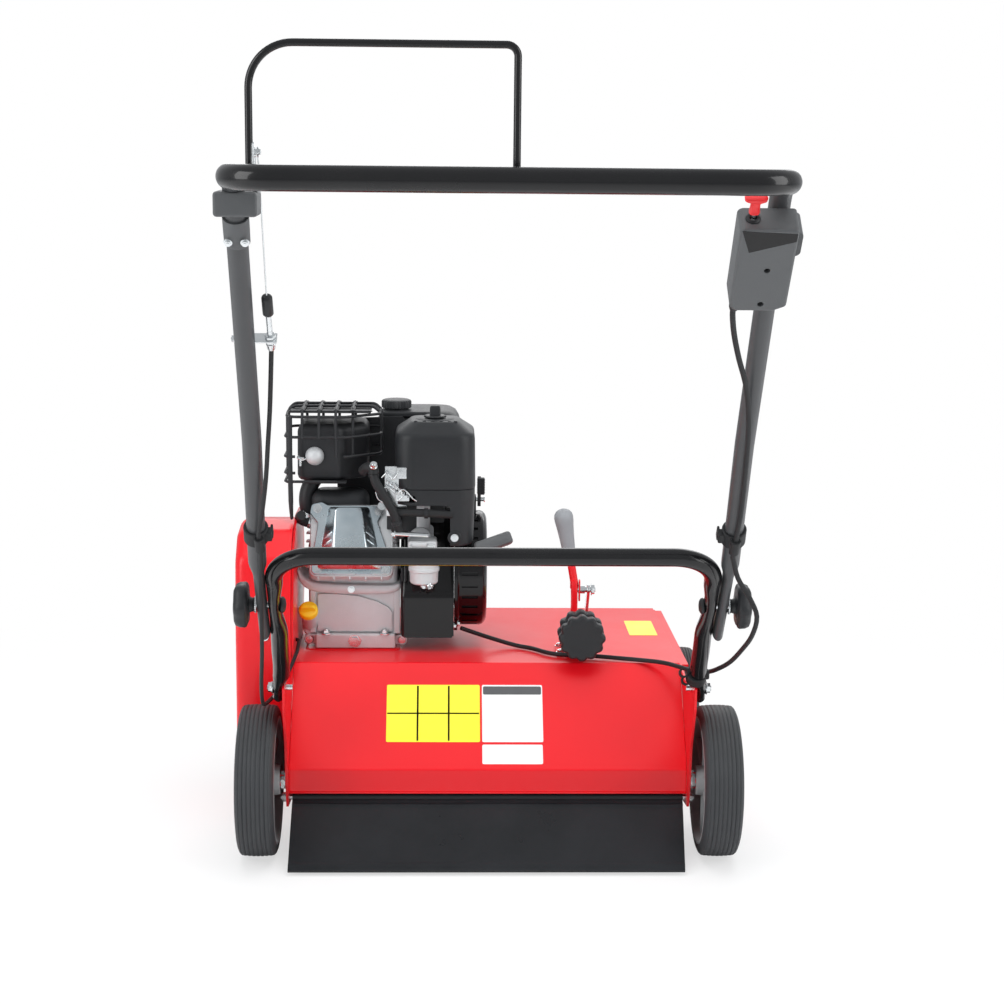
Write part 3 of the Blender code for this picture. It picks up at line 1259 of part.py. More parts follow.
def recoil_cover():
    """Dished drum on the blower housing with the rope's outlet and the ear of the throttle lever."""
    left = BLOWER_RIGHT + GAP
    profile = [(left, BLOWER_R - 2), (left + 5, BLOWER_R - 2), (left + 6, RECOIL_R), (RECOIL_RIGHT - 8, RECOIL_R),
               (RECOIL_RIGHT, RECOIL_R - 10)]
    drum = turned(profile, (0, CRANK_Y, CRANK_Z), (1, 0, 0), 28)
    hollow = turned([(left - 5, RECOIL_R - SHELL_T), (RECOIL_RIGHT - 9, RECOIL_R - SHELL_T),
                     (RECOIL_RIGHT - SHELL_T, RECOIL_R - 12)], (0, CRANK_Y, CRANK_Z), (1, 0, 0), 28)
    below = block(left - 5, RECOIL_RIGHT + 5, CRANK_Y - 100, CRANK_Y + 100, CRANK_Z - 120, BASE_Z + 18)
    spout = rod(ROPE_EXIT - ROPE_AXIS * 24, ROPE_EXIT, 8.0, 14)
    bridge = ROPE_EXIT - ROPE_AXIS * 16
    arm = rod((-16, bridge.y, bridge.z), (ROPE_X, bridge.y, bridge.z), 7.0, 12)
    ear = block(-18, -15, 250, 268, CRANK_Z + 60, 436)
    pin = rod((-16, 259, 430), (-3, 259, 430), 3.0, 12)
    bore = rod(ROPE_EXIT - ROPE_AXIS * 24, ROPE_EXIT + ROPE_AXIS * 5, 2.5 + GAP, 10)
    place("recoil_cover", cut(union(cut(drum, hollow, below), arm, spout, ear, pin), bore), BLACK_PLASTIC)


def starter_grip():
    """Bar-shaped handle on the end of the starter rope."""
    start = ROPE_EXIT + ROPE_AXIS * GAP
    across = Vector((math.cos(math.radians(17)), 0, math.sin(math.radians(17))))
    across = (across - ROPE_AXIS * across.dot(ROPE_AXIS)).normalized()
    high = across.cross(ROPE_AXIS).normalized()
    rings = []
    for out, half_long, half_high in ((0, 17, 6.5), (3, 23, 8.5), (13, 27, 9.0), (18, 26, 7.5), (20, 23, 5.5)):
        outline = rounded_outline(box_outline(-half_long, half_long, -half_high, half_high), 5, 3)
        rings.append([start + ROPE_AXIS * out + across * a + high * b for a, b in outline])
    rope = rod(start + ROPE_AXIS * 2, start - ROPE_AXIS * 22, 2.5, 10)
    place("starter_grip", union(skin(rings), rope), BLACK_PLASTIC, tuple(start))


def throttle_lever():
    """Small lever with a ribbed thumb pad on a pin beside the recoil cover."""
    outline = [(252, 426), (254, 420.5), (264, 420.5), (267, 430), (265, 440), (266, 459), (262, 463), (254, 459),
               (252, 440)]
    plate = prism(outline, -13, -8)
    pad = block(-13.5, -2.5, 254, 264, 437, 461, 1.5)
    bore = rod((-20, 259, 430), (0, 259, 430), 3.0 + GAP, 12)
    place("throttle_lever", cut(union(plate, pad), bore), BLACK_PLASTIC, (-10.5, 259, 430))


def filter_rings(levels, radius=26.0):
    """Rounded squares about the filter's middle, one for each (height, inset)."""
    rings = []
    for z, inset in levels:
        half = FILTER_HALF - inset
        outline = rounded_outline(box_outline(-half, half, -half, half), max(radius - inset * 0.4, 3), 4)
        rings.append([(FILTER_X + a, FILTER_Y + b, z) for a, b in outline])
    return rings


def air_filter_cover():
    """Deep cap with a bevelled top, hollow below, with a hole for the knob's stud."""
    levels = [(FILTER_SEAM_Z, 0.0), (FILTER_SHOULDER_Z - 4, 1.2), (FILTER_SHOULDER_Z, 2.8),
              (FILTER_TOP_Z - 2, 22.0), (FILTER_TOP_Z, 25.0)]
    inside = [(FILTER_SEAM_Z - 5, SHELL_T), (FILTER_SHOULDER_Z - 5, 4.0), (FILTER_TOP_Z - 5, 25.0)]
    hole = rod((FILTER_X, FILTER_Y, FILTER_TOP_Z - 20), (FILTER_X, FILTER_Y, FILTER_TOP_Z + 5), 4.0 + GAP, 12)
    shape = cut(skin(filter_rings(levels)), skin(filter_rings(inside)), hole)
    place("air_filter_cover", shape, BLACK_PLASTIC)


def air_filter_base():
    """Tray under the filter with a deep skirt at its right and a pad on the blower housing."""
    top = FILTER_SEAM_Z - GAP
    tray = skin(filter_rings([(FILTER_BASE_Z, 1.0), (top, 0.0)]))
    trim = block(-200, -100, FILTER_Y - 80, FILTER_Y + 80, FILTER_BASE_Z - 10, top - 8)
    skirt = skin(filter_rings([(FILTER_LOW_Z, 2.0), (FILTER_BASE_Z + 5, 1.0)]))
    away = block(-200, -52, FILTER_Y - 80, FILTER_Y + 80, FILTER_LOW_Z - 5, FILTER_BASE_Z)
    behind = block(-60, 0, FILTER_Y - 24, FILTER_Y + 80, FILTER_LOW_Z - 5, FILTER_BASE_Z)
    pad = block(-96, -66, 222, 252, CRANK_Z + 70, FILTER_BASE_Z + 5)
    drum = rod((BLOWER_LEFT - 5, CRANK_Y, CRANK_Z), (BLOWER_RIGHT + GAP, CRANK_Y, CRANK_Z), BLOWER_R + GAP, 40)
    place("air_filter_base", cut(union(cut(tray, trim), cut(skirt, away, behind), pad), drum), BLACK_PLASTIC)


def air_filter_knob():
    """Wing knob with a stud."""
    profile = [(-14, 4.0), (0, 4.0), (0, FILTER_KNOB_R), (2.5, FILTER_KNOB_R), (4, 9), (15, 8), (16.5, 6)]
    seat = (FILTER_X, FILTER_Y, FILTER_TOP_Z + GAP)
    place("air_filter_knob", turned(profile, seat, (0, 0, 1), 20), BLACK_PLASTIC, seat)


def carburettor():
    """Body between the inlet stub and the filter tray, with its round bowl below."""
    body = tilted_prism(rounded_outline(box_outline(-111.4, -74, -6, 44), 6, 2), FACET_U + GAP + 0.2, FACET_U + 30)
    bowl = turned([(327, 5), (329, 10), (331, 19.5), (349, 19.5), (352, 21), (366, 21), (374, 12)],
                  (-88, 160, 0), (0, 0, 1), 16)
    horn = rod((-92, 200, 392), (-92, 200, FILTER_BASE_Z - GAP), 12.0, 18)
    place("carburettor", union(body, bowl, horn), ALUMINIUM)


def muffler():
    """Rounded box on an exhaust pipe, with a domed outlet on its rear face."""
    box = block(MUFFLER_LEFT, MUFFLER_RIGHT, MUFFLER_REAR, MUFFLER_FRONT, MUFFLER_LOW, MUFFLER_TOP, 13.0, 2)
    pipe = rod(tilted(45, 64 + GAP, -214), tilted(45, 136, -214), 12.0, 16)
    foot = rod(tilted(45, 64 + GAP, -214), tilted(45, 70, -214), 19.0, 16)
    outlet = turned([(-4, 11.5), (4, 11.5), (9, 10), (13, 6), (14.5, 0)], (-240, MUFFLER_REAR, 502),
                    (0.25, -1, -0.1), 18)
    place("muffler", union(box, pipe, foot, outlet), BLACK_TUBE)


def muffler_guard():
    """Cage of bent wire on two straps over the muffler, with one long corner leg."""
    left = MUFFLER_LEFT - GUARD_MARGIN - 3
    right = MUFFLER_RIGHT + GUARD_MARGIN + 6
    rear = MUFFLER_REAR - GUARD_MARGIN - 2
    front = MUFFLER_FRONT + 7
    wire = GUARD_WIRE / 2
    low = MUFFLER_LOW + 2
    top = MUFFLER_TOP + 15
    hoops = (left + 26, left + 72, right - 24)

    def bent(corners, bend, steps, thicker=0.0):
        path = rounded_path(corners, [bend] * (len(corners) - 2), steps)
        return sweep(path, [wire + thicker] * len(path), 4)

    parts = [bent([(left, front, z), (left, rear, z), (right, rear, z), (right, front, z)], 24, 3)
             for z in (top - 9, top - 33)]
    parts.append(bent([(hoops[1] - 1, rear, top - 57), (right, rear, top - 57), (right, front, top - 57)], 24, 3))
    parts.append(bent([(left, front, low), (left, rear, low), (hoops[1] + 1, rear, low)], 24, 3))
    for x in hoops:
        parts.append(bent([(x, rear, low - 1), (x, rear, top), (x, front, top), (x, front, top - 58)], 16, 2,
                          0.45))
    parts.append(bent([(left, rear + 34, low - 1), (left, rear + 34, top), (right, rear + 34, top),
                       (right, rear + 34, top - 58)], 18, 2, 0.25))
    parts.append(rod((left + 10.5, rear + 4, low - 54), (left + 10.5, rear + 4, top - 8), wire + 0.5, 6))
    for x in hoops[1:]:
        parts.append(block(x - 6, x + 6, rear + 40, rear + 64, MUFFLER_TOP + GAP, top + 1))
    place("muffler_guard", union(*parts), BLACK_TUBE)


def fuel_tank():
    """Rounded tank on a post of the crankcase, with a low filler neck."""
    tank = block(TANK_LEFT, TANK_RIGHT, TANK_REAR, TANK_FRONT, TANK_LOW, TANK_TOP, 16.0, 2)
    neck = rod((-130, TANK_REAR + 38, TANK_TOP - 5), (-130, TANK_REAR + 38, TANK_TOP + 3), 17.0, 20)
    throat = rod((-130, TANK_REAR + 38, TANK_TOP - 12), (-130, TANK_REAR + 38, TANK_TOP + 5), 13.0, 18)
    place("fuel_tank", cut(union(tank, neck), throat), BLACK_PLASTIC)


def fuel_cap():
    seat = (-130, TANK_REAR + 38, TANK_TOP + 3 + GAP)
    profile = [(-8, 13.0 - GAP - 0.2), (0, 13.0 - GAP - 0.2), (0, FUEL_CAP_R), (FUEL_CAP_H - 6, FUEL_CAP_R),
               (FUEL_CAP_H - 4, FUEL_CAP_R - 2.5)]
    place("fuel_cap", turned(profile, seat, (0, 0, 1), 24), BLACK_PLASTIC, seat)


crankcase()
oil_filler_cap()
valve_cover()
spark_plug_boot()
crankshaft()
flywheel()
blower_housing()
recoil_cover()
starter_grip()
throttle_lever()
air_filter_cover()
air_filter_base()
air_filter_knob()
carburettor()
muffler()
muffler_guard()
fuel_tank()
fuel_cap()

# Cords

def clutch_wire():
    """Thin wire with an eye on the bail's pin, down to the cable's end."""
    end = along_leg(CABLE_SEAT + 61 + GAP, CABLE_RISE, CABLE_X)
    eye = turned([(-1, 3.0 + GAP), (-1, 5.2), (1, 5.2), (1, 3.0 + GAP)], ANCHOR, (1, 0, 0), 16, ring=True)
    toward = (end - ANCHOR).normalized()
    place("clutch_wire", union(eye, rod(ANCHOR + toward * 4.2, end, WIRE_R, 8)), STEEL, tuple(ANCHOR))


def clutch_cable():
    """Threaded adjuster and sheathed cable, from the bracket on the leg to the belt cover."""
    straight = [(61, 5.2), (42, 5.2), (41.8, CABLE_R), (4.4, CABLE_R), (4.2, 6.0), (GAP, 6.0), (GAP - 0.1, CABLE_R),
                (-2 - GAP + 0.1, CABLE_R), (-2 - GAP, 6.0), (-6, 6.0), (-7, 4.0), (-18, CABLE_R)]
    points = [along_leg(CABLE_SEAT + d, CABLE_RISE, CABLE_X) for d, r in straight]
    radii = [r for d, r in straight]
    on = [along_leg(d, rise, x) for d, rise, x in ((400, 3, -248), (350, -1, -252), (300, -6, -257),
                                                  (250, -12, -262), (200, -17, -269))]
    clip_in = along_leg(CLIP_AT + 20, CABLE_CLIP_RISE, -CABLE_CLIP_X)
    clip_out = along_leg(CLIP_AT - 20, CABLE_CLIP_RISE, -CABLE_CLIP_X)
    after = [clip_out, along_leg(70, -21, -279), (-283, -160, 322), (-289, -110, 262), (-292, -60, 224),
             (-290, -15, 211), (-280, 30, 214), (-268, 75, 230), (-260.5, 112, 245)]
    bend = rounded_path([(-260.5, 112, 245), (-260, CABLE_HOLE_Y, CABLE_HOLE_Z),
                         (-DECK_HALF - 5.6, CABLE_HOLE_Y, CABLE_HOLE_Z)], [6.0], 4)
    tail = smooth([points[-1], *on, clip_in], 2) + smooth(after, 2) + bend[1:]
    points += tail[1:]
    radii += [CABLE_R] * (len(points) - len(radii))
    place("clutch_cable", sweep(points, radii, 6), RUBBER)


def smooth(points, steps):
    """A Catmull-Rom curve through the points, with the given steps between each two."""
    points = [Vector(p) for p in points]
    ends = [points[0] * 2 - points[1], *points, points[-1] * 2 - points[-2]]
    path = []
    for a, b, c, d in zip(ends, ends[1:], ends[2:], ends[3:]):
        for k in range(steps):
            t = k / steps
            path.append(0.5 * (2 * b + (c - a) * t + (2 * a - 5 * b + 4 * c - d) * t * t
                               + (3 * b - a - 3 * c + d) * t ** 3))
    return path + [points[-1]]


def electric_lead():
    """Lead from the switch box down the right leg and across the deck to the engine."""
    face = -TUBE_R - GAP - BOX_DEPTH + 12
    start = along_leg(BOX_AT - BOX_DOWN - 4, face, GLAND_X)
    first = along_leg(BOX_AT - BOX_DOWN - 16, face, GLAND_X)
    on = [along_leg(d, rise, x) for d, rise, x in ((500, -26, 238), (460, -22, 248), (420, -20, 260),
                                                  (380, -18, 268), (340, -18, 273), (300, -18, 276),
                                                  (250, -18, 279), (200, -18.5, 281))]
    clip_in = along_leg(CLIP_AT + 20, LEAD_CLIP_RISE, LEAD_CLIP_X)
    clip_out = along_leg(CLIP_AT - 20, LEAD_CLIP_RISE, LEAD_CLIP_X)
    after = [clip_out, (290, -222, 428), (306, -216, 402), (316, -212, 378), (314, -192, 349), (308, -152, 320),
             (302, -104, 292), (295, -56, 270), (287, -16, 254), (275, 24, 243), (260, 62, 238), (240, 92, 236),
             (212, 110, 234.5), (157, 130, 234), (130, 137, 234), (104, 141, 233.5), (84, 154, 233), (64, 180, 232),
             (40, 198, 232), (5, 204, 241), (-22, 204, 250), (-36, 200, 256)]
    path = smooth([start, first, *on, clip_in], 2) + smooth(after, 2)
    place("electric_lead", sweep(path, [LEAD_R] * len(path), 6), RUBBER)


clutch_wire()
clutch_cable()
electric_lead()
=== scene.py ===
# %% [markdown]
# # A lawn scarifier in Blender
# The machine stands on a pale floor in soft studio light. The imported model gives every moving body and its
# place. This lesson dresses those bodies: it builds each visible piece in full detail, gives it a finish made
# of nodes, and lets it ride on its body, so that the machine still folds, rolls and opens.

# %% The frame
import math

import bmesh
import bpy
from mathutils import Matrix, Vector

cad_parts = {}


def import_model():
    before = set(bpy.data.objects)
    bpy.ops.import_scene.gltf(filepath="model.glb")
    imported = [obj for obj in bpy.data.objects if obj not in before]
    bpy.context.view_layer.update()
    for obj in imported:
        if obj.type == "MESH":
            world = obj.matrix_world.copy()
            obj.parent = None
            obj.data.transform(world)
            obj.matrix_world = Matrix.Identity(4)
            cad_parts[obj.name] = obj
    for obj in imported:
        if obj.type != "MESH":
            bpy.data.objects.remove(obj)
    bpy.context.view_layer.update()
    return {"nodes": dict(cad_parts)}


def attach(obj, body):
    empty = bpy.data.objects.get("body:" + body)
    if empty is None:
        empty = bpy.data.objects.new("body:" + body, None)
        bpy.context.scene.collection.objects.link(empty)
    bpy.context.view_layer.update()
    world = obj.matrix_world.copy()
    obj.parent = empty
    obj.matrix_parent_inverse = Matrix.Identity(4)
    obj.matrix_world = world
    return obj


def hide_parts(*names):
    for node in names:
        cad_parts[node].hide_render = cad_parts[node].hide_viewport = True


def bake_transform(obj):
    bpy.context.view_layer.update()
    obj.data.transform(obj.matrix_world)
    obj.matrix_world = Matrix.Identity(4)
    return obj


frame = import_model()

# %% [markdown]
# ## Units
# The machine was drawn in millimetres from the middle of its rear axle, so every piece here is too. One
# matrix turns those numbers into the frame's metres, with the origin at the bottom centre of the machine.

# %% Millimetres to the frame
MM = 0.001
TO_FRAME = Matrix.Scale(MM, 4) @ Matrix.Translation((6.5, 61.25, 0.0))


def world(point):
    """A point in millimetres as a place in the frame, in metres."""
    return TO_FRAME @ Vector(point)


# %% [markdown]
# ## Camera
# A photograph of a handle that is level with the lens shows its rear panel almost square on. The camera
# stands about 2.5 m behind the rear axle, a metre up, and looks down by 11 degrees. Its focal length is given
# in pixels of a picture 1004 wide, which the 36 mm sensor turns into millimetres.

# %% Camera
FOCAL_PIXELS = 1997.19
PICTURE_WIDTH = 1004
LENS_AT = (-62.87, -2535.57, 966.99)
YAW, PITCH, ROLL = (math.radians(a) for a in (1.74, 10.95, 0.6))

ahead = Vector((math.sin(YAW) * math.cos(PITCH), math.cos(YAW) * math.cos(PITCH), -math.sin(PITCH)))
level = Vector((math.cos(YAW), -math.sin(YAW), 0.0))
above = level.cross(ahead)
right = level * math.cos(ROLL) + above * math.sin(ROLL)
upward = above * math.cos(ROLL) - level * math.sin(ROLL)
camera = bpy.data.objects.new("camera", bpy.data.cameras.new("camera"))
bpy.context.scene.collection.objects.link(camera)
camera.data.lens = FOCAL_PIXELS / PICTURE_WIDTH * camera.data.sensor_width
camera.matrix_world = (Matrix.Translation(world(LENS_AT))
                       @ Matrix((right, upward, -ahead)).transposed().to_4x4())
bpy.context.scene.camera = camera
bpy.context.scene.view_settings.view_transform = "Standard"
print("lens", round(camera.data.lens, 2), "mm")

# %% [markdown]
# ## Floor and light
# Glossy paint shows what surrounds it. A studio puts large soft boxes around the machine, so long clean
# highlights run down the tubes. The room itself is white to the camera, but reflections see only a sixth of
# it, so that black stays black. The floor fades to the same white away from the machine and keeps a soft
# shadow near it.

# %% World
ROOM_IN_REFLECTIONS = 0.17


def node_of(tree, kind, **values):
    """A new node with inputs or properties set. An underscore in a name stands for a space."""
    node = tree.nodes.new(kind)
    for key, value in values.items():
        if hasattr(node, key):
            setattr(node, key, value)
        else:
            node.inputs[key.replace("_", " ")].default_value = value
    return node


def times(tree, factor):
    """A node that multiplies a number by a factor."""
    node = node_of(tree, "ShaderNodeMath", operation="MULTIPLY")
    node.inputs[1].default_value = factor
    return node


def join(tree, *links):
    """Each link names a node and its output, then a node and its input."""
    for source, output, target, socket in links:
        tree.links.new(source.outputs[output], target.inputs[socket])


studio = bpy.data.worlds.new("studio")
bpy.context.scene.world = studio
studio.use_nodes = True
tree = studio.node_tree
tree.nodes.clear()
rays = node_of(tree, "ShaderNodeLightPath")
seen = node_of(tree, "ShaderNodeMath", operation="MAXIMUM")
seen_too = node_of(tree, "ShaderNodeMath", operation="MAXIMUM")
fill = node_of(tree, "ShaderNodeBackground", Color=(0.93, 0.96, 1.0, 1.0), Strength=0.5)
white = node_of(tree, "ShaderNodeBackground", Color=(1.0, 1.0, 1.0, 1.0), Strength=1.0)
mixed = node_of(tree, "ShaderNodeMixShader")
out = node_of(tree, "ShaderNodeOutputWorld")
glossy = times(tree, ROOM_IN_REFLECTIONS)
join(tree, (rays, "Is Glossy Ray", glossy, 0), (rays, "Is Camera Ray", seen, 0), (glossy, 0, seen, 1),
     (seen, 0, seen_too, 0), (rays, "Is Transmission Ray", seen_too, 1), (seen_too, 0, mixed, 0),
     (fill, 0, mixed, 1), (white, 0, mixed, 2), (mixed, 0, out, 0))
print("world nodes", len(tree.nodes))

# %% Floor
FLOOR_HALF = 9.0
FLOOR_DROP = 0.0006
floor_mesh = bpy.data.meshes.new("floor")
floor_mesh.from_pydata([(-FLOOR_HALF, -FLOOR_HALF, 0), (FLOOR_HALF, -FLOOR_HALF, 0),
                        (FLOOR_HALF, FLOOR_HALF, 0), (-FLOOR_HALF, FLOOR_HALF, 0)], [], [(0, 1, 2, 3)])
floor = bpy.data.objects.new("floor", floor_mesh)
bpy.context.scene.collection.objects.link(floor)
floor.location.z = -FLOOR_DROP
pale = bpy.data.materials.new("pale_floor")
pale.use_nodes = True
tree = pale.node_tree
tree.nodes.clear()
place_on_floor = node_of(tree, "ShaderNodeTexCoord")
distance = node_of(tree, "ShaderNodeVectorMath", operation="LENGTH")
fade = node_of(tree, "ShaderNodeMapRange", interpolation_type="SMOOTHSTEP", From_Min=0.35, From_Max=1.5,
               To_Min=0.62, To_Max=1.0)
paper = node_of(tree, "ShaderNodeBsdfDiffuse", Color=(0.93, 0.93, 0.93, 1.0))
glow = node_of(tree, "ShaderNodeEmission", Color=(1.0, 1.0, 1.0, 1.0), Strength=1.0)
mixed = node_of(tree, "ShaderNodeMixShader")
dull = node_of(tree, "ShaderNodeMixShader")
rays = node_of(tree, "ShaderNodeLightPath")
out = node_of(tree, "ShaderNodeOutputMaterial")
join(tree, (place_on_floor, "Object", distance, 0), (distance, "Value", fade, "Value"), (fade, 0, mixed, 0),
     (paper, 0, mixed, 1), (glow, 0, mixed, 2), (rays, "Is Camera Ray", dull, 0), (paper, 0, dull, 1),
     (mixed, 0, dull, 2), (dull, 0, out, 0))
floor.data.materials.append(pale)
print("floor", 2 * FLOOR_HALF, "m wide")


# %% Soft boxes
def soft_box(name, place, target, size, power, mirrored=True):
    """A rectangular lamp that looks at a target."""
    lamp = bpy.data.lights.new(name, "AREA")
    lamp.shape = "RECTANGLE"
    lamp.size, lamp.size_y = size
    lamp.energy = power
    obj = bpy.data.objects.new(name, lamp)
    bpy.context.scene.collection.objects.link(obj)
    obj.location = place
    obj.rotation_euler = (Vector(target) - Vector(place)).to_track_quat("-Z", "Y").to_euler()
    obj.visible_camera = False
    obj.visible_glossy = mirrored


soft_box("box_above", (0.0, -0.2, 2.9), (0.0, 0.0, 0.0), (2.6, 2.2), 52.0, mirrored=False)
soft_box("box_left", (-2.3, -1.5, 1.5), (0.0, 0.0, 0.45), (1.3, 2.4), 36.0)
soft_box("box_right", (2.4, -1.2, 1.4), (0.0, 0.0, 0.45), (1.3, 2.4), 32.0)
soft_box("box_front", (0.3, 2.6, 1.6), (0.0, 0.0, 0.4), (2.4, 1.6), 18.0)

# %% [markdown]
# ## Shared surface effects
# Real powder coat has a slight orange peel, moulded plastic has a fine spark-eroded grain, and castings are
# coarser. All of that is small random relief with a little change of tone. It is one node group here, placed
# in each material with its own scale and depth. A second group gives a thin film of dust on faces that look
# up.

# %% Node groups
def new_group(name, inputs, outputs):
    """An empty shader group with named sockets, and its two end nodes."""
    made = bpy.data.node_groups.new(name, "ShaderNodeTree")
    for label, value in inputs:
        made.interface.new_socket(label, in_out="INPUT", socket_type="NodeSocketFloat").default_value = value
    for label, kind in outputs:
        made.interface.new_socket(label, in_out="OUTPUT", socket_type=kind)
    return made, made.nodes.new("NodeGroupInput"), made.nodes.new("NodeGroupOutput")


grain_group, given, result = new_group("relief_and_tone",
                                       [("Scale", 900.0), ("Depth", 0.2), ("Tone scale", 14.0)],
                                       [("Normal", "NodeSocketVector"), ("Tone", "NodeSocketFloat")])
spot = node_of(grain_group, "ShaderNodeTexCoord")
fine = node_of(grain_group, "ShaderNodeTexNoise", Detail=2.0)
bump = node_of(grain_group, "ShaderNodeBump", Distance=0.0006)
broad = node_of(grain_group, "ShaderNodeTexNoise", Detail=5.0, Roughness=0.62)
join(grain_group, (spot, "Object", fine, "Vector"), (spot, "Object", broad, "Vector"),
     (given, "Scale", fine, "Scale"), (given, "Tone scale", broad, "Scale"),
     (given, "Depth", bump, "Strength"), (fine, 0, bump, "Height"), (bump, 0, result, "Normal"),
     (broad, 0, result, "Tone"))

dust_group, given, result = new_group("settled_dust", [("Amount", 0.2), ("Scale", 30.0)],
                                      [("Mask", "NodeSocketFloat")])
facing = node_of(dust_group, "ShaderNodeNewGeometry")
up_share = node_of(dust_group, "ShaderNodeSeparateXYZ")
up_only = node_of(dust_group, "ShaderNodeMapRange", From_Min=0.25)
cloud = node_of(dust_group, "ShaderNodeTexNoise", Detail=6.0, Roughness=0.7)
both = node_of(dust_group, "ShaderNodeMath", operation="MULTIPLY")
scaled = node_of(dust_group, "ShaderNodeMath", operation="MULTIPLY")
spot = node_of(dust_group, "ShaderNodeTexCoord")
join(dust_group, (spot, "Object", cloud, "Vector"), (given, "Scale", cloud, "Scale"),
     (facing, "Normal", up_share, 0), (up_share, "Z", up_only, "Value"), (up_only, 0, both, 0),
     (cloud, 0, both, 1), (both, 0, scaled, 0), (given, "Amount", scaled, 1), (scaled, 0, result, "Mask"))
print("shared groups", [group.name for group in (grain_group, dust_group)])

# %% Finishes
DUST_COLOUR = (0.42, 0.4, 0.37, 1.0)


def finish(name, dark, light, rough, metallic=0.0, coat=0.0, coat_rough=0.05, scale=900.0, depth=0.2,
           tone_scale=14.0, dust=0.0, rough_swing=0.06, shine=0.5):
    """A Principled material whose tone, gloss and relief come from the shared groups."""
    made = bpy.data.materials.new(name)
    made.use_nodes = True
    tree = made.node_tree
    bsdf = tree.nodes["Principled BSDF"]
    for socket, value in (("Metallic", metallic), ("Specular IOR Level", shine), ("Coat Weight", coat),
                          ("Coat Roughness", coat_rough)):
        bsdf.inputs[socket].default_value = value
    surface = node_of(tree, "ShaderNodeGroup", node_tree=grain_group, Scale=scale, Depth=depth,
                      Tone_scale=tone_scale)
    colours = node_of(tree, "ShaderNodeMix", data_type="RGBA")
    colours.inputs[6].default_value = (*dark, 1.0)
    colours.inputs[7].default_value = (*light, 1.0)
    gloss = node_of(tree, "ShaderNodeMapRange", From_Min=0.3, From_Max=0.7, To_Min=rough - rough_swing,
                    To_Max=rough + rough_swing)
    join(tree, (surface, "Tone", colours, 0), (surface, "Tone", gloss, "Value"),
         (gloss, 0, bsdf, "Roughness"), (surface, "Normal", bsdf, "Normal"))
    last = colours
    if dust:
        film = node_of(tree, "ShaderNodeGroup", node_tree=dust_group, Amount=dust)
        powder = node_of(tree, "ShaderNodeMix", data_type="RGBA")
        powder.inputs[7].default_value = DUST_COLOUR
        join(tree, (film, "Mask", powder, 0), (colours, 2, powder, 6))
        last = powder
    join(tree, (last, 2, bsdf, "Base Color"))
    return made


RED = finish("red_powder_coat", (0.74, 0.003, 0.009), (0.82, 0.005, 0.013), 0.36, shine=0.36,
             coat=0.12, coat_rough=0.1, scale=420.0, depth=0.12, tone_scale=5.0)
TUBE = finish("black_powder_coat", (0.004, 0.004, 0.005), (0.009, 0.009, 0.0095), 0.24,
              shine=0.2, coat=0.45, scale=500.0, depth=0.08)
SATIN = finish("satin_black_paint", (0.045, 0.047, 0.05), (0.068, 0.07, 0.074), 0.4,
               scale=700.0)
PLASTIC = finish("black_moulded_plastic", (0.011, 0.012, 0.0135), (0.02, 0.0215, 0.024),
                 0.42, scale=1600.0, depth=0.35, dust=0.02, shine=0.36)
GLOSS = finish("gloss_black_plastic", (0.003, 0.003, 0.0035), (0.007, 0.0065, 0.007), 0.2,
               shine=0.2, coat=0.3, scale=600.0, depth=0.05)
GREY = finish("dark_grey_plastic", (0.074, 0.078, 0.082), (0.104, 0.109, 0.113), 0.48,
              scale=1500.0, depth=0.5, dust=0.05)
BOOT = finish("soft_black_rubber", (0.009, 0.0095, 0.0105), (0.018, 0.0185, 0.02), 0.58,
              scale=1100.0, depth=0.3, shine=0.36)
TREAD = finish("tyre_rubber", (0.027, 0.029, 0.032), (0.047, 0.05, 0.054), 0.58, scale=1300.0,
               depth=0.5, tone_scale=30.0, dust=0.06, shine=0.4)
HUB = finish("grey_hub_plastic", (0.24, 0.245, 0.25), (0.33, 0.335, 0.34), 0.46, scale=1200.0,
             depth=0.3, dust=0.08)
ZINC = finish("bright_zinc", (0.6, 0.63, 0.65), (0.86, 0.88, 0.88), 0.24, metallic=1.0, scale=260.0,
              depth=0.1, tone_scale=60.0)
PRESSED = finish("pressed_zinc_sheet", (0.46, 0.55, 0.6), (0.72, 0.78, 0.8), 0.27, metallic=1.0,
                 scale=200.0, depth=0.06, tone_scale=22.0)
CAST = finish("cast_aluminium", (0.52, 0.53, 0.54), (0.68, 0.7, 0.715), 0.46, metallic=0.25,
              depth=0.55, tone_scale=25.0, dust=0.05)
STEEL = finish("bare_steel", (0.3, 0.3, 0.31), (0.5, 0.5, 0.5), 0.34, metallic=1.0, scale=700.0,
               tone_scale=40.0)
YELLOW = finish("yellow_plastic", (0.9, 0.55, 0.008), (0.96, 0.64, 0.014), 0.36,
                scale=1200.0, depth=0.12)
GRIP = finish("grey_grip_rubber", (0.24, 0.25, 0.265), (0.33, 0.34, 0.36), 0.55, scale=1400.0,
              depth=0.5)
SCARLET = finish("red_plastic", (0.78, 0.016, 0.02), (0.88, 0.03, 0.035), 0.34, depth=0.1)
# One flat black: painted shade in the switch box's screw wells, and the printed rules on the yellow sticker.
DARK = finish("painted_shade_and_print_black", (0.004, 0.004, 0.004), (0.008, 0.008, 0.008), 0.8)
PAPER = finish("white_sticker", (0.8, 0.8, 0.79), (0.88, 0.88, 0.87), 0.35, coat=0.3,
               scale=500.0, depth=0.05)
AMBER = finish("yellow_sticker", (0.9, 0.82, 0.012), (0.95, 0.88, 0.03), 0.34, coat=0.3,
               scale=500.0, depth=0.05)
print("finishes", len(bpy.data.materials))

# %% [markdown]
# ## Tools for shaping
# Most parts of this machine are one of four shapes: turned round an axis, swept along a path, cut from plate,
# or lofted through a few outlines. Each helper makes a mesh in millimetres. The one called place moves it to
# the frame, softens its edges so that they catch the light, gives it a finish and lets it ride on its body.

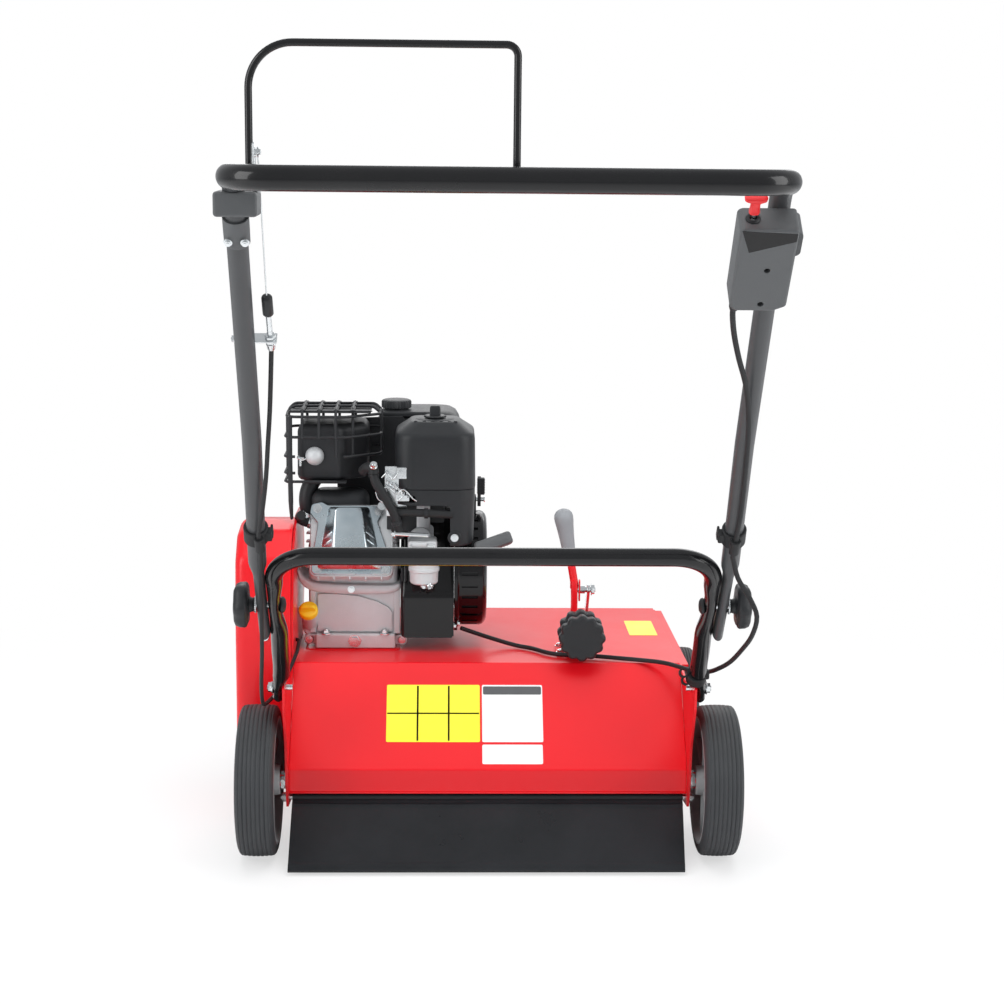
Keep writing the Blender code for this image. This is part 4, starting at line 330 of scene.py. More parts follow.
# %% Lofted and turned shapes
TINY = 0.001


def skin(rings, loop=False):
    """Faces over rings of the same count of points, closed at both ends or round to the start."""
    bm = bmesh.new()
    loops = [[bm.verts.new(p) for p in ring] for ring in rings]
    count = len(loops[0])
    for first, second in zip(loops, loops[1:] + (loops[:1] if loop else [])):
        for k in range(count):
            bm.faces.new((first[k], first[(k + 1) % count], second[(k + 1) % count], second[k]))
    if not loop:
        bm.faces.new(loops[0])
        bm.faces.new(loops[-1])
    bmesh.ops.recalc_face_normals(bm, faces=bm.faces)
    return bm


def frame_of(axis):
    """A rotation whose Z is the given axis and whose X stays near the world's X."""
    axis = Vector(axis).normalized()
    side = Vector((1, 0, 0)) if abs(axis.x) < 0.9 else Vector((0, 1, 0))
    across = axis.cross(side).normalized()
    return Matrix((across.cross(axis), across, axis)).transposed().to_4x4()


def turned(profile, centre=(0, 0, 0), axis=(0, 0, 1), sides=48, ring=False, phase=0.0):
    """Turn (distance along the axis, radius) points round the axis. A ring has a bore."""
    turns = [phase + math.tau * k / sides for k in range(sides)]
    rings = [[(max(r, TINY) * math.cos(t), max(r, TINY) * math.sin(t), a) for t in turns] for a, r in profile]
    bm = skin(rings, loop=ring)
    bmesh.ops.transform(bm, matrix=Matrix.Translation(Vector(centre)) @ frame_of(axis), verts=bm.verts)
    return bm


def rod(start, end, radius, sides=24, chamfer=0.0):
    """A round bar between two points, with its ends chamfered."""
    length = (Vector(end) - Vector(start)).length
    profile = [(0, radius), (length, radius)]
    if chamfer:
        profile = [(0, radius - chamfer), (chamfer, radius), (length - chamfer, radius),
                   (length, radius - chamfer)]
    return turned(profile, start, Vector(end) - Vector(start), sides)


# %% Plates, blocks and groups of solids
def flat_ring(outline, level, plane="XY"):
    """A flat outline at its level along the axis that its plane leaves out."""
    if plane == "YZ":
        return [(level, a, b) for a, b in outline]
    if plane == "XZ":
        return [(a, level, b) for a, b in outline]
    return [(a, b, level) for a, b in outline]


def prism(outline, low, high, plane="YZ"):
    """Extrude a flat outline from low to high."""
    return skin([flat_ring(outline, level, plane) for level in (low, high)])


def inset_skin(outline, levels, plane="XY"):
    """Loft one outline through (level, inset) steps."""
    return skin([flat_ring(inset_outline(outline, i) if i else outline, level, plane) for level, i in levels])


def rolled(start, edge):
    """Levels of a quarter round from a start, with the inset of each."""
    turns = [math.pi / 2 * k / 6 for k in range(7)]
    return [(start + edge * math.sin(a), edge * (1 - math.cos(a))) for a in turns]


def block(x0, x1, y0, y1, z0, z1, bevel=0.0, segments=3):
    """A box with rounded edges."""
    bm = prism([(x0, y0), (x1, y0), (x1, y1), (x0, y1)], z0, z1, "XY")
    if bevel:
        bmesh.ops.bevel(bm, geom=bm.edges[:], offset=bevel, segments=segments, profile=0.5, affect="EDGES",
                        clamp_overlap=True)
    return bm


def moved(bm, matrix):
    """The same shape after a matrix."""
    bmesh.ops.transform(bm, matrix=matrix, verts=bm.verts)
    return bm


def together(*parts):
    """One mesh that holds several closed shapes."""
    whole = bmesh.new()
    for part in parts:
        scratch = bpy.data.meshes.new("scratch")
        part.to_mesh(scratch)
        part.free()
        whole.from_mesh(scratch)
        bpy.data.meshes.remove(scratch)
    return whole


def mirrored(bm):
    """The same shape on the other side of X = 0."""
    bmesh.ops.scale(bm, vec=(-1, 1, 1), verts=bm.verts)
    bmesh.ops.reverse_faces(bm, faces=bm.faces[:])
    return bm


def sided(bm, side):
    """A shape drawn for the right, on the side that is asked for."""
    return mirrored(bm) if side < 0 else bm


# %% Paths and outlines
def rounded_path(corners, radii, steps=10):
    """Replace each inner corner of a path by an arc of its radius."""
    corners = [Vector(c) for c in corners]
    path = [corners[0]]
    for before, point, after, radius in zip(corners, corners[1:], corners[2:], radii):
        back = (before - point).normalized()
        on = (after - point).normalized()
        half = back.angle(on) / 2
        centre = point + (back + on).normalized() * radius / math.sin(half)
        start = point + back * radius / math.tan(half) - centre
        end = point + on * radius / math.tan(half) - centre
        spin = start.cross(end).normalized()
        path += [centre + Matrix.Rotation(start.angle(end) * k / steps, 3, spin) @ start
                 for k in range(steps + 1)]
    return path + [corners[-1]]


def rounded_outline(corners, radius, steps=6):
    """A flat outline whose corners are arcs, one radius for all or one for each corner."""
    count = len(corners)
    radii = radius if isinstance(radius, (list, tuple)) else [radius] * count
    points = []
    for i in range(count):
        if not radii[i]:
            points.append(corners[i])
            continue
        here = Vector((*corners[i], 0))
        back = Vector((*corners[i - 1], 0))
        on = Vector((*corners[(i + 1) % count], 0))
        points += [(p.x, p.y) for p in rounded_path([back, here, on], [radii[i]], steps)[1:-1]]
    return points


def inset_outline(points, distance):
    """Move a closed outline inwards, with mitred corners, whichever way round it runs."""
    count = len(points)
    area = sum(points[i - 1][0] * points[i][1] - points[i][0] * points[i - 1][1] for i in range(count))
    moved_points = []
    for i in range(count):
        here = Vector(points[i])
        before = (here - Vector(points[i - 1])).normalized()
        after = (Vector(points[(i + 1) % count]) - here).normalized()
        first, second = Vector((-before.y, before.x)), Vector((-after.y, after.x))
        mean = (first + second).normalized()
        moved_points.append(tuple(here + mean * math.copysign(distance, area) / max(mean.dot(first), 0.3)))
    return moved_points


def smooth(points, steps):
    """A Catmull-Rom curve through the points, with the given steps between each two."""
    points = [Vector(p) for p in points]
    ends = [points[0] * 2 - points[1], *points, points[-1] * 2 - points[-2]]
    path = []
    for a, b, c, d in zip(ends, ends[1:], ends[2:], ends[3:]):
        for t in (k / steps for k in range(steps)):
            path.append(0.5 * (2 * b + (c - a) * t + (2 * a - 5 * b + 4 * c - d) * t * t
                               + (3 * b - a - 3 * c + d) * t ** 3))
    return path + [points[-1]]


def sweep(points, radii, sides=32, flat=None):
    """A round bar along a path. The flat list gives its half width along X at each point."""
    points = [Vector(p) for p in points]
    normal = None
    rings = []
    for i, point in enumerate(points):
        ahead_of = points[min(i + 1, len(points) - 1)] - point
        behind = point - points[max(i - 1, 0)]
        tangent = (ahead_of.normalized() + behind.normalized()).normalized()
        normal = normal or frame_of(tangent).col[0].xyz
        normal = (normal - tangent * normal.dot(tangent)).normalized()
        across = tangent.cross(normal)
        radius = radii[i] if isinstance(radii, (list, tuple)) else radii
        squeeze = flat[i] / radius if flat else 1.0
        turns = [math.tau * k / sides for k in range(sides)]
        offsets = [(normal * math.cos(a) + across * math.sin(a)) * radius for a in turns]
        rings.append([point + Vector((o.x * squeeze, o.y, o.z)) for o in offsets])
    return skin(rings)


# %% Cutting and placing
BEVEL_STEPS, BEVEL_ABOVE = 2, 28.0


def work_object(bm):
    """A scratch object for a modifier to work on."""
    mesh = bpy.data.meshes.new("work")
    bmesh.ops.recalc_face_normals(bm, faces=bm.faces)
    bm.to_mesh(mesh)
    bm.free()
    obj = bpy.data.objects.new("work", mesh)
    bpy.context.scene.collection.objects.link(obj)
    return obj


def evaluated_mesh(obj):
    """The mesh of an object after its modifiers."""
    graph = bpy.context.evaluated_depsgraph_get()
    return bpy.data.meshes.new_from_object(obj.evaluated_get(graph))


def cut(base, *tools, operation="DIFFERENCE"):
    """Cut tools out of a shape, or join them to it, by exact Booleans."""
    target = work_object(base)
    guides = [work_object(tool) for tool in tools]
    for guide in guides:
        step = target.modifiers.new("step", "BOOLEAN")
        step.operation, step.solver, step.object = operation, "EXACT", guide
    result = bmesh.new()
    result.from_mesh(evaluated_mesh(target))
    bmesh.ops.dissolve_degenerate(result, dist=0.001, edges=result.edges[:])
    for obj in [target, *guides]:
        bpy.data.objects.remove(obj, do_unlink=True)
    return result


def place(name, bm, body, finish_used, replaces=(), bevel=0.0, angle=35.0, slot=None):
    """Make a finished piece of a mesh in millimetres and let it ride on its body."""
    bmesh.ops.remove_doubles(bm, verts=bm.verts, dist=0.0005)
    bmesh.ops.recalc_face_normals(bm, faces=bm.faces)
    moved(bm, TO_FRAME)
    mesh = bpy.data.meshes.new(name)
    bm.to_mesh(mesh)
    bm.free()
    obj = bpy.data.objects.new(name, mesh)
    bpy.context.scene.collection.objects.link(obj)
    mesh.materials.append(finish_used)
    mesh.shade_smooth()
    mesh.set_sharp_from_angle(angle=math.radians(angle))
    if bevel:
        edge = obj.modifiers.new("edge", "BEVEL")
        edge.width, edge.segments, edge.limit_method = bevel * MM, BEVEL_STEPS, "ANGLE"
        edge.angle_limit = math.radians(BEVEL_ABOVE)
        edge.use_clamp_overlap = True
        obj.modifiers.new("even", "WEIGHTED_NORMAL").keep_sharp = True
        obj.data = evaluated_mesh(obj)
        obj.modifiers.clear()
        obj.data.name = name
    if body:
        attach(obj, body)
    if replaces:
        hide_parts(*([replaces] if isinstance(replaces, str) else replaces))
    return obj


def dress(node, finish_used):
    """Keep a CAD node's shape and give it a better finish."""
    mesh = frame["nodes"][node].data
    mesh.materials.clear()
    mesh.materials.append(finish_used)


# %% [markdown]
# ## Repeated parts with Geometry Nodes
# A machine like this is held by dozens of hex bolts of a few sizes. The first tree takes plain points that
# carry a facing direction, and stands a washer and a hex head on each one. The second tree bends round wire
# or bar along the edges of a path. The third sets copies of a small solid in a ring, for webs, teeth and
# slots.

# %% Tree for hex fasteners
def new_tree(name, sizes):
    """A Geometry Nodes tree with a geometry input, named sizes, and a material."""
    made = bpy.data.node_groups.new(name, "GeometryNodeTree")
    made.interface.new_socket("Geometry", in_out="INPUT", socket_type="NodeSocketGeometry")
    for label, kind, value in sizes:
        socket = made.interface.new_socket(label, in_out="INPUT", socket_type="NodeSocket" + kind)
        if value is not None:
            socket.default_value = value
    made.interface.new_socket("Geometry", in_out="OUTPUT", socket_type="NodeSocketGeometry")
    return made, made.nodes.new("NodeGroupInput"), made.nodes.new("NodeGroupOutput")


def last_steps(tree, given, result, grown_node):
    """Every tree ends the same way: plain mesh, one material."""
    real = node_of(tree, "GeometryNodeRealizeInstances")
    paint = node_of(tree, "GeometryNodeSetMaterial")
    join(tree, (grown_node, 0, real, 0), (real, 0, paint, "Geometry"), (given, "Material", paint, "Material"),
         (paint, 0, result, 0))


bolt_tree, given, result = new_tree("hex_fasteners", [
    ("Head radius", "Float", 0.005), ("Head height", "Float", 0.004), ("Sides", "Int", 6),
    ("Washer radius", "Float", 0.007), ("Material", "Material", None)])
head = node_of(bolt_tree, "GeometryNodeMeshCylinder")
washer = node_of(bolt_tree, "GeometryNodeMeshCylinder", Vertices=24, Depth=0.0012)
stub = node_of(bolt_tree, "GeometryNodeMeshCylinder", Vertices=16)
lift = times(bolt_tree, 0.5)
lift_vector = node_of(bolt_tree, "ShaderNodeCombineXYZ")
raise_head = node_of(bolt_tree, "GeometryNodeTransform")
joined = node_of(bolt_tree, "GeometryNodeJoinGeometry")
stub_radius = times(bolt_tree, 0.52)
stub_depth = times(bolt_tree, 2.5)
facing_way = node_of(bolt_tree, "GeometryNodeInputNamedAttribute", data_type="FLOAT_VECTOR", Name="facing")
turn_to = node_of(bolt_tree, "FunctionNodeAlignRotationToVector", axis="Z")
stand = node_of(bolt_tree, "GeometryNodeInstanceOnPoints")
join(bolt_tree, (given, "Sides", head, "Vertices"), (given, "Head radius", head, "Radius"),
     (given, "Head height", head, "Depth"), (given, "Washer radius", washer, "Radius"),
     (given, "Head radius", stub_radius, 0), (stub_radius, 0, stub, "Radius"),
     (given, "Head height", stub_depth, 0), (stub_depth, 0, stub, "Depth"), (given, "Head height", lift, 0),
     (lift, 0, lift_vector, "Z"), (head, "Mesh", raise_head, "Geometry"),
     (lift_vector, 0, raise_head, "Translation"), (raise_head, 0, joined, 0), (washer, 0, joined, 0),
     (stub, 0, joined, 0), (given, "Geometry", stand, "Points"), (joined, 0, stand, "Instance"),
     (facing_way, 0, turn_to, "Vector"), (turn_to, 0, stand, "Rotation"))
last_steps(bolt_tree, given, result, stand)
print("bolt tree nodes", len(bolt_tree.nodes))

# %% Tree for bent wire and bar
wire_tree, given, result = new_tree("bent_wire", [("Radius", "Float", 0.002), ("Sides", "Int", 12),
                                                  ("Material", "Material", None)])
as_curve = node_of(wire_tree, "GeometryNodeMeshToCurve")
section = node_of(wire_tree, "GeometryNodeCurvePrimitiveCircle")
bar = node_of(wire_tree, "GeometryNodeCurveToMesh", Fill_Caps=True)
even_shade = node_of(wire_tree, "GeometryNodeSetShadeSmooth")
join(wire_tree, (given, "Geometry", as_curve, 0), (given, "Sides", section, "Resolution"),
     (given, "Radius", section, "Radius"), (as_curve, 0, bar, "Curve"), (section, 0, bar, "Profile Curve"),
     (bar, 0, even_shade, 0))
last_steps(wire_tree, given, result, even_shade)
print("wire tree nodes", len(wire_tree.nodes))

# %% Tree for a ring of copies
ring_tree, given, result = new_tree("ring_of_copies", [("Count", "Int", 12), ("Centre", "Vector", None),
                                                       ("Axis", "Vector", None),
                                                       ("Material", "Material", None)])
spots = node_of(ring_tree, "GeometryNodeMeshLine", Offset=(0.0, 0.0, 0.0))
number = node_of(ring_tree, "GeometryNodeInputIndex")
share = node_of(ring_tree, "ShaderNodeMath", operation="DIVIDE")
angle_of = times(ring_tree, math.tau)
spin = node_of(ring_tree, "FunctionNodeAxisAngleToRotation")
copies = node_of(ring_tree, "GeometryNodeInstanceOnPoints")
join(ring_tree, (given, "Count", spots, "Count"), (given, "Centre", spots, "Start Location"),
     (number, 0, share, 0), (given, "Count", share, 1), (share, 0, angle_of, 0),
     (given, "Axis", spin, "Axis"), (angle_of, 0, spin, "Angle"), (spots, 0, copies, "Points"),
     (given, "Geometry", copies, "Instance"), (spin, 0, copies, "Rotation"))
last_steps(ring_tree, given, result, copies)
print("ring tree nodes", len(ring_tree.nodes))


# %% Using the trees
def grown(tree, mesh, **sizes):
    """The plain mesh that a tree grows from a source mesh, as a bmesh in the frame's metres."""
    obj = bpy.data.objects.new("source", mesh)
    bpy.context.scene.collection.objects.link(obj)
    step = obj.modifiers.new("grow", "NODES")
    step.node_group = tree
    for item in tree.interface.items_tree:
        if item.in_out == "INPUT" and item.name in sizes:
            step[item.identifier] = sizes[item.name]
    bm = bmesh.new()
    bm.from_mesh(evaluated_mesh(obj))
    bpy.data.objects.remove(obj, do_unlink=True)
    return bm


def bolts(name, points, body, radius, height, washer, sides=6):
    """Zinc heads on washers: each point comes with the direction that it faces."""
    mesh = bpy.data.meshes.new("points")
    mesh.from_pydata([world(p) for p, way in points], [], [])
    ways = mesh.attributes.new("facing", "FLOAT_VECTOR", "POINT")
    for i, (p, way) in enumerate(points):
        ways.data[i].vector = Vector(way).normalized()
    bm = grown(bolt_tree, mesh, **{"Head radius": radius * MM, "Head height": height * MM, "Sides": sides,
                                   "Washer radius": washer * MM, "Material": ZINC})
    return place(name, moved(bm, TO_FRAME.inverted()), body, ZINC, angle=30.0)


def wires(paths, radius, finish_used, sides=12):
    """Round bars along paths of points, as one mesh in millimetres."""
    mesh = bpy.data.meshes.new("paths")
    points, edges = [], []
    for path in paths:
        edges += [(len(points) + k, len(points) + k + 1) for k in range(len(path) - 1)]
        points += [world(p) for p in path]
    mesh.from_pydata(points, edges, [])
    bm = grown(wire_tree, mesh, Radius=radius * MM, Sides=sides, Material=finish_used)
    return moved(bm, TO_FRAME.inverted())


def ring_of(bm, count, centre, axis, finish_used):
    """Copies of a shape drawn about the origin, turned round an axis through the centre."""
    source = bpy.data.meshes.new("copy")
    moved(bm, Matrix.Scale(MM, 4))
    bm.to_mesh(source)
    bm.free()
    made = grown(ring_tree, source, Count=count, Centre=world(centre), Axis=Vector(axis),
                 Material=finish_used)
    return moved(made, TO_FRAME.inverted())


print("trees", [made.name for made in (bolt_tree, wire_tree, ring_tree)])

# %% [markdown]
# ## Handle tubes
# The handle is one bent steel tube in two halves. Where the halves bolt together, the tube is pressed flat
# so that the legs lie against each other. A sweep along the bent centre line makes the tube, and a second
# list of half widths presses it flat near the bolts. The upper bar wears a thick glossy sleeve that ends on
# the legs.

# %% The slope of the handle
LEFT, RIGHT = -1, 1
SIDES = ((LEFT, "left"), (RIGHT, "right"))
SLOPE = math.radians(51.0)
FOLD = Vector((0, -146.5, 375.0))
FOOT = Vector((0, -30.0, 236.0))
TUBE_R, GRIP_R, FLAT_T = 11.0, 12.5, 13.6
LOWER_HALF, UPPER_HALF = 265.3, 266.7
BAR = Vector((0, -655.0, 908.0))
UPPER_FLAT_X = LOWER_HALF + TUBE_R + 0.3 + FLAT_T / 2
LOWER_FLAT_X = LOWER_HALF + TUBE_R - FLAT_T / 2
FOOT_X = 268.3 + FLAT_T / 2
INNER_FACE, OUTER_FACE = LOWER_FLAT_X - FLAT_T / 2, UPPER_FLAT_X + FLAT_T / 2
FOOT_FACE = FOOT_X + FLAT_T / 2
LEG_LENGTH = (BAR.z - FOLD.z) / math.sin(SLOPE)
LEG_START, LEG_KNEE = 86.0, 300.0
UP_LEG = Vector((0, -math.cos(SLOPE), math.sin(SLOPE)))
OFF_LEG = Vector((0, math.sin(SLOPE), math.cos(SLOPE)))
SLOPE_FRAME = Matrix.Translation(FOLD) @ Matrix((Vector((1, 0, 0)), UP_LEG, OFF_LEG)).transposed().to_4x4()


def along_leg(distance, rise=0.0, x=0.0):
    """A point on the handle's slope: distance up from the fold bolt, and rise to its upper side."""
    return FOLD + UP_LEG * distance + OFF_LEG * rise + Vector((x, 0, 0))


def leg_x(distance):
    """Sideways place of the upper leg's centre at a distance up from the fold bolt."""
    middle = (UPPER_FLAT_X + UPPER_HALF) / 2
    if distance < LEG_KNEE:
        return UPPER_FLAT_X + (middle - UPPER_FLAT_X) * max(distance - LEG_START, 0) / (LEG_KNEE - LEG_START)
    return middle + (UPPER_HALF - middle) * (distance - LEG_KNEE) / (LEG_LENGTH - LEG_KNEE)


def in_slope(bm):
    """Move a shape into the handle's slope: x across, d up from the fold bolt, r to the upper side."""
    return moved(bm, SLOPE_FRAME)


def eased(distance, start, reach):
    """A share that grows smoothly from 0 at the start to 1 after the reach."""
    share = min(max((distance - start) / reach, 0), 1)
    return share * share * (3 - 2 * share)


def side_view_gap(point, spot):
    """Distance between two points, seen from the side."""
    return (Vector((0, point.y, point.z)) - spot).length


def both_legs(right_leg):
    """A path from the left leg's foot over to the right leg's foot."""
    return [Vector((-p.x, p.y, p.z)) for p in right_leg] + right_leg[::-1]


def dense(points, step=7.0):
    """The same path with points no further apart than a step."""
    path = [points[0]]
    for a, b in zip(points, points[1:]):
        count = max(1, math.ceil((b - a).length / step))
        path += [a.lerp(b, k / count) for k in range(1, count + 1)]
    return path


print("leg from the fold bolt to the bar", round(LEG_LENGTH), "mm")

# %% Upper handle
LEG_TIP, BAR_BENDS = -56, [60.0, 44.0]
BAIL = Vector((0, -568.0, 904.0))
PIN_R, BOLT_R = 3.0, 3.9
leg = [along_leg(d, 0, leg_x(d)) for d in (LEG_TIP, 0, 40, 64, 75, LEG_START, LEG_KNEE)]
bend = rounded_path([leg[-1], along_leg(LEG_LENGTH, 0, UPPER_HALF), Vector((UPPER_HALF, BAR.y, BAR.z)),
                     Vector((-UPPER_HALF, BAR.y, BAR.z))], BAR_BENDS, 14)
upper_line = both_legs(leg + bend[1:-1])
line = dense(upper_line)
flat_spots = [along_leg(d) for d in (-52, -26, 0, 19, 38)]
shares = [eased(min(side_view_gap(point, spot) for spot in flat_spots), 26, 22) for point in line]
radii = [TUBE_R + 1.5 * (1 - share) for share in shares]
halves = [FLAT_T / 2 + (TUBE_R - FLAT_T / 2) * share for share in shares]
tube = sweep(line, radii, 32, halves)
tip_caps = []
for side, word in SIDES:
    tip = along_leg(LEG_TIP, 0, side * leg_x(LEG_TIP))
    tip_caps.append(sweep([tip + UP_LEG, tip - UP_LEG, tip - UP_LEG * 2], [12.5, 12.0, 10.5], 32,
                          [6.8, 6.5, 5.2]))
stay = block(12.5, 16.5, BAR.y + 5, BAIL.y + 8, BAIL.z - 6, BAIL.z + 6, 1.0)
pin = rod((13, *BAIL.yz), (4, *BAIL.yz), PIN_R, 20)
tab = in_slope(block(-268, -238, 456, 458, -1, 13, 0.5))
place("cable_tab", tab, "upper_handle", ZINC, bevel=0.3)
place("upper_tube", together(tube, *tip_caps, stay, pin), "upper_handle", SATIN, "upper_handle",
      angle=50.0)
sleeve_line = [p for p in line if p.y < BAR.y + 44.5]
sleeve_line[0] += (line[line.index(sleeve_line[0]) - 1] - sleeve_line[0]) * 0.1
sleeve_radii = [GRIP_R] * len(sleeve_line)
for k in (0, -1):
    sleeve_radii[k] = GRIP_R - 0.9
place("bar_sleeve", sweep(sleeve_line, sleeve_radii, 48), "upper_handle", TUBE, angle=50.0)
print("upper handle", round(sum((b - a).length for a, b in zip(line, line[1:]))), "mm of tube")

# %% Lower handle
FOLD_HALF = 8.2
up = (FOLD - FOOT).normalized()
leg = [FOOT + up * d for d in (-16, -4, 8, 20, 32, 56)]
leg += [FOLD + up * d for d in (-100, -75, -60, -46, -24, 0, 24, 44)]
widths = [FOOT_X, FOOT_X, FOOT_X - 0.6, FOOT_X - 3.6, 268.6, 267.4, 267.2, 266.4, 265.8, 266.0, 267.2, 268.0,
          267.2, 265.7]
leg = [Vector((x, p.y, p.z)) for x, p in zip(widths, leg)]
corner = Vector((LOWER_HALF, -218.0, 452.0))
arc = rounded_path([leg[-1], corner, corner - Vector((2 * LOWER_HALF, 0, 0))], [52.0], 16)
line = dense(both_legs(leg + arc[1:-1]), 5.0)
radii, halves = [], []
for point in line:
    at_fold = eased(side_view_gap(point, FOLD), 14, 46)
    at_foot = eased(side_view_gap(point, FOOT), 8, 24)
    halves.append(min(FOLD_HALF + (TUBE_R - FOLD_HALF) * at_fold,
                      FLAT_T / 2 + (TUBE_R - FLAT_T / 2) * at_foot))
    radii.append(TUBE_R + 1.4 * (1 - min(at_fold, at_foot)))
tube = sweep(line, radii, 32, halves)
ends = [sweep([Vector((s * FOOT_X, *(FOOT - up * d).yz)) for d in (15, 17, 19)], [12.5, 11.8, 9.0], 32,
              [6.8, 6.3, 4.4]) for s, word in SIDES]
place("lower_tube", together(tube, *ends), "chassis", TUBE, "lower_handle", angle=50.0)
clasp = [turned([(19, 12.6), (19.8, 13.4), (33.2, 13.4), (34, 12.6)], (267, *FOOT.yz), up, 32),
         block(276, 283, -55, -43, 254, 266, 2.0)]
for x, y, z in ((250, -50, 262), (254, -44, 250)):
    clasp.append(turned([(-4.5, 6.4), (4.5, 6.4), (4.5, 4.0), (-4.5, 4.0)], (x, y, z), (0, -1, 0.4), 24,
                        ring=True))
place("foot_clasp", together(*clasp), "chassis", BOOT, bevel=0.3, slot="black_plastic")

bolt_line = []
for side, word in SIDES:
    inner = side * (INNER_FACE - 2.9)
    tip = side * (OUTER_FACE + 24)
    bolt_line.append(rod((inner, *FOLD.yz), (tip, *FOLD.yz), BOLT_R, 20))
    bolt_line.append(rod((side * 256, *FOOT.yz), (side * (FOOT_FACE + 6), *FOOT.yz), BOLT_R, 20))
place("handle_bolts", together(*bolt_line), "chassis", ZINC)
cap_profile = [(0, 9.5), (1.2, 10.2), (3.5, 9.6), (5.5, 6.5), (6.2, 2)]
cap_x = INNER_FACE - 2.6
caps = [turned(cap_profile, (side * cap_x, *FOLD.yz), (-side, 0, 0), 28) for side, word in SIDES]
place("bolt_caps", together(*caps), "chassis", PLASTIC)
bolts("foot_bolts", [((side * (FOOT_FACE + 0.5), *FOOT.yz), (side, 0, 0)) for side, word in SIDES],
      "chassis", 6.6, 5.0, 8.5)
print("bolts on the handle", 2 * len(SIDES))

# %% [markdown]
# ## Bail and its bracket
# The bail is a bent round bar that pivots on the bar of the handle. A clamp on the left leg carries its outer
# eye, and a plate on the bail pulls the clutch wire. Bent wire is what the wire tree was made for.

# %% Bail
BAIL_LEFT, BAIL_RIGHT, BAIL_TOP = -251.5, 8.0, 1034.0
ANCHOR_ARM, ANCHOR_ANGLE = 30, math.radians(60)
ANCHOR = Vector((-244.5, BAIL.y + ANCHOR_ARM * math.cos(ANCHOR_ANGLE),
                 BAIL.z + ANCHOR_ARM * math.sin(ANCHOR_ANGLE)))
bail_line = rounded_path([(BAIL_LEFT, *BAIL.yz), (BAIL_LEFT, BAIL.y, BAIL_TOP),
                          (BAIL_RIGHT, BAIL.y, BAIL_TOP), (BAIL_RIGHT, *BAIL.yz)], [43.0, 11.0], 14)
eyes = [turned([(-4, 3.4), (-4, 6.6), (-3.4, 7.0), (3.4, 7.0), (4, 6.6), (4, 3.4)], (x, *BAIL.yz), (1, 0, 0),
               28, ring=True) for x in (BAIL_LEFT, BAIL_RIGHT)]
place("bail_bar", together(wires([bail_line], 3.8, TUBE, 20), *eyes), "bail", TUBE, "bail", angle=50.0)
strap_outline = rounded_outline([(BAIL.y - 6, BAIL.z + 6), (BAIL.y + 5, BAIL.z + 6),
                                 (ANCHOR.y + 7, ANCHOR.z - 8), (ANCHOR.y + 7, ANCHOR.z + 8),
                                 (ANCHOR.y - 8, ANCHOR.z + 9), (BAIL.y - 5, BAIL.z + 36)], 3, 4)
strap = prism(strap_outline, BAIL_LEFT + 3.2, BAIL_LEFT + 5.2)
hook = rod((BAIL_LEFT + 3, *ANCHOR.yz), (ANCHOR.x + 3.2, *ANCHOR.yz), 2.8, 20, 0.6)
place("bail_plate", together(strap, hook), "bail", ZINC, bevel=0.3)
bolts("bail_rivets", [((BAIL_LEFT + 5.2, BAIL.y - 2, BAIL.z + 24), (1, 0, 0))], "bail", 2.6, 1.6, 3.2, 20)
print("points on the bail", len(bail_line))

# %% Bail bracket
clamp = block(-286, -243, -585, -537, 868, 892.5, 3.5)
bore = sweep([p for p in upper_line if p.x < -UPPER_HALF + 25], TUBE_R + 0.4, 32)
neck_path = [along_leg(d, 0, -leg_x(d)) for d in (600, 618, 634)]
collar = sweep(neck_path, [13.2, 13.4, 13.4], 32)
collar_bore = sweep([along_leg(d, 0, -leg_x(d)) for d in (560, 660)], TUBE_R + 0.3, 32)
ear = prism(rounded_outline([(-577, 884), (-559, 884), (-561, 911), (-575, 911)], 5), -247.4, -243.2)
pin = rod((-246, *BAIL.yz), (BAIL_LEFT - 3.6, *BAIL.yz), PIN_R, 20)
clamp = together(cut(clamp, bore), cut(collar, collar_bore), ear, pin)
place("bail_clamp", clamp, "upper_handle", GREY, "bail_bracket", bevel=0.6)
at_leg = along_leg(610, 0, -leg_x(610))
bolts("clamp_bolts", [(at_leg + OFF_LEG * -13 + Vector((dx, 0, 0)), -OFF_LEG) for dx in (-8, 9)],
      "upper_handle", 3.4, 2.6, 4.6, 20)
bolts("leg_bolt", [(along_leg(460, 2, -leg_x(460) - 10.5), (-1, 0, 0))], "upper_handle", 3.6, 3.0, 5.0)
print("bail span", BAIL_RIGHT - BAIL_LEFT, "mm")

# %% [markdown]
# ## Switch box
# A moulded box hangs under the right leg. Its lid is cut at a slant and shows a darker, glossier face, and a
# metal toggle with a red cap stands in a domed washer on top. Exact Booleans cut the screw wells.

# %% Switch box
BOX_FACE = -TUBE_R - 0.3
TOGGLE_X, TOGGLE_RISE = 238, BOX_FACE - 16
SCREW_WELLS = ((257, 606), (256, 560))
face_outline = rounded_outline([(225, 549.5), (270, 549.5), (283, 556), (283, 660), (224.3, 660)],
                               [9, 4, 5, 4, 6], 5)
shell = inset_skin(face_outline, [(BOX_FACE - r, i) for r, i in ((0, 0), (28, 0), (30.6, 0.8), (31.8, 2.6))])
wells = [rod((x, d, BOX_FACE - 33), (x, d, BOX_FACE - 26), 3.2, 24) for x, d in SCREW_WELLS]
toggle_well = rod((TOGGLE_X, 655, TOGGLE_RISE), (TOGGLE_X, 665, TOGGLE_RISE), 5.9, 24)
shell = in_slope(cut(shell, *wells, toggle_well))
bore = sweep([along_leg(d, 0, leg_x(d)) for d in (500, 680)], TUBE_R + 0.4, 32)
low_x, high_x = leg_x(606) - 15, leg_x(606) + 25
collar = rounded_outline([(low_x, 600), (high_x, 600), (high_x, 632), (low_x, 632)], 6)
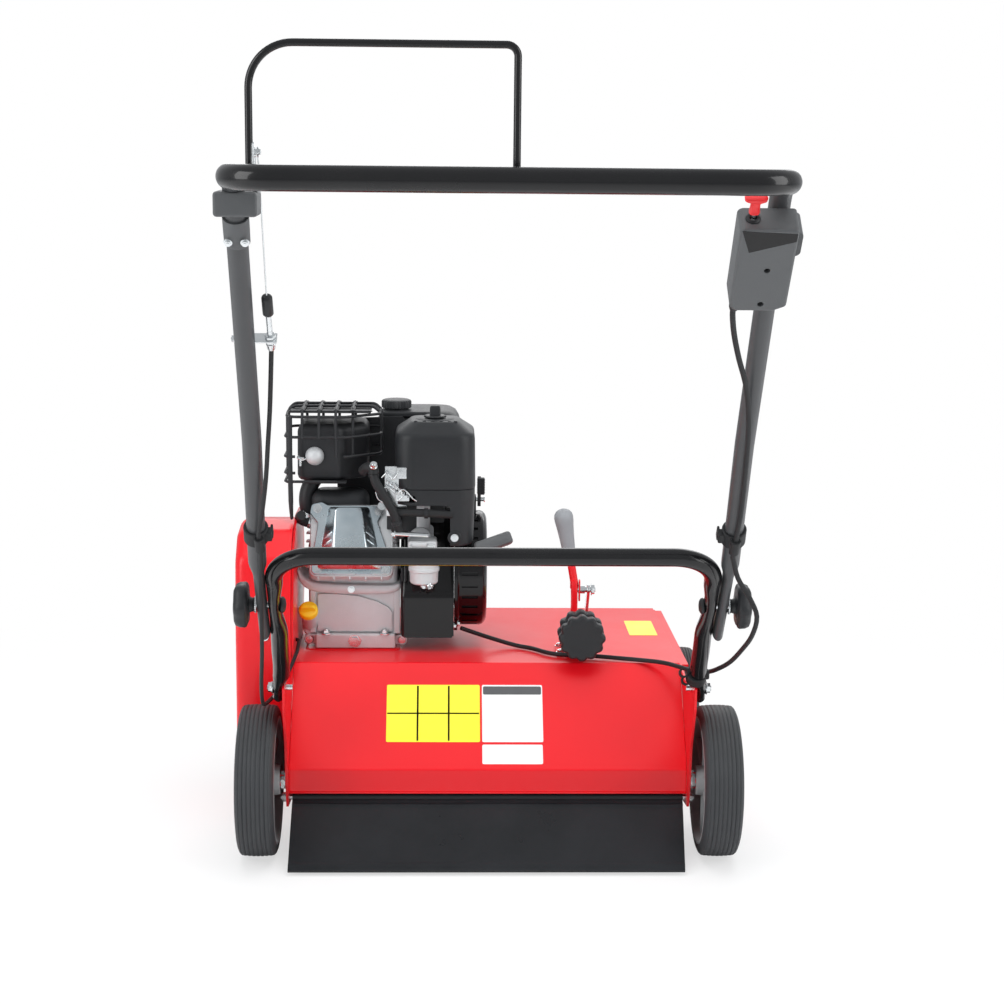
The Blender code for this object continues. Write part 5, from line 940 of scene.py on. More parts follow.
collar = prism(collar, -15.2, 14.8, "XY")
collar = cut(in_slope(collar), bore)
place("switch_case", together(shell, collar), "upper_handle", GREY, "switch_box", bevel=0.8)
wedge = prism([(226.5, 658), (281, 655), (281, 645), (236, 630)], BOX_FACE - 32.0, BOX_FACE - 31.5, "XY")
place("switch_lid", in_slope(wedge), "upper_handle", GLOSS)
washer = in_slope(turned([(0, 7.6), (1.0, 7.4), (2.2, 5.8), (2.2, 4.0), (-0.5, 4.0), (-0.5, 7.6)],
                         (TOGGLE_X, 660.1, TOGGLE_RISE), (0, 1, 0), 36, ring=True))
place("toggle_washer", washer, "upper_handle", PLASTIC)
# Flat black discs near the bottom of each screw well are painted shade, not a real part.
well_shade_discs = [turned([(0, 3.1), (0.4, 3.1)], (x, d, BOX_FACE - 27), (0, 0, 1), 24) for x, d in SCREW_WELLS]
place("screw_well_shade", in_slope(together(*well_shade_discs)), "upper_handle", DARK)
gland = in_slope(turned([(-8, 4.2), (-4, 5.2), (2, 5.2)], (232, 550, BOX_FACE - 20), (0, 1, 0), 28))
place("lead_gland", gland, "upper_handle", PLASTIC)
stem_up = Matrix.Translation(along_leg(656, TOGGLE_RISE, TOGGLE_X)) @ frame_of(UP_LEG)
place("toggle_stem", moved(turned([(-4, 3.3), (-1, 5.3), (3, 4.4), (5, 2.3), (14, 2.3)], sides=28), stem_up),
      "toggle", ZINC)
cap_rings = []
for h, w, t in ((12.5, 5.2, 4.6), (14, 5.4, 5.0), (24, 4.6, 4.0), (26.5, 6.5, 4.2), (28.6, 11.0, 4.8),
                (31.2, 11.4, 4.8), (32, 10.4, 4.0)):
    outline = rounded_outline([(-w, -t), (w, -t), (w, t), (-w, t)], min(w, t) * 0.9, 6)
    cap_rings.append([(x, y, h) for x, y in outline])
place("toggle_cap", moved(skin(cap_rings), stem_up), "toggle", SCARLET, "toggle_switch", angle=50.0)
print("switch box wells", len(well_shade_discs))

# %% [markdown]
# ## Wheels
# The tyres are solid rubber with seven ribs round the tread and soft shoulders. The hub is grey plastic with
# a raised rim ring, a deep dish and six webs. A turned profile makes the tyre, and the ring tree sets the
# webs.

# %% Tyre profile
PLATE_X = 268.0
WHEEL_IN = PLATE_X + 9.5
REAR_R, REAR_WIDE = 100.0, 51.0
FRONT_R, FRONT_WIDE, FRONT_Y = 90.0, 41.0, 372.0
RIBS, WEBS, BORE_R = 7, 6, 6.4


def tread(width, radius):
    """Profile of a tyre from one bead to the other, as (across, radius) points."""
    seat = radius - 15.2
    shoulder = [(0.4, seat), (0.2, seat + 3), (0.9, radius - 7.6), (2.6, radius - 3.6), (5.0, radius - 1.4)]
    inner = 6.2
    pitch = (width - 2 * inner) / RIBS
    top = []
    for k in range(RIBS):
        start = inner + k * pitch
        crown = 1.1 * (1 - ((k + 0.5) / RIBS * 2 - 1) ** 2)
        for share, drop in ((0.04, 2.2), (0.24, 1.15), (0.76, 1.15), (0.96, 2.2)):
            top.append((start + share * pitch, radius - drop + crown))
    return shoulder + top + [(width - a, r) for a, r in reversed(shoulder)]


def wheel(word, side, width, radius, y):
    """Tyre, hub, rim ring and webs of one wheel that stands on the floor."""
    at_axle = Matrix.Translation((0, y, radius))
    tyre = turned(tread(width, radius), (WHEEL_IN, 0, 0), (1, 0, 0), 128, ring=True)
    place("tyre_" + word, sided(moved(tyre, at_axle), side), "wheel_" + word, TREAD, "tyre_" + word,
          angle=50.0)
    seat = radius - 15.4
    half = width / 2
    profile = [(0.6, seat), (width - 0.6, seat), (width - 0.2, seat - 1.2), (width - 0.2, seat - 3.4),
               (width - 3, seat - 5.4), (half + 7, seat - 10), (half + 3, seat - 12), (half + 3, 23),
               (half + 6, 21), (width - 1.6, 19.5), (width - 1, 18.8), (width - 1, BORE_R), (-2, BORE_R),
               (-2, 18.4), (-1.2, 19.4), (half - 6, 21), (half - 3, 23), (half - 3, seat - 12),
               (half - 7, seat - 10), (3, seat - 5.4), (0.2, seat - 3.4), (0.2, seat - 1.2)]
    hub = turned(profile, (WHEEL_IN, 0, 0), (1, 0, 0), 96, ring=True)
    web = block(half - 19, half + 19, -1.4, 1.4, 20, seat - 10.5, 0.7, 2)
    hub = together(hub, ring_of(web, WEBS, (WHEEL_IN, 0, 0), (1, 0, 0), HUB))
    place("rim_" + word, sided(moved(hub, at_axle), side), "wheel_" + word, HUB, "rim_" + word,
          angle=32.0)


# %% Four wheels
for side, word in SIDES:
    wheel("rear_" + word, side, REAR_WIDE, REAR_R, 0.0)
    wheel("front_" + word, side, FRONT_WIDE, FRONT_R, FRONT_Y)
    collar = together(rod((side * 268.4, 0, REAR_R), (side * 270.2, 0, REAR_R), 12.0, 32),
                      turned([(0, 10.8), (0.6, 11.6), (4.4, 11.6), (5, 10.8)], (side * 270.2, 0, REAR_R),
                             (side, 0, 0), 6))
    place("rear_nut_" + word, collar, "chassis", ZINC, bevel=0.3)
    bolts("rear_axle_end_" + word, [((side * 330.0, 0, REAR_R), (side, 0, 0))], "chassis", 7.0, 1.6, 11.6)
print("wheels", len(SIDES) * 2)

# %% [markdown]
# ## Deck
# The deck is one folded sheet with soft bends between two side plates. A rounded profile offset by the
# sheet's thickness gives the bends their true inner and outer radii. The engine stands on a pressed
# platform, and a slot lets the link through. The stickers are left blank.

# %% Folded sheet
DECK_LINE = [(5, 79), (5, 112), (112, 230), (473, 218), (545, 128), (545, 84)]
PANEL_LOW, PANEL_HIGH, TOP_FRONT = DECK_LINE[1:4]
SHEET, BEND_R = 2.5, 5.0
SHELL_X = 264.7


def top_at(y):
    """Height of the deck's top, which falls a little towards the front."""
    fall = PANEL_HIGH[1] - TOP_FRONT[1]
    return PANEL_HIGH[1] - fall * (y - PANEL_HIGH[0]) / (TOP_FRONT[0] - PANEL_HIGH[0])


def offset_path(points, distance):
    """The same open path moved to its right by a distance."""
    moved_points = []
    for i, p in enumerate(points):
        ways = [(Vector(points[k + 1]) - Vector(points[k])).normalized() for k in (i - 1, i)
                if 0 <= k < len(points) - 1]
        normals = [Vector((w.y, -w.x)) for w in ways]
        mean = sum(normals, Vector((0, 0))).normalized()
        moved_points.append(tuple(Vector(p) + mean * distance / mean.dot(normals[0])))
    return moved_points


def bent_line(points, radius):
    """A line seen from the side, with its corners bent."""
    return [(p.x, p.y) for p in rounded_path([(*p, 0) for p in points], [radius] * (len(points) - 2), 6)]


outer_line = bent_line(DECK_LINE, BEND_R)
inner_line = bent_line(offset_path(DECK_LINE, SHEET), BEND_R - SHEET)
shell = prism(outer_line + inner_line[::-1], -SHELL_X, SHELL_X)
slot_outline = rounded_outline([(133, 204), (151, 204), (151, 282), (133, 282)], 6)
shell = cut(shell, prism(slot_outline, 205, 240, "XY"))
place("deck_sheet", shell, "chassis", RED, "deck_shell", bevel=0.5, angle=24.0)
rings = []
for rise, grow, corner in ((-1.0, 3.5, 10), (0.2, 3.2, 9.5), (0.7, 2.2, 9), (1.0, 0.6, 8), (1.05, -1.2, 7)):
    outline = rounded_outline([(-251 - grow, 188 - grow), (-124 + grow, 188 - grow),
                               (-124 + grow, 340 + grow), (-251 - grow, 340 + grow)], corner)
    rings.append([(x, y, top_at(y) + rise * (1 + (y - 184) / 32)) for x, y in outline])
place("engine_platform", skin(rings), "chassis", RED, angle=40.0)
place("deck_hem", block(-SHELL_X, SHELL_X, 3.4, 5.2, 79.2, 82.2, 0.5, 2), "chassis", RED)
for side, word in SIDES:
    dress("side_plate_" + word, RED)
print("deck length", round(DECK_LINE[-1][0] - DECK_LINE[0][0]), "mm")


# %% Blank stickers
PANEL_LENGTH = 159
LIFT, STICKER_T, TOP_STICKER_T = 0.02, 0.25, 0.3


def on_panel(x, t, lift):
    """A point on the sloping rear panel: t runs from its lower bend to its upper one."""
    low, high = Vector(PANEL_LOW), Vector(PANEL_HIGH)
    way = (high - low).normalized()
    spot = low.lerp(high, t) + Vector((-way.y, way.x)) * lift
    return (x, spot.x, spot.y)


def panel_sticker(name, x0, x1, t0, t1, lift, thick, finish_used):
    """A thin blank plate on the rear panel, from x0 to x1 and between two shares of its slope."""
    low, high = t0 * PANEL_LENGTH, t1 * PANEL_LENGTH
    outline = rounded_outline([(x0, low), (x1, low), (x1, high), (x0, high)], 2.0, 4)
    rings = [[on_panel(x, t / PANEL_LENGTH, lift + h) for x, t in outline] for h in (LIFT, thick)]
    place(name, skin(rings), "chassis", finish_used)


panel_sticker("sticker_yellow", -137, -11, 0.253, 0.786, 0.0, STICKER_T, AMBER)
panel_sticker("sticker_white", -8, 74, 0.253, 0.786, 0.0, STICKER_T, PAPER)
panel_sticker("sticker_white_low", -8, 73, 0.052, 0.23, 0.0, STICKER_T, PAPER)
panel_sticker("sticker_header", -6.5, 72.5, 0.695, 0.772, STICKER_T, 0.08, GREY)
for k in (1, 2):
    x = -137 + 126 * k / 3
    panel_sticker(f"sticker_rule_{k}", x - 0.8, x + 0.8, 0.265, 0.775, STICKER_T, 0.05, DARK)
panel_sticker("sticker_rule_mid", -136, -12, 0.512, 0.525, STICKER_T, 0.05, DARK)
sticker_edge = rounded_outline([(211, 379), (252, 379), (252, 282), (211, 282)], 3)
top_sticker = skin([[(x, y, top_at(y) + lift) for x, y in sticker_edge] for lift in (LIFT, TOP_STICKER_T)])
place("sticker_top", top_sticker, "chassis", AMBER)

# %% [markdown]
# ## Rear flap
# A thick rubber mat hangs from a rod and trails on the ground. Real rubber is never flat, so the grid gets a
# slow wave across, and a thin rib near its top and bottom edges.

# %% Flap
FLAP_TOP = Vector((12.0, 72.0))
FLAP_SLOPE = math.radians(34.0)
flap_down = Vector((-math.cos(FLAP_SLOPE), -math.sin(FLAP_SLOPE)))
flap_out = Vector((-math.sin(FLAP_SLOPE), math.cos(FLAP_SLOPE)))
FLAP_X, FLAP_LENGTH, FLAP_HALF = 260.7, 119.4, 2.0
MAT_RIBS, RIB_WIDTH = ((15, 1.5), (111, 1.3)), 1.9
ACROSS, ALONG = 72, 40
FLOOR_GAP = 0.35


def flap_point(i, share, rise):
    """A point of the mat: column i across, a share of its length, and rise to its outer face."""
    x = -FLAP_X + (2 * FLAP_X - 6.0 * share) * i / ACROSS
    reach = share * FLAP_LENGTH
    wave = 1.1 * math.sin(x * 0.021 + 0.6) * math.sin(math.pi * share) + 0.5 * math.sin(x * 0.047 + share * 5)
    ribs = [height * math.exp(-((reach - at) / RIB_WIDTH) ** 2) for at, height in MAT_RIBS]
    if rise > 0:
        rise += sum(ribs)
    rise += wave * min(1, share * 5) * (1 - share ** 6)
    spot = FLAP_TOP + flap_down * reach + flap_out * rise
    return (x, spot.x, max(spot.y, FLOOR_GAP))


rings = []
for i in range(ACROSS + 1):
    upper = [flap_point(i, k / ALONG, FLAP_HALF) for k in range(ALONG + 1)]
    lower = [flap_point(i, k / ALONG, -FLAP_HALF) for k in range(ALONG, -1, -1)]
    rings.append(upper + lower)
eye = turned([(0, 3.9), (0, 5.7), (2 * FLAP_X, 5.7), (2 * FLAP_X, 3.9)], (-FLAP_X, *FLAP_TOP), (1, 0, 0), 32,
             ring=True)
MAT = finish("flap_rubber", (0.005, 0.0055, 0.006), (0.02, 0.022, 0.026), 0.38, shine=0.2, coat=0.2,
             coat_rough=0.25, scale=240.0, depth=0.3, tone_scale=7.0, rough_swing=0.16)
place("flap_mat", together(skin(rings), eye), "flap", MAT, "rear_flap", angle=40.0)
dress("flap_rod", ZINC)
for side, word in SIDES:
    bolts("flap_nut_" + word, [((side * 268.3, *FLAP_TOP), (side, 0, 0))], "chassis", 6.2, 4.4, 7.4)
print("flap faces", (ACROSS + 1) * ALONG * 2)

# %% [markdown]
# ## Belt cover
# The cover is a pressed box whose outer edge is rounded all round. It is a loft: the same outline repeated
# inwards as the surface turns from the wall to the outer face. Six sided nuts hold the rear axle beside it.

# %% Belt cover
COVER_OUTLINE = [(104, 50), (106, 300), (116, 372), (150, 406), (204, 412), (286, 398), (334, 362),
                 (340, 300), (262, 180), (262, 50)]
outline = rounded_outline(COVER_OUTLINE, [17, 60, 26, 24, 60, 40, 40, 40, 14, 17], 7)
edge_turn = [(268.4, 0.0), (330.0, 0.0), *rolled(331, 13.6)[1:], (344.75, 15.6)]
cover = inset_skin(outline, [(-x, i) for x, i in edge_turn], "YZ")
place("cover_shell", cover, "chassis", RED, "belt_cover", angle=45.0)
bolts("cover_screws", [((-300, 341 - 0.6, 340), (0, 1, 0.05)), ((-300, 262.2, 110), (0, 1, 0)),
                       ((-300, 103.6, 120), (0, -1, 0)), ((-304, 103.9, 268), (0, -1, 0))],
      "chassis", 4.0, 2.0, 6.0)
print("belt cover points", len(outline))

# %% Rear axle nuts
nut_profile = [(0, 12.2), (0.8, 13.0), (5.2, 13.0), (6.0, 12.2)]
nuts = [turned(nut_profile, (side * 269.3, 0, REAR_R), (side, 0, 0), 6, phase=0.3) for side, word in SIDES]
place("axle_nuts", together(*nuts), "chassis", ZINC, bevel=0.3)
print("axle nuts", len(nuts))

# %% [markdown]
# ## Knobs
# Star knobs, the depth handwheel and the caps are moulded plastic with soft lobes. Their outlines are one
# wavy circle, lofted through a few depths so that every edge is round. Two clips hold the cords to the legs.

# %% Lobed knobs
def lobed(count, radius, depth, steps=8, sharpness=1.0):
    """A circle of points whose radius dips between lobes."""
    points = []
    for k in range(count * steps):
        a = math.tau * k / (count * steps)
        dip = ((1 - math.cos(count * a)) / 2) ** sharpness
        points.append(((radius - depth * dip) * math.cos(a), (radius - depth * dip) * math.sin(a)))
    return points


def knob(levels, count, depth, steps=8, sharpness=1.0):
    """Loft a lobed outline through (height, radius, share of the lobes) levels along +Z."""
    return skin([[(x, y, h) for x, y in lobed(count, r, depth * s, steps, sharpness)] for h, r, s in levels])


for side, word in SIDES:
    face = side * (OUTER_FACE + 0.3)
    head = knob([(9.5, 24, 1), (11, 27.6, 1), (13, 29, 1), (20, 28.6, 1), (24.5, 26.5, 1), (26.6, 22, 1),
                 (27, 12, 0.4)], 6, 2.8)
    neck = turned([(0.2, 9.4), (2, 9.4), (4, 8.4), (8, 10), (10, 17)], sides=40)
    teeth = ring_of(block(7.6, 10.4, -0.5, 0.5, 0.0, 1.6), 24, (0, 0, 0), (0, 0, 1), ZINC)
    seat = Matrix.Translation((face, *FOLD.yz)) @ frame_of((side, 0, 0))
    place("star_grip_" + word, moved(together(head, neck), seat), "knob_" + word, PLASTIC,
          "star_knob_" + word, angle=42.0)
    place("toothed_washer_" + word, moved(together(turned([(0, 10), (1.2, 10)], sides=36), teeth), seat),
          "knob_" + word, ZINC)

SPINDLE_X, SPINDLE_Z, LOBES, THREAD_R = 128, 270, 12, 4.9
wheel_seat = Matrix.Translation((SPINDLE_X, 134, SPINDLE_Z)) @ frame_of((0, -1, 0))
discs = knob([(0, 26, 1), (1.4, 30.4, 1), (4, 32, 1), (15, 32, 1), (18, 30.6, 1), (19.6, 26, 1), (21, 21, 0),
              (28, 20.5, 0), (29.6, 26, 1), (31.4, 30.6, 1), (34, 32, 1), (45, 32, 1), (47.4, 30.8, 1),
              (48.6, 28.6, 1), (48.9, 26, 0.6), (48.2, 20, 0), (47.6, 8, 0)], LOBES, 3.2, 8, 1.6)
spindle = rod((SPINDLE_X, 133, SPINDLE_Z), (SPINDLE_X, 155, SPINDLE_Z), THREAD_R, 24, 0.5)
turns = [turned([(0, THREAD_R), (0.5, 5.4), (1.0, THREAD_R)], (SPINDLE_X, 134.5 + 1.6 * k, SPINDLE_Z),
                (0, 1, 0), 24) for k in range(12)]
place("handwheel", moved(discs, wheel_seat), "depth_handwheel", PLASTIC, "depth_handwheel", angle=40.0)
place("handwheel_spindle", together(spindle, *turns), "depth_handwheel", ZINC)
print("handwheel lobes", LOBES)

# %% Cable clips
CLIP_AT, CLIP_HALF = 140.0, 11
LEAD_R, CABLE_R, WIRE_R = 3.0, 2.6, 0.8


def clip(word, side, cord_x, cord_rise, cord_r):
    """A collar snapped on the leg, with a smaller loop for the cord and a hooked tongue."""
    low, high = (along_leg(d, 0, leg_x(d)) for d in (CLIP_AT - CLIP_HALF, CLIP_AT + CLIP_HALF))
    way = high - low
    body = turned([(0, 13.6), (0.8, 14.6), (way.length - 0.8, 14.6), (way.length, 13.6)], low, way, 40)
    cord_low = along_leg(CLIP_AT - CLIP_HALF, cord_rise, cord_x)
    loop = turned([(0, cord_r + 2.6), (0.6, cord_r + 3.2), (21.4, cord_r + 3.2), (22, cord_r + 2.6)],
                  cord_low, UP_LEG, 32)
    tongue = in_slope(block(leg_x(CLIP_AT) - 19, leg_x(CLIP_AT) - 9, CLIP_AT - 8, CLIP_AT + 8, -8, 3, 2.0))
    hook = in_slope(block(leg_x(CLIP_AT) - 20, leg_x(CLIP_AT) - 17, CLIP_AT - 8, CLIP_AT + 8, -3, 7, 1.2))
    bore = turned([(-5, TUBE_R + 0.3), (way.length + 5, TUBE_R + 0.3)], low, way, 40)
    hole = turned([(-5, cord_r + 0.3), (27, cord_r + 0.3)], cord_low, UP_LEG, 24)
    shape = cut(cut(body, loop, tongue, hook, operation="UNION"), bore, hole)
    place("clip_" + word, sided(shape, side), "upper_handle", BOOT, "cable_clip_" + word, bevel=0.4,
          slot="black_plastic")


clip("right", RIGHT, 281.0, -18.5, LEAD_R)
clip("left", LEFT, 276.0, -18.0, CABLE_R)
print("clips", CLIP_AT, "mm up from the fold")

# %% [markdown]
# ## Lever, link and axle
# The work lever lowers the rotor. A red bar stands in a folded bracket and ends in a swelling rubber grip,
# and a zinc link goes down through the deck to the cranked front axle.

# %% Work lever
LEVER = Vector((124, 185, 240))
LINK_X, LINK_TOP, LINK_LOW = 142.0, Vector((185, 316)), Vector((300, 172))
PIVOT_R, PLATE_Z = 4.9, 229.1
tip = LEVER + Vector((-18, 0, 178))
stem = []
for z, s in ((241, 0), (300, 0), (322, -0.5), (330, -1.6)):
    outline = rounded_outline([(118 + s, 177.5), (127 + s, 177.5), (127 + s, 192.5), (118 + s, 192.5)], 2.5)
    stem.append([(x, y, z) for x, y in outline])
half_eye = Vector((10.7, 0, 0))
bar = together(rod(LEVER - half_eye, LEVER + half_eye, 10.0, 32, 0.8), skin(stem),
               sweep([(122.5, 185, 318), (121.8, 185, 328), tip], [6.2, 5.6, 5.5], 28))
place("lever_bar", bar, "work_lever", RED, "work_lever", bevel=0.6)
side_plate = prism(rounded_outline([(178, 300), (192, 300), (191, 330), (179, 330)], 4), 128.4, 130.4)
place("lever_lug", side_plate, "work_lever", RED)
link_pin = together(rod((126, *LINK_TOP), (150, *LINK_TOP), 3.9, 24),
                    rod((127.5, *LINK_TOP), (137, *LINK_TOP), 5.6, 24))
place("link_pin", link_pin, "work_lever", ZINC)
bolts("link_nut", [((146.2, *LINK_TOP), (1, 0, 0))], "work_lever", 6.6, 4.4, 8.0)
up = (tip - LEVER - Vector((-1.5, 0, 80))).normalized()
profile = [(0, 7.4), (1.4, 8.6), (3, 9.0), (10, 9.6), (24, 10.6), (38, 12.0), (46, 13.1), (52, 13.3),
           (56.5, 12.2), (60, 9.6), (62.2, 6.0), (63.3, 2.2), (63.5, 0.01)]
place("grip_rubber", turned(profile, tip - up * 50, up, 48), "work_lever", GRIP, "lever_grip", angle=60.0)
bracket = [block(x0, x1, y0, y1, PLATE_Z, top, bevel) for x0, x1, y0, y1, top, bevel in (
    (97, 113, 150, 203, 232, 0.6), (110, 138, 150, 170, 232, 0.6), (110, 113, 160, 200, 256, 1.2),
    (135, 138, 160, 200, 256, 1.2), (110, 138, 150, 153, 282, 1.2))]
place("lever_stand", together(*bracket), "chassis", RED, "lever_bracket", bevel=0.4)
place("lever_pivot", rod((107.2, *LEVER.yz), (141.2, *LEVER.yz), PIVOT_R, 24, 0.6), "chassis", ZINC)
bolts("stand_bolts", [((103, 160, 232), (0, 0, 1)), ((103, 194, 232), (0, 0, 1))], "chassis", 4.8, 3.6, 6.6)
nut = turned([(0, 8.6), (0.6, 9.2), (5, 9.2), (5.6, 8.6)], (SPINDLE_X, 153.1, SPINDLE_Z), (0, 1, 0), 6)
nut_bore = rod((SPINDLE_X, 150, SPINDLE_Z), (SPINDLE_X, 162, SPINDLE_Z), 5.6, 24)
place("spindle_nut", cut(nut, nut_bore), "chassis", ZINC, bevel=0.3)
print("lever height", round(tip.z), "mm")

# %% Link and front axle
on = (LINK_LOW - LINK_TOP).normalized()
square = Vector((-on.y, on.x)) * 6.5
corners = [LINK_TOP + square - on * 7, LINK_TOP - square - on * 7, LINK_LOW - square + on * 7,
           LINK_LOW + square + on * 7]
link = prism(rounded_outline([tuple(c) for c in corners], 6), LINK_X - 2, LINK_X + 2)
link = cut(link, *[rod((LINK_X - 9, *p), (LINK_X + 9, *p), 4.25, 24) for p in (LINK_TOP, LINK_LOW)])
place("link_bar", link, "link", ZINC, "link_rod", bevel=0.5)
dress("front_axle", ZINC)
for side, word in SIDES:
    bolts("front_axle_end_" + word, [((side * (WHEEL_IN + FRONT_WIDE + 0.6), FRONT_Y, FRONT_R),
                                      (side, 0, 0))], "front_axle", 7.0, 2.2, 10.8)
for node, used in (("rotor_shaft", STEEL), ("bearing_left", STEEL), ("bearing_right", STEEL),
                   ("drive_belt", BOOT), ("drive_pulley", STEEL), ("driven_pulley", STEEL),
                   ("idler_pulley", STEEL), ("idler_arm", ZINC), ("crankshaft", STEEL), ("flywheel", CAST)):
    dress(node, used)
print("link between its pins", round((LINK_LOW - LINK_TOP).length), "mm")

# %% [markdown]
# ## Engine block
# The engine is a small four stroke with its cylinder leaning back at 26 degrees. The block is one aluminium
# casting: a case with a foot, a flared collar, a finned cylinder and a head. Separate soft-edged solids are
# enough here, because the parts of a casting grow into each other. A painted shroud covers its far side.

# %% The cylinder's own directions
CRANK = Vector((0, 262, 330))
LEAN = math.radians(26)
UP_CYL = Vector((0, -math.cos(LEAN), math.sin(LEAN)))
OFF_CYL = Vector((0, math.sin(LEAN), math.cos(LEAN)))
EAST = Vector((1, 0, 0))
EDGE_LOW = 1.5


def tilted(u, v, x=0.0):
    """A point in the cylinder's frame: u from the crank along it, v square to it."""
    return CRANK + UP_CYL * u + OFF_CYL * v + EAST * x


def tilted_skin(levels):
    """Loft (u, outline of x and v) levels."""
    return skin([[tilted(u, v, x) for x, v in outline] for u, outline in levels])


def box_outline(x0, x1, y0, y1, corner=0.0):
    """A rectangle, with round corners where a radius is given."""
    corners = [(x0, y0), (x1, y0), (x1, y1), (x0, y1)]
    return rounded_outline(corners, corner, 5) if corner else corners


def rounded_box(x0, x1, y0, y1, z0, z1, corner, edge_top):
    """A box with round upright edges and softly rolled top and bottom edges."""
    rings = []
    for z, inset in [(z0, EDGE_LOW), (z0 + EDGE_LOW, 0), *rolled(z1 - edge_top, edge_top)]:
        outline = box_outline(x0 + inset, x1 - inset, y0 + inset, y1 - inset,
                              max(corner - inset * 0.6, EDGE_LOW))
        rings.append(flat_ring(outline, z))
    return skin(rings)


def tapered(levels, corner):
    """Loft rectangles of (height, half length, half width) about the origin."""
    return skin([flat_ring(box_outline(-a, a, -b, b, corner), h) for h, a, b in levels])


# %% Case, foot and collar
case = block(-250, -125, 198, 330, 244, 380, 7.0, 4)
panel_top = [(-237, 306), (-210, 306), (-180, 303), (-155, 296), (-138, 287), (-133, 280)]
panel = prism(rounded_outline([(-237, 252), (-133, 252), *panel_top[::-1]], 3, 3), 194.6, 200, "XZ")
frame_left = block(-248, -240, 193.5, 200, 250, 318, 1.5)
frame_right = block(-130, -122, 193, 210, 250, 316)
foot = block(-240, -128, 187, 336, 229.2, 250, 2.5)
lugs = [rod((-249, 194, 241), (-249, 204, 241), 7.5, 28, 1),
        rod((-119, 194, 240), (-119, 204, 240), 7.5, 28, 1),
        block(-250, -236, 194, 204, 234, 248, 2),
        block(-130, -119, 194, 204, 233, 247, 2)]
place("case", together(case, panel, frame_left, frame_right, foot, *lugs), "chassis", CAST,
      "crankcase", bevel=0.8)
collar_line = [(-262, 342), (-258, 333), (-248, 326), (-228, 322.6), (-190, 321), (-150, 320.6), (-132, 321),
               (-122, 324)]
collar_low = [(-119, 317), (-127, 310), (-148, 306.5), (-190, 306), (-228, 308), (-250, 313), (-262, 324),
              (-266, 340)]
outline = [(p.x, p.y) for p in smooth([(*p, 0) for p in collar_line], 3)]
outline += [(p.x, p.y) for p in smooth([(*p, 0) for p in collar_low], 3)]
collar = inset_skin(outline, [(190.5, 2.6), (191.6, 1.0), (194, 0), (330, 0), (333, 1)], "XZ")
place("collar", collar, "chassis", CAST, angle=50.0)
bolts("foot_nuts", [((x, y, 250.2), (0, 0, 1)) for y in (191, 326) for x in (-225, -143.5)],
      "chassis", 5.4, 5.0, 8.0)
bolts("drain_plug", [((-185, 186.8, 240.5), (0, -1, 0))], "chassis", 6.2, 4.0, 9.0)
bolts("case_screws", [((-249, 193.8, 241), (0, -1, 0)), ((-119, 193.8, 240), (0, -1, 0)),
                      ((-190, 190.3, 314), (0, -1, 0))], "chassis", 3.6, 2.6, 5.0)
print("case lugs", len(lugs))

# %% Cylinder, fins and head
FINS, FIN_PITCH = 7, 8.2
barrel = box_outline(-232, -143, -26, 54, 6)
cylinder = tilted_skin([(12, barrel), (74, barrel)])
rim, wide = box_outline(-242, -136, -33, 61, 5), box_outline(-243, -135, -34, 62, 5)
fins = []
for k in range(FINS):
    u = 16 + k * FIN_PITCH
    fins.append(tilted_skin([(u, rim), (u + 1, wide), (u + 2.6, wide), (u + 3.4, rim)]))
wide = box_outline(-247, -131, -36, 68, 9)
head = tilted_skin([(72, box_outline(-245, -133, -35, 66, 9)), (74, wide), (88, wide),
                    (91, box_outline(-246, -132, -35, 67, 9))])
ribs = [tilted_skin([(76, box_outline(x, x + 2.4, -39, -35)), (90, box_outline(x, x + 2.4, -39, -35))])
        for x in (-236, -214, -192, -170, -148)]
ears = [tilted_skin([(78, box_outline(-253, -244, v, v + 3)), (88, box_outline(-250, -244, v, v + 3))])
        for v in (-20, -8, 4, 16, 28)]
ears += [tilted_skin([(78, box_outline(-134, -126, v, v + 3)), (88, box_outline(-134, -129, v, v + 3))])
         for v in (-20, -8, 4, 16, 28, 40)]
place("cylinder", together(cylinder, *fins, head, *ribs, *ears), "chassis", CAST, bevel=0.6)
CAP_SEAT = Vector((-249, 184, 282))
CAP_AXIS = Vector((-1, -12, 12)).normalized()
neck_profile = [(-40, 13), (-22, 12), (-8, 11.4), (-4, 12.6), (-0.6, 12.6), (-0.2, 11.8)]
neck = turned(neck_profile, CAP_SEAT, CAP_AXIS, 40)
boss = rod((-253, 206, 248), (-241, 206, 262), 10.0, 32, 1)
place("filler_neck", together(neck, boss), "chassis", CAST)
post = block(-144, -127, 308, 326, 375, 469.6, 1.5)
port = turned([(50, 17), (60, 17), (61, 19), (66, 19)], tilted(45, 0, -214), OFF_CYL, 36)
place("tank_post", together(post, port), "chassis", CAST)
SHROUD = finish("shroud", (0.03, 0.032, 0.035), (0.05, 0.052, 0.056), 0.5, metallic=0.3,
                scale=600.0, depth=0.25)
dome = rounded_box(-247, -166, 214, 262, 392, 449, 16, 15)
place("cylinder_shroud", dome, "chassis", SHROUD, angle=50.0)
print("fins", len(fins))

# %% [markdown]
# ## Valve cover and plug
# The cover is drawn from thin zinc-plated sheet. A flat flange with ears carries the screws, and a drafted
# dome rises inside it with four small raised beads on each flank. The oil cap and the spark plug stand
# beside it.

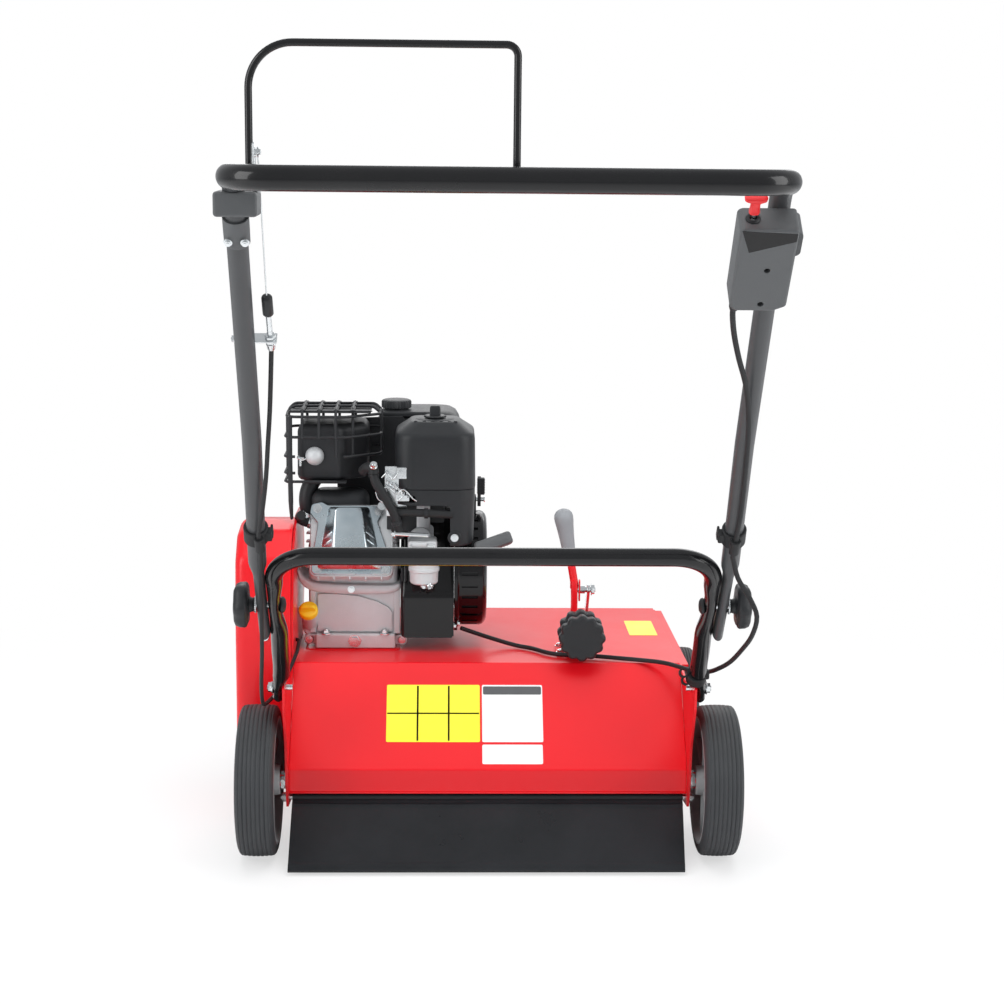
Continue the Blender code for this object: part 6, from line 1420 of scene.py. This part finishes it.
# %% Valve cover
FACE = 91.4
BEADS, BEAD_PITCH = 4, 11
edge = rounded_outline([(-244, -33), (-134, -33), (-133, -16), (-153, 42), (-146, 56), (-156, 66), (-222, 66),
                        (-231, 71), (-245, 68), (-247, 54), (-236, 40), (-244, -16)], 6.5, 5)
flange = tilted_skin([(FACE, edge), (FACE + 2.0, edge), (FACE + 2.8, inset_outline(edge, 0.8))])
low = [(-236, -27), (-145, -27), (-165, 62), (-221, 62)]
high = [(-214, -19), (-166, -19), (-175, 58), (-211, 58)]
levels = [(FACE + 2, rounded_outline(low, 5, 5))]
for share, height in ((0.0, 8.0), (0.04, 9.4), (0.92, 20.6), (1.0, 21.4), (1.12, 21.8)):
    between = [(a[0] + (b[0] - a[0]) * share, a[1] + (b[1] - a[1]) * share) for a, b in zip(low, high)]
    levels.append((FACE + height, rounded_outline(between, 5, 5)))
dome = tilted_skin(levels)
beads = []
for low_x, low_lean, high_x, high_lean in ((-236, 0.169, -214, 0.039), (-145, -0.225, -166, -0.117)):
    for k in range(BEADS):
        spots, radii = [], [1.3, 2.3, 1.3]
        for v, share in ((-17 + k * BEAD_PITCH, 0.16), (-13 + k * BEAD_PITCH, 0.5),
                         (-9 + k * BEAD_PITCH, 0.84)):
            outer, inner = low_x + (v + 27) * low_lean, high_x + (v + 19) * high_lean
            spots.append(tilted(FACE + 8 + 13.4 * share - 0.4, v, outer + (inner - outer) * share))
        beads.append(sweep(spots, radii, 14))
place("valve_cover_sheet", together(flange, dome, *beads), "chassis", PRESSED, "valve_cover", angle=32.0)
corners = ((-237, 61), (-235, -26), (-142, -26), (-151, 57))
cover_screws = [(tilted(FACE + 3.2, v, x), UP_CYL) for x, v in corners]
bolts("valve_cover_screws", cover_screws, "chassis", 4.4, 3.6, 6.4)
print("valve cover points", len(edge), "and beads", len(beads))

# %% Oil cap and spark plug
cap_seat = Matrix.Translation(CAP_SEAT + CAP_AXIS * 0.3) @ frame_of(CAP_AXIS)
cap = turned([(0.2, 12.4), (1, 13.4), (7.2, 13.4), (8.6, 12.6), (9.2, 11.0)], sides=48)
ridge = tapered([(8, 11.5, 3.6), (12, 11.0, 3.2), (15, 9.4, 2.6), (16, 8, 1.9)], 1.8)
place("oil_cap", moved(together(cap, ridge), cap_seat), "oil_cap", YELLOW, "oil_filler_cap", angle=40.0)
PLUG = tilted(82, 44, -246)
plug_way = Vector((-1, -0.25, 0.35)).normalized()
hexagon = turned([(0, 7.2), (7, 7.2)], PLUG - EAST * 2, plug_way, 6)
seat = turned([(-4, 8.4), (1.4, 8.4)], PLUG - EAST * 2, plug_way, 32)
nut = rod((-248, 209, 410), (-259, 204, 418), 6.4, 6, 0.6)
place("spark_plug", together(hexagon, seat, nut), "chassis", ZINC, bevel=0.4)
boot_path = [PLUG + plug_way * 5, PLUG + plug_way * 12, PLUG + Vector((-15, -10, 8)),
             PLUG + Vector((-13, -24, 14)), PLUG + Vector((-11, -38, 18))]
boot = sweep(smooth(boot_path, 5), [8.2 - 0.09 * k for k in range(21)], 28)
place("plug_boot", boot, "chassis", BOOT, "spark_plug_boot")
print("plug boot through", len(boot_path), "points")

# %% [markdown]
# ## Blower housing and starter
# A glossy black shell hides the flywheel. Its outline is a circle with a square foot and a flat facet towards
# the cylinder. The starter drum beside it has air slots round its rim, cut by copies of one small block.

# %% Blower housing
BLOWER_R, FOOT_DROP, FACET_REACH = 94.0, 83, 72
HOUSING_POINTS = 120


def housing(margin):
    """Side view of the blower housing, moved inwards by a margin."""
    radius, half, foot, facet = (size - margin for size in (BLOWER_R, BLOWER_R - 4, FOOT_DROP, FACET_REACH))
    points = []
    for k in range(HOUSING_POINTS):
        angle = math.tau * k / HOUSING_POINTS
        across, rise = math.cos(angle), math.sin(angle)
        reach = radius
        if rise < 0:
            reach = min(max(radius, half / max(abs(across), 1e-6)), foot / -rise)
        toward = -across * math.cos(LEAN) + rise * math.sin(LEAN)
        if toward > 0:
            reach = min(reach, facet / toward)
        points.append((CRANK.y + reach * across, CRANK.z + reach * rise))
    return points


shell_levels = ((-120.9, 9), (-120.6, 5), (-119, 2), (-115.5, 0.3), (-113, 0), (-50, 0), (-48.4, 0.5),
                (-48.2, 2), (-46.4, 2))
rings = [flat_ring(housing(margin), x, "YZ") for x, margin in shell_levels]
place("blower_shell", skin(rings), "chassis", GLOSS, "blower_housing", angle=40.0)
louvres = [block(-119.5 + k * 5.2, -117.5 + k * 5.2, 170.5, 176, 330, 349, 0.6, 2) for k in range(3)]
place("blower_ribs", together(*louvres), "chassis", PLASTIC)
bolts("blower_screws", [((-46.2, 190, 262), (1, 0, 0)), ((-46.2, 334, 262), (1, 0, 0))],
      "chassis", 3.8, 3.0, 5.6)
print("blower louvres", len(louvres))

# %% Starter drum
RECOIL_R = 82.0
POCKETS, FACE_SLOTS = 30, 24
profile = [(0.2, BLOWER_R - 2.6), (0.8, BLOWER_R - 1.6), (4.4, BLOWER_R - 1.6), (5.4, RECOIL_R + 1.5),
           (7, RECOIL_R), (36, RECOIL_R), (40, RECOIL_R - 1.2), (43.4, RECOIL_R - 4.6),
           (45.6, RECOIL_R - 9.6), (46.2, 60), (44.6, 57), (44.6, 34), (46.4, 31), (46.8, 12)]
drum_at = (-45.7, *CRANK.yz)
drum = cut(turned(profile, drum_at, (1, 0, 0), 96), block(-60, 10, 160, 360, 180, 247.2))
pocket = block(10.5, 33, -2.4, 2.4, RECOIL_R - 3.4, RECOIL_R + 3, 0.8, 2)
face_slot = block(40, 52, -2.0, 2.0, 36.5, 55, 0.8, 2)
drum = cut(drum, ring_of(pocket, POCKETS, drum_at, (1, 0, 0), PLASTIC),
           ring_of(face_slot, FACE_SLOTS, drum_at, (1, 0, 0), PLASTIC))
place("starter_drum", drum, "chassis", GLOSS, "recoil_cover", bevel=0.35)
ROPE_EXIT = Vector((8, 178, 382))
ROPE_WAY = Vector((0, -0.94, 0.342)).normalized()
spout = turned([(-26, 9.5), (-12, 8.6), (-3, 8.2), (-0.8, 8.8), (-0.2, 7.4), (-0.6, 4.2), (-6, 3.4)],
               ROPE_EXIT, ROPE_WAY, 36)
bridge = ROPE_EXIT - ROPE_WAY * 16
arm = sweep([(-18, bridge.y + 8, bridge.z - 6), (-6, bridge.y + 2, bridge.z - 1), (8, bridge.y, bridge.z)],
            [9, 8, 7.4], 28)
ear = block(-18, -15, 250, 268, 396, 436, 1.2)
place("rope_guide", together(spout, arm, ear), "chassis", PLASTIC)
drum_screws = [((-40.4, CRANK.y + 87.4 * math.cos(a), CRANK.z + 87.4 * math.sin(a)), (1, 0, 0))
               for a in (math.radians(d) for d in (20, 75, 128, 232, 318))]
bolts("drum_screws", drum_screws, "chassis", 3.4, 2.6, 5.0)
print("drum slots", POCKETS + FACE_SLOTS)

# %% Starter grip and throttle lever
GRIP_RIBS, ROPE_R, ROPE_STEPS = 9, 2.3, 24
GRIP_TURN = math.radians(21)
across = Vector((math.cos(GRIP_TURN), 0, math.sin(GRIP_TURN)))
across = (across - ROPE_WAY * across.dot(ROPE_WAY)).normalized()
high_way = across.cross(ROPE_WAY).normalized()
rings = []
for out, half_long, half_high in ((0.4, 20, 5.5), (1.2, 22.5, 7.6), (3, 24, 8.6), (8, 26, 9.2),
                                  (13, 26.8, 9.2), (16.6, 26.2, 8.4), (18.8, 24.8, 7.0), (19.8, 22.6, 5.0)):
    outline = box_outline(-half_long, half_long, -half_high, half_high, min(4.6, half_high - 0.4))
    rings.append([ROPE_EXIT + ROPE_WAY * out + across * a + high_way * b for a, b in outline])
ribs = []
for k in range(GRIP_RIBS):
    a = across * (-17 + k * 4.25)
    line = [ROPE_EXIT + ROPE_WAY * o + a + high_way * 9.2 for o in (5, 10, 14)]
    ribs.append(sweep(line, [0.5, 0.7, 0.5], 10))
place("pull_grip", together(skin(rings), *ribs), "starter_grip", GREY, "starter_grip", angle=40.0,
      slot="black_plastic")
rope_line = [ROPE_EXIT + ROPE_WAY * (1 - 23 * k / ROPE_STEPS) for k in range(ROPE_STEPS + 1)]
rope = place("starter_rope", sweep(rope_line, ROPE_R, 16), None, BOOT, slot="black_plastic")
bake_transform(rope)
plate = prism(rounded_outline([(252, 426), (254, 420.5), (264, 420.5), (267, 430), (265, 440), (266, 459),
                               (262, 463), (254, 459), (252, 440)], 1.6, 4), -13, -8.4)
pad = [block(-13.5, -2.8, 254, 264, 437, 461, 1.6)]
pad += [block(-13.9, -2.4, 253.2, 254.8, 440 + 3.6 * k, 441.6 + 3.6 * k, 0.5, 2) for k in range(6)]
place("throttle", together(plate, *pad), "throttle_lever", PLASTIC, "throttle_lever", bevel=0.4)
place("throttle_pin", turned([(0, 2.9), (12, 2.9), (12, 4.2), (13.4, 4.0)], (-16, 259, 430), (1, 0, 0), 24),
      "chassis", ZINC)
print("starter grip ribs", len(ribs))

# %% [markdown]
# ## Air filter and carburettor
# The filter housing is a rounded square box with a deep cap and a wing knob. Below it hang the carburettor
# with its bowl, the throttle shaft and the breather's hoses. Small bent wires and a spring make the linkage.

# %% Air filter
FILTER = Vector((-73.5, 207.0, 0))
FILTER_HALF, FILTER_CORNER = 56.0, 26.0


def filter_skin(levels):
    """Rounded squares about the filter's middle, one for each (height, inset)."""
    rings = []
    for z, inset in levels:
        half = FILTER_HALF - inset
        corner = max(FILTER_CORNER - inset * 0.5, 6)
        outline = rounded_outline(box_outline(-half, half, -half, half), corner, 8)
        rings.append([(FILTER.x + a, FILTER.y + b, z) for a, b in outline])
    return skin(rings)


cap = filter_skin([(463.1, 0.9), (463.6, 0.3), (466, 0), (500, 0.5), (530, 1.0), (535, 1.6), (538, 2.8),
                   (540.2, 5.0), (549, 17.6), (552.6, 22), (553.6, 24.4), (554, 30)])
lid = turned([(552, 27), (554.2, 26.6), (554.6, 26)], (FILTER.x, FILTER.y, 0), (0, 0, 1), 56)
nubs = [block(FILTER.x + x, FILTER.x + x + 4.6, 177.5, 180, 552.2, 554.6, 0.5, 2)
        for x in (-29, -17, -5.5, 6, 17.5, 26)]
place("filter_cap", together(cap, lid, *nubs), "chassis", PLASTIC, "air_filter_cover", angle=40.0)
tray = filter_skin([(440.4, 3.0), (442, 1.2), (446, 0.6), (461.4, 0.6), (462.6, 1.2)])
skirt = cut(filter_skin([(383.5, 5.0), (385, 3.2), (390, 2.4), (445, 1.0)]),
            block(-200, -52, 120, 300, 370, 441, 3), block(-60, 0, 183, 300, 370, 441))
back = block(-96, -60, 218, 254, 398, 444, 2)
place("filter_tray", together(cut(tray, block(-140, -100, 120, 290, 430, 454.6, 2)), skirt, back), "chassis",
      PLASTIC, "air_filter_base", bevel=0.5)
boss = turned([(0, 9.5), (1.2, 9.5), (2, 8.6), (2.2, 6.4), (1.2, 5.8), (1.2, 5.0)], (-46, 153.4, 396),
              (0, -1, 0), 36)
place("tray_boss", boss, "chassis", PLASTIC)
bolts("tray_screw", [((-46, 152.2, 396), (0, -1, 0))], "chassis", 4.2, 2.0, 5.4, sides=24)
knob_seat = Matrix.Translation((FILTER.x, FILTER.y, 555.3))
wing = tapered([(3, 7.6, 5.6), (12, 7.4, 4.6), (15.4, 6.6, 3.8), (16.4, 5.4, 2.6)], 2.2)
disc = knob([(0, 14.6, 1), (0.8, 15.6, 1), (2.4, 15.6, 1), (3.2, 14.8, 1)], 8, 1.4)
place("filter_wing", moved(together(wing, disc), knob_seat), "filter_knob", PLASTIC, "air_filter_knob",
      bevel=0.4)
print("filter nubs", len(nubs))

# %% Carburettor
throat = tilted_skin([(73, box_outline(-111, -75, -5, 43, 6)), (78, box_outline(-111, -75, -5, 43, 6))])
body = turned([(0, 15), (3, 16.4), (22, 16.4), (26, 14)], tilted(76, 18, -93), UP_CYL, 36)
bowl = turned([(327, 4), (328, 5.5), (329.4, 10), (331, 17.5), (333, 19.3), (348, 19.8), (349, 21.4),
               (353, 21.4), (354, 20.4), (366, 20.6), (370, 17), (374, 12)], (-88, 160, 0), (0, 0, 1), 44)
deck = block(-110, -70, 146, 186, 368, 392, 4)
horn = turned([(0, 12), (44, 12), (46, 13.4), (47.6, 13.4)], (-92, 200, 392), (0, 0, 1), 36)
bumps = [rod((-106, 146, 380), (-106, 141, 380), 4.6, 24, 0.6),
         rod((-78, 146, 384), (-78, 140, 384), 5.6, 24, 0.6),
         rod((-92, 146, 374), (-92, 142.5, 374), 3.6, 24, 0.6),
         block(-104, -84, 143, 148, 386, 391, 1)]
place("carburettor_body", together(throat, body, bowl, deck, horn, *bumps), "chassis", CAST, "carburettor",
      bevel=0.4)
carburettor_bolts = [((-88, 160, 327), (0, 0, -1)), ((-80, 143, 330), (0, -0.4, -1)),
                     ((-106, 140.8, 380), (0, -1, 0)), ((-78, 139.8, 384), (0, -1, 0))]
bolts("carburettor_bolts", carburettor_bolts, "chassis", 4.4, 3.4, 6.0)
shaft = wires([[(-128, 150, 402), (-82, 149, 400)]], 3.2, ZINC, 20)
place("throttle_shaft", shaft, "chassis", ZINC)
bolts("shaft_head", [((-128, 150, 402), (-1, 0, 0.04))], "chassis", 5.0, 4.0, 6.6)
print("carburettor bosses", len(bumps))

# %% Linkage and hoses
link_paths = [smooth([(-146, 152, 480), (-139, 150, 486), (-131, 150, 478), (-124, 150, 486)], 4),
              smooth([(-150, 151, 462), (-138, 150, 467), (-126, 150, 458), (-116, 150, 464),
                      (-104, 149, 452), (-98, 149, 448)], 4),
              smooth([(-128, 151, 470), (-121, 150, 462), (-118, 150, 454), (-124, 150, 448)], 4),
              smooth([(-154, 152, 460), (-150, 150, 450), (-140, 150, 444), (-134, 150, 436)], 4)]
place("linkage", wires(link_paths, 1.1, ZINC), "chassis", ZINC)
coil = [Vector((-140 + 0.55 * k, 153 + 3 * math.cos(k * 0.9), 474 - 0.35 * k + 3 * math.sin(k * 0.9)))
        for k in range(60)]
place("governor_spring", wires([coil], 0.55, ZINC, 8), "chassis", ZINC)
brackets = [block(-142, -118, 160, 162, 462, 494, 0.6, 2), block(-126, -112, 152, 162, 478, 494, 0.8, 2),
            block(-128, -108, 156, 160, 446, 460, 0.8, 2), block(-140, -112, 164, 166, 424, 470, 0.6, 2)]
place("control_plate", together(*brackets), "chassis", ZINC, bevel=0.3)
control_screws = [((-120, 151.6, 486), (0, -1, 0)), ((-135, 159.6, 470), (0, -1, 0)),
                  ((-120, 155.4, 453), (0, -1, 0)), ((-146, 155, 440), (0, -1, 0.3))]
bolts("control_screws", control_screws, "chassis", 4.0, 3.0, 5.6)
hose = smooth([(-158, 156, 491), (-155, 150, 476), (-147, 148, 462), (-137, 148, 446), (-128, 149, 428),
               (-124, 152, 412), (-120, 156, 396)], 5)
place("breather_hose", sweep(hose, 6.2, 28), "chassis", BOOT)
tube = smooth([(-134, 156, 429), (-110, 154, 431), (-80, 154, 430), (-49, 156, 428)], 6)
place("breather_tube", sweep(tube, 5.6, 28), "chassis", BOOT)
band_profile = [(0, 6.6), (0.4, 7.2), (5, 7.2), (5.4, 6.6)]
bands = [turned(band_profile, at, way, 32) for at, way in (((-157.4, 154.5, 486), (0.1, -0.3, -1)),
                                                           ((-126, 150.5, 420), (0.2, 0.1, -1)),
                                                           ((-88, 154, 430), (1, 0, 0)))]
place("hose_bands", together(*bands), "chassis", PLASTIC)
elbow = smooth([(-172, 168, 486), (-166, 160, 492), (-158, 154, 491), (-157, 151, 484)], 5)
place("hose_elbow", sweep(elbow, 7.4, 28), "chassis", BOOT)
bolts("hose_screw", [((-157, 149, 496), (0.1, -0.7, 1))], "chassis", 4.6, 5.0, 5.6, sides=24)
struts = [block(-138, -58, 176, 182, 452, 458, 1), block(-140, -120, 186, 196, 400, 460, 1.5),
          block(-134, -96, 190, 205, 396, 452, 2)]
place("engine_struts", together(*struts), "chassis", PLASTIC)
print("linkage wires", len(link_paths))

# %% [markdown]
# ## Muffler, guard and tank
# The muffler is a black painted box whose right side slants away, with a bright domed outlet. Bent wire and
# flat bars make the guard round it. The fuel tank stands behind on posts, pressed from two halves with a
# seam.

# %% Muffler
box = rounded_outline([(-264.5, 196), (-206, 196), (-166, 226), (-166, 284), (-264.5, 284)], 13, 6)
levels = [(466.2, 9), (467.4, 4), (470, 1.2), (474, 0), *[(z, inset + 0.4) for z, inset in rolled(534, 11)]]
seam = inset_skin(box, [(508.4, 0.5), (508.8, -1.4), (511, -1.4), (511.4, 0.5)])
foot_lip = block(-246, -196, 190, 204, 464, 467.4, 1)
MUFFLER = finish("muffler_paint", (0.012, 0.013, 0.015), (0.022, 0.023, 0.026), 0.5,
                 metallic=0.2, scale=500.0, depth=0.3, dust=0.04)
place("muffler_box", together(inset_skin(box, levels), seam, foot_lip), "chassis", MUFFLER, "muffler",
      angle=40.0)
outlet_way = Vector((0.25, -1, -0.1)).normalized()
dome = turned([(-3, 12.6), (2, 12.8), (5, 12.2), (8, 10.6), (11, 7.6), (13, 4), (13.8, 0.6)],
              (-240, 197, 502), outlet_way, 44)
place("muffler_outlet", dome, "chassis", CAST, angle=60.0)
pin = together(rod((-258.5, 188, 497), (-250, 192, 499), 1.6, 16),
               rod((-259, 188, 489), (-259, 188, 500), 1.9, 16, 0.4),
               turned([(0, 3.4), (2, 3.4)], (-262, 188, 500.4), (1, 0, 0.1), 20),
               rod((-264, 188, 501), (-254, 188, 500), 1.7, 16, 0.4))
place("outlet_pin", pin, "chassis", ZINC)
pipe = smooth([(-232, 246, 474), (-246, 240, 458), (-253, 237, 440), (-252, 237, 420), (-242, 241, 404),
               (-226, 246, 394), (-214, 248, 392)], 5)
place("exhaust_pipe", sweep(pipe, 11.6, 32), "chassis", MUFFLER)
print("muffler levels", len(levels))

# %% Guard of wire and bars
GUARD_LEFT, GUARD_RIGHT, GUARD_REAR, GUARD_FRONT = -280, -149, 183, 289
CUT_OFF, CUT_SHARE = 46, 0.72
GUARD_TOP, GUARD_BEND, WIRE_HALF = 558, 566.6, 2.0
BAR_SPOTS = (-256, -233, -210, -187)


def hoop(z, grow=0.0):
    """A loop of the guard at a height, with its right rear corner cut off."""
    x0, x1, y0, y1 = GUARD_LEFT - grow, GUARD_RIGHT + grow, GUARD_REAR - grow, GUARD_FRONT + grow
    corners = [(x0, y0), (x1 - CUT_OFF, y0), (x1, y0 + CUT_OFF * CUT_SHARE), (x1, y1), (x0, y1)]
    loop = flat_ring(rounded_outline(corners, 14, 6), z)
    return loop + loop[:1]


paths = [hoop(530), hoop(GUARD_TOP, grow=-2)]
paths.append([(x, y, z) for x, y, z in hoop(503)[:-1] if x > -214 or (x > -232 and y < 190)])
left_stub = [(-280, 250, 503), (-280, 190, 503), (-277, 183, 503), (-266, 183, 503)]
low_left = [(-280, 262, 468), (-280, 190, 468), (-277, 183, 468), (-209, 183, 468)]
paths += [left_stub, [(x, y, 480) for x, y, z in left_stub], low_left]
guard_loops = wires([dense([Vector(p) for p in path], 8) for path in paths], WIRE_HALF, MUFFLER, 14)
place("guard_wires", guard_loops, "chassis", MUFFLER, "muffler_guard", angle=60.0)
uprights = []
for x in BAR_SPOTS:
    y0 = 182.6 if x < -205 else 182.6 + (x + 205) * CUT_SHARE
    uprights.append([(x, y0, 528), (x, y0, GUARD_TOP), (x, y0 + 9, GUARD_BEND), (x, 281, GUARD_BEND),
                     (x, GUARD_FRONT, GUARD_TOP), (x, GUARD_FRONT, 528)])
for y in (236, 262):
    uprights.append([(GUARD_RIGHT, y, 503), (GUARD_RIGHT, y, GUARD_TOP), (GUARD_RIGHT - 9, y, GUARD_BEND),
                     (GUARD_RIGHT - 60, y, GUARD_BEND)])
for y in (232, 262):
    uprights.append([(GUARD_LEFT, y, 468), (GUARD_LEFT, y, GUARD_TOP), (GUARD_LEFT + 9, y, GUARD_BEND),
                     (-160, y, GUARD_BEND), (-150, y, GUARD_TOP)])
uprights += [[(-187, 196, 503), (-187, 196, 530)], [(-209, 183, 503), (-209, 183, 530)]]
bent = [rounded_path(path, [11.0] * (len(path) - 2), 5) for path in uprights]
place("guard_uprights", wires(bent, WIRE_HALF, MUFFLER, 12), "chassis", MUFFLER, angle=60.0)
leg = [(-273, 185, 559), (-273, 183.4, 500), (-272.4, 184, 440), (-271.6, 185, 418), (-271, 185, 414)]
leg_radii = [3.4] * 11 + [3.0, 2.8, 2.6, 2.4, 2.4, 2.2, 2.0, 1.6, 1.0, 0.3]
place("guard_leg", sweep(smooth(leg, 5), leg_radii, 16), "chassis", MUFFLER)
top_bars = [block(x - 3.2, x + 3.2, 190, 284, 565.2, 566.8, 0.5, 2) for x in BAR_SPOTS]
top_bars.append(block(-276, -160, 196, 200, 564, 565.2, 0.4, 2))
top_plate = block(-274, -162, 193, 284, 562.2, 563.8, 0.5, 2)
shield_corners = [(-214, 437), (-214, 540), (-118, 544), (-118, 404), (-166, 404), (-176, 437)]
shield_edge = rounded_outline(shield_corners, 5)
place("heat_shield", prism(shield_edge, 293.5, 295, "XZ"), "chassis", MUFFLER, bevel=0.4)
place("guard_bars", together(*top_bars, top_plate), "chassis", MUFFLER)
print("guard wires", len(paths) + len(uprights))

# %% Fuel tank and cap
FUEL_CAP = (-130, 334)
rings = []
for z, inset in ((471, 16), (473, 9), (478, 4), (486, 1.6), (511, 0.6), (512, 0.4), (512.4, -2.6),
                 (515.4, -2.6), (515.8, 0.4), (525, 1.2), (533, 3.4), (541, 8), (545.4, 15), (547, 24)):
    outline = box_outline(-160 + inset, -36 - inset, 298 + inset, 418 - inset, max(26 - inset * 0.4, 8))
    rings.append(flat_ring(outline, z))
place("tank_shell", skin(rings), "chassis", PLASTIC, "fuel_tank", angle=40.0)
neck = turned([(-8, 18), (-3, 17.4), (-0.6, 17.4)], (*FUEL_CAP, 550), (0, 0, 1), 40)
plate = rounded_box(-152, -66, 301, 336, 541, 548.6, 8, 3)
place("tank_neck", together(neck, plate), "chassis", PLASTIC)
cap_levels = [(0.2, 20.4, 1), (1, 21.6, 1), (9, 21.6, 1), (11, 20.6, 1), (12, 18.4, 0.6), (12.3, 10, 0)]
cap = knob(cap_levels, 28, 1.0, 4)
place("fuel_cap_top", moved(cap, Matrix.Translation((*FUEL_CAP, 550.3))), "fuel_cap", PLASTIC, "fuel_cap")
print("tank rings", len(rings))

# %% [markdown]
# ## Cords
# Three cords are free. The switch's lead hangs in a loop beside the right leg and runs over the deck to the
# engine. The clutch cable hangs the same way at the left, and a thin wire joins the bail to its adjuster.
# Each is swept along a smooth curve through a few points, which sag where a real cord would.

# %% Cord maker
def run_length(path):
    """Length of a path of points, in metres."""
    return sum((b - a).length for a, b in zip(path, path[1:])) * MM


def free_cord(name, path, radius, finish_used, node):
    """A tube swept along the path that takes the place of a CAD node, with its length printed."""
    path = [Vector(p) for p in path]
    piece = place(name, sweep(path, radius, 20), None, finish_used, node, angle=60.0)
    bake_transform(piece)
    print(name, round(run_length(path), 3), "m")


# %% Electric lead
start = along_leg(546, -31.3, 232)
held = [along_leg(534, -31.3, 232)]
held += [along_leg(d, r, x) for d, r, x in ((500, -26, 238), (460, -22, 248), (420, -20, 260),
                                            (380, -18, 268), (340, -18, 273), (300, -18, 276),
                                            (250, -18, 279), (200, -18.5, 281))]
clip_in, clip_out = along_leg(160, -18.5, 281), along_leg(120, -18.5, 281)
after = [clip_out, (290, -222, 428), (306, -216, 402), (316, -212, 378), (314, -192, 349), (308, -152, 320),
         (302, -104, 292), (295, -56, 270), (287, -16, 254), (275, 24, 243), (260, 62, 238), (240, 92, 236),
         (212, 110, 234.5), (157, 130, 234), (130, 137, 234), (104, 141, 233.5), (84, 154, 233),
         (64, 180, 232), (40, 198, 232), (5, 204, 241), (-22, 204, 250), (-36, 200, 256)]
lead_path = smooth([start, *held, clip_in], 3) + smooth(after, 4)
free_cord("lead", lead_path, LEAD_R, BOOT, "electric_lead")

# %% Clutch cable and its adjuster
SEAT, SEAT_RISE, SEAT_X = 458.0, 6, -245
adjuster = along_leg(SEAT, SEAT_RISE, SEAT_X)
on = [along_leg(d, r, x) for d, r, x in ((400, 3, -248), (350, -1, -252), (300, -6, -257), (250, -12, -262),
                                         (200, -17, -269))]
clip_in, clip_out = along_leg(160, -18, -276), along_leg(120, -18, -276)
after = [clip_out, along_leg(70, -21, -279), (-283, -160, 322), (-289, -110, 262), (-292, -60, 224),
         (-290, -15, 211), (-280, 30, 214), (-268, 75, 230), (-260.5, 112, 245)]
bend = rounded_path([(-260.5, 112, 245), (-260, 150, 252), (-273.6, 150, 252)], [6], 4)
boot = turned([(34.5, 3.2), (35, 5.2), (36, 5.8), (58, 5.8), (59.6, 5.2), (60.6, 3.8), (60.6, 1.0)],
              adjuster, UP_LEG, 28)
ferrule = place("adjuster_boots", boot, "upper_handle", PLASTIC)
threads = [turned(profile, adjuster, UP_LEG, sides) for sides, profile in (
    (20, [(-2.4, 3.0), (36, 3.0)]), (28, [(-17.9, 3.0), (-16, 4.2), (-8, 5.4), (-6.8, 5.4)]),
    (6, [(0.4, 5.6), (0.8, 6.0), (3.8, 6.0), (4.2, 5.6)]),
    (6, [(-6, 5.6), (-5.6, 6.0), (-2.8, 6.0), (-2.4, 5.6)]))]
hardware = place("adjuster_nuts", together(*threads), "upper_handle", ZINC, bevel=0.2)
cable_path = smooth([along_leg(SEAT - 18, SEAT_RISE, SEAT_X), *on, clip_in], 3) + smooth(after, 4) + bend[1:]
free_cord("cable", cable_path, CABLE_R, BOOT, "clutch_cable")

# %% Wire from the bail
wire_end = along_leg(SEAT + 61.3, SEAT_RISE, SEAT_X)
wire_path = [ANCHOR + Vector((0, -0.5, -3.6)), *[ANCHOR.lerp(wire_end, k / 12) for k in range(1, 12)],
             wire_end]
free_cord("bail_wire", wire_path, WIRE_R, ZINC, "clutch_wire")
hoop_eye = turned([(-0.8, 3.4), (-0.8, 5.0), (0.8, 5.0), (0.8, 3.4)], ANCHOR + Vector((0.2, 0, 0)), (1, 0, 0),
                  28, ring=True)
place("wire_eye", hoop_eye, "bail", ZINC)
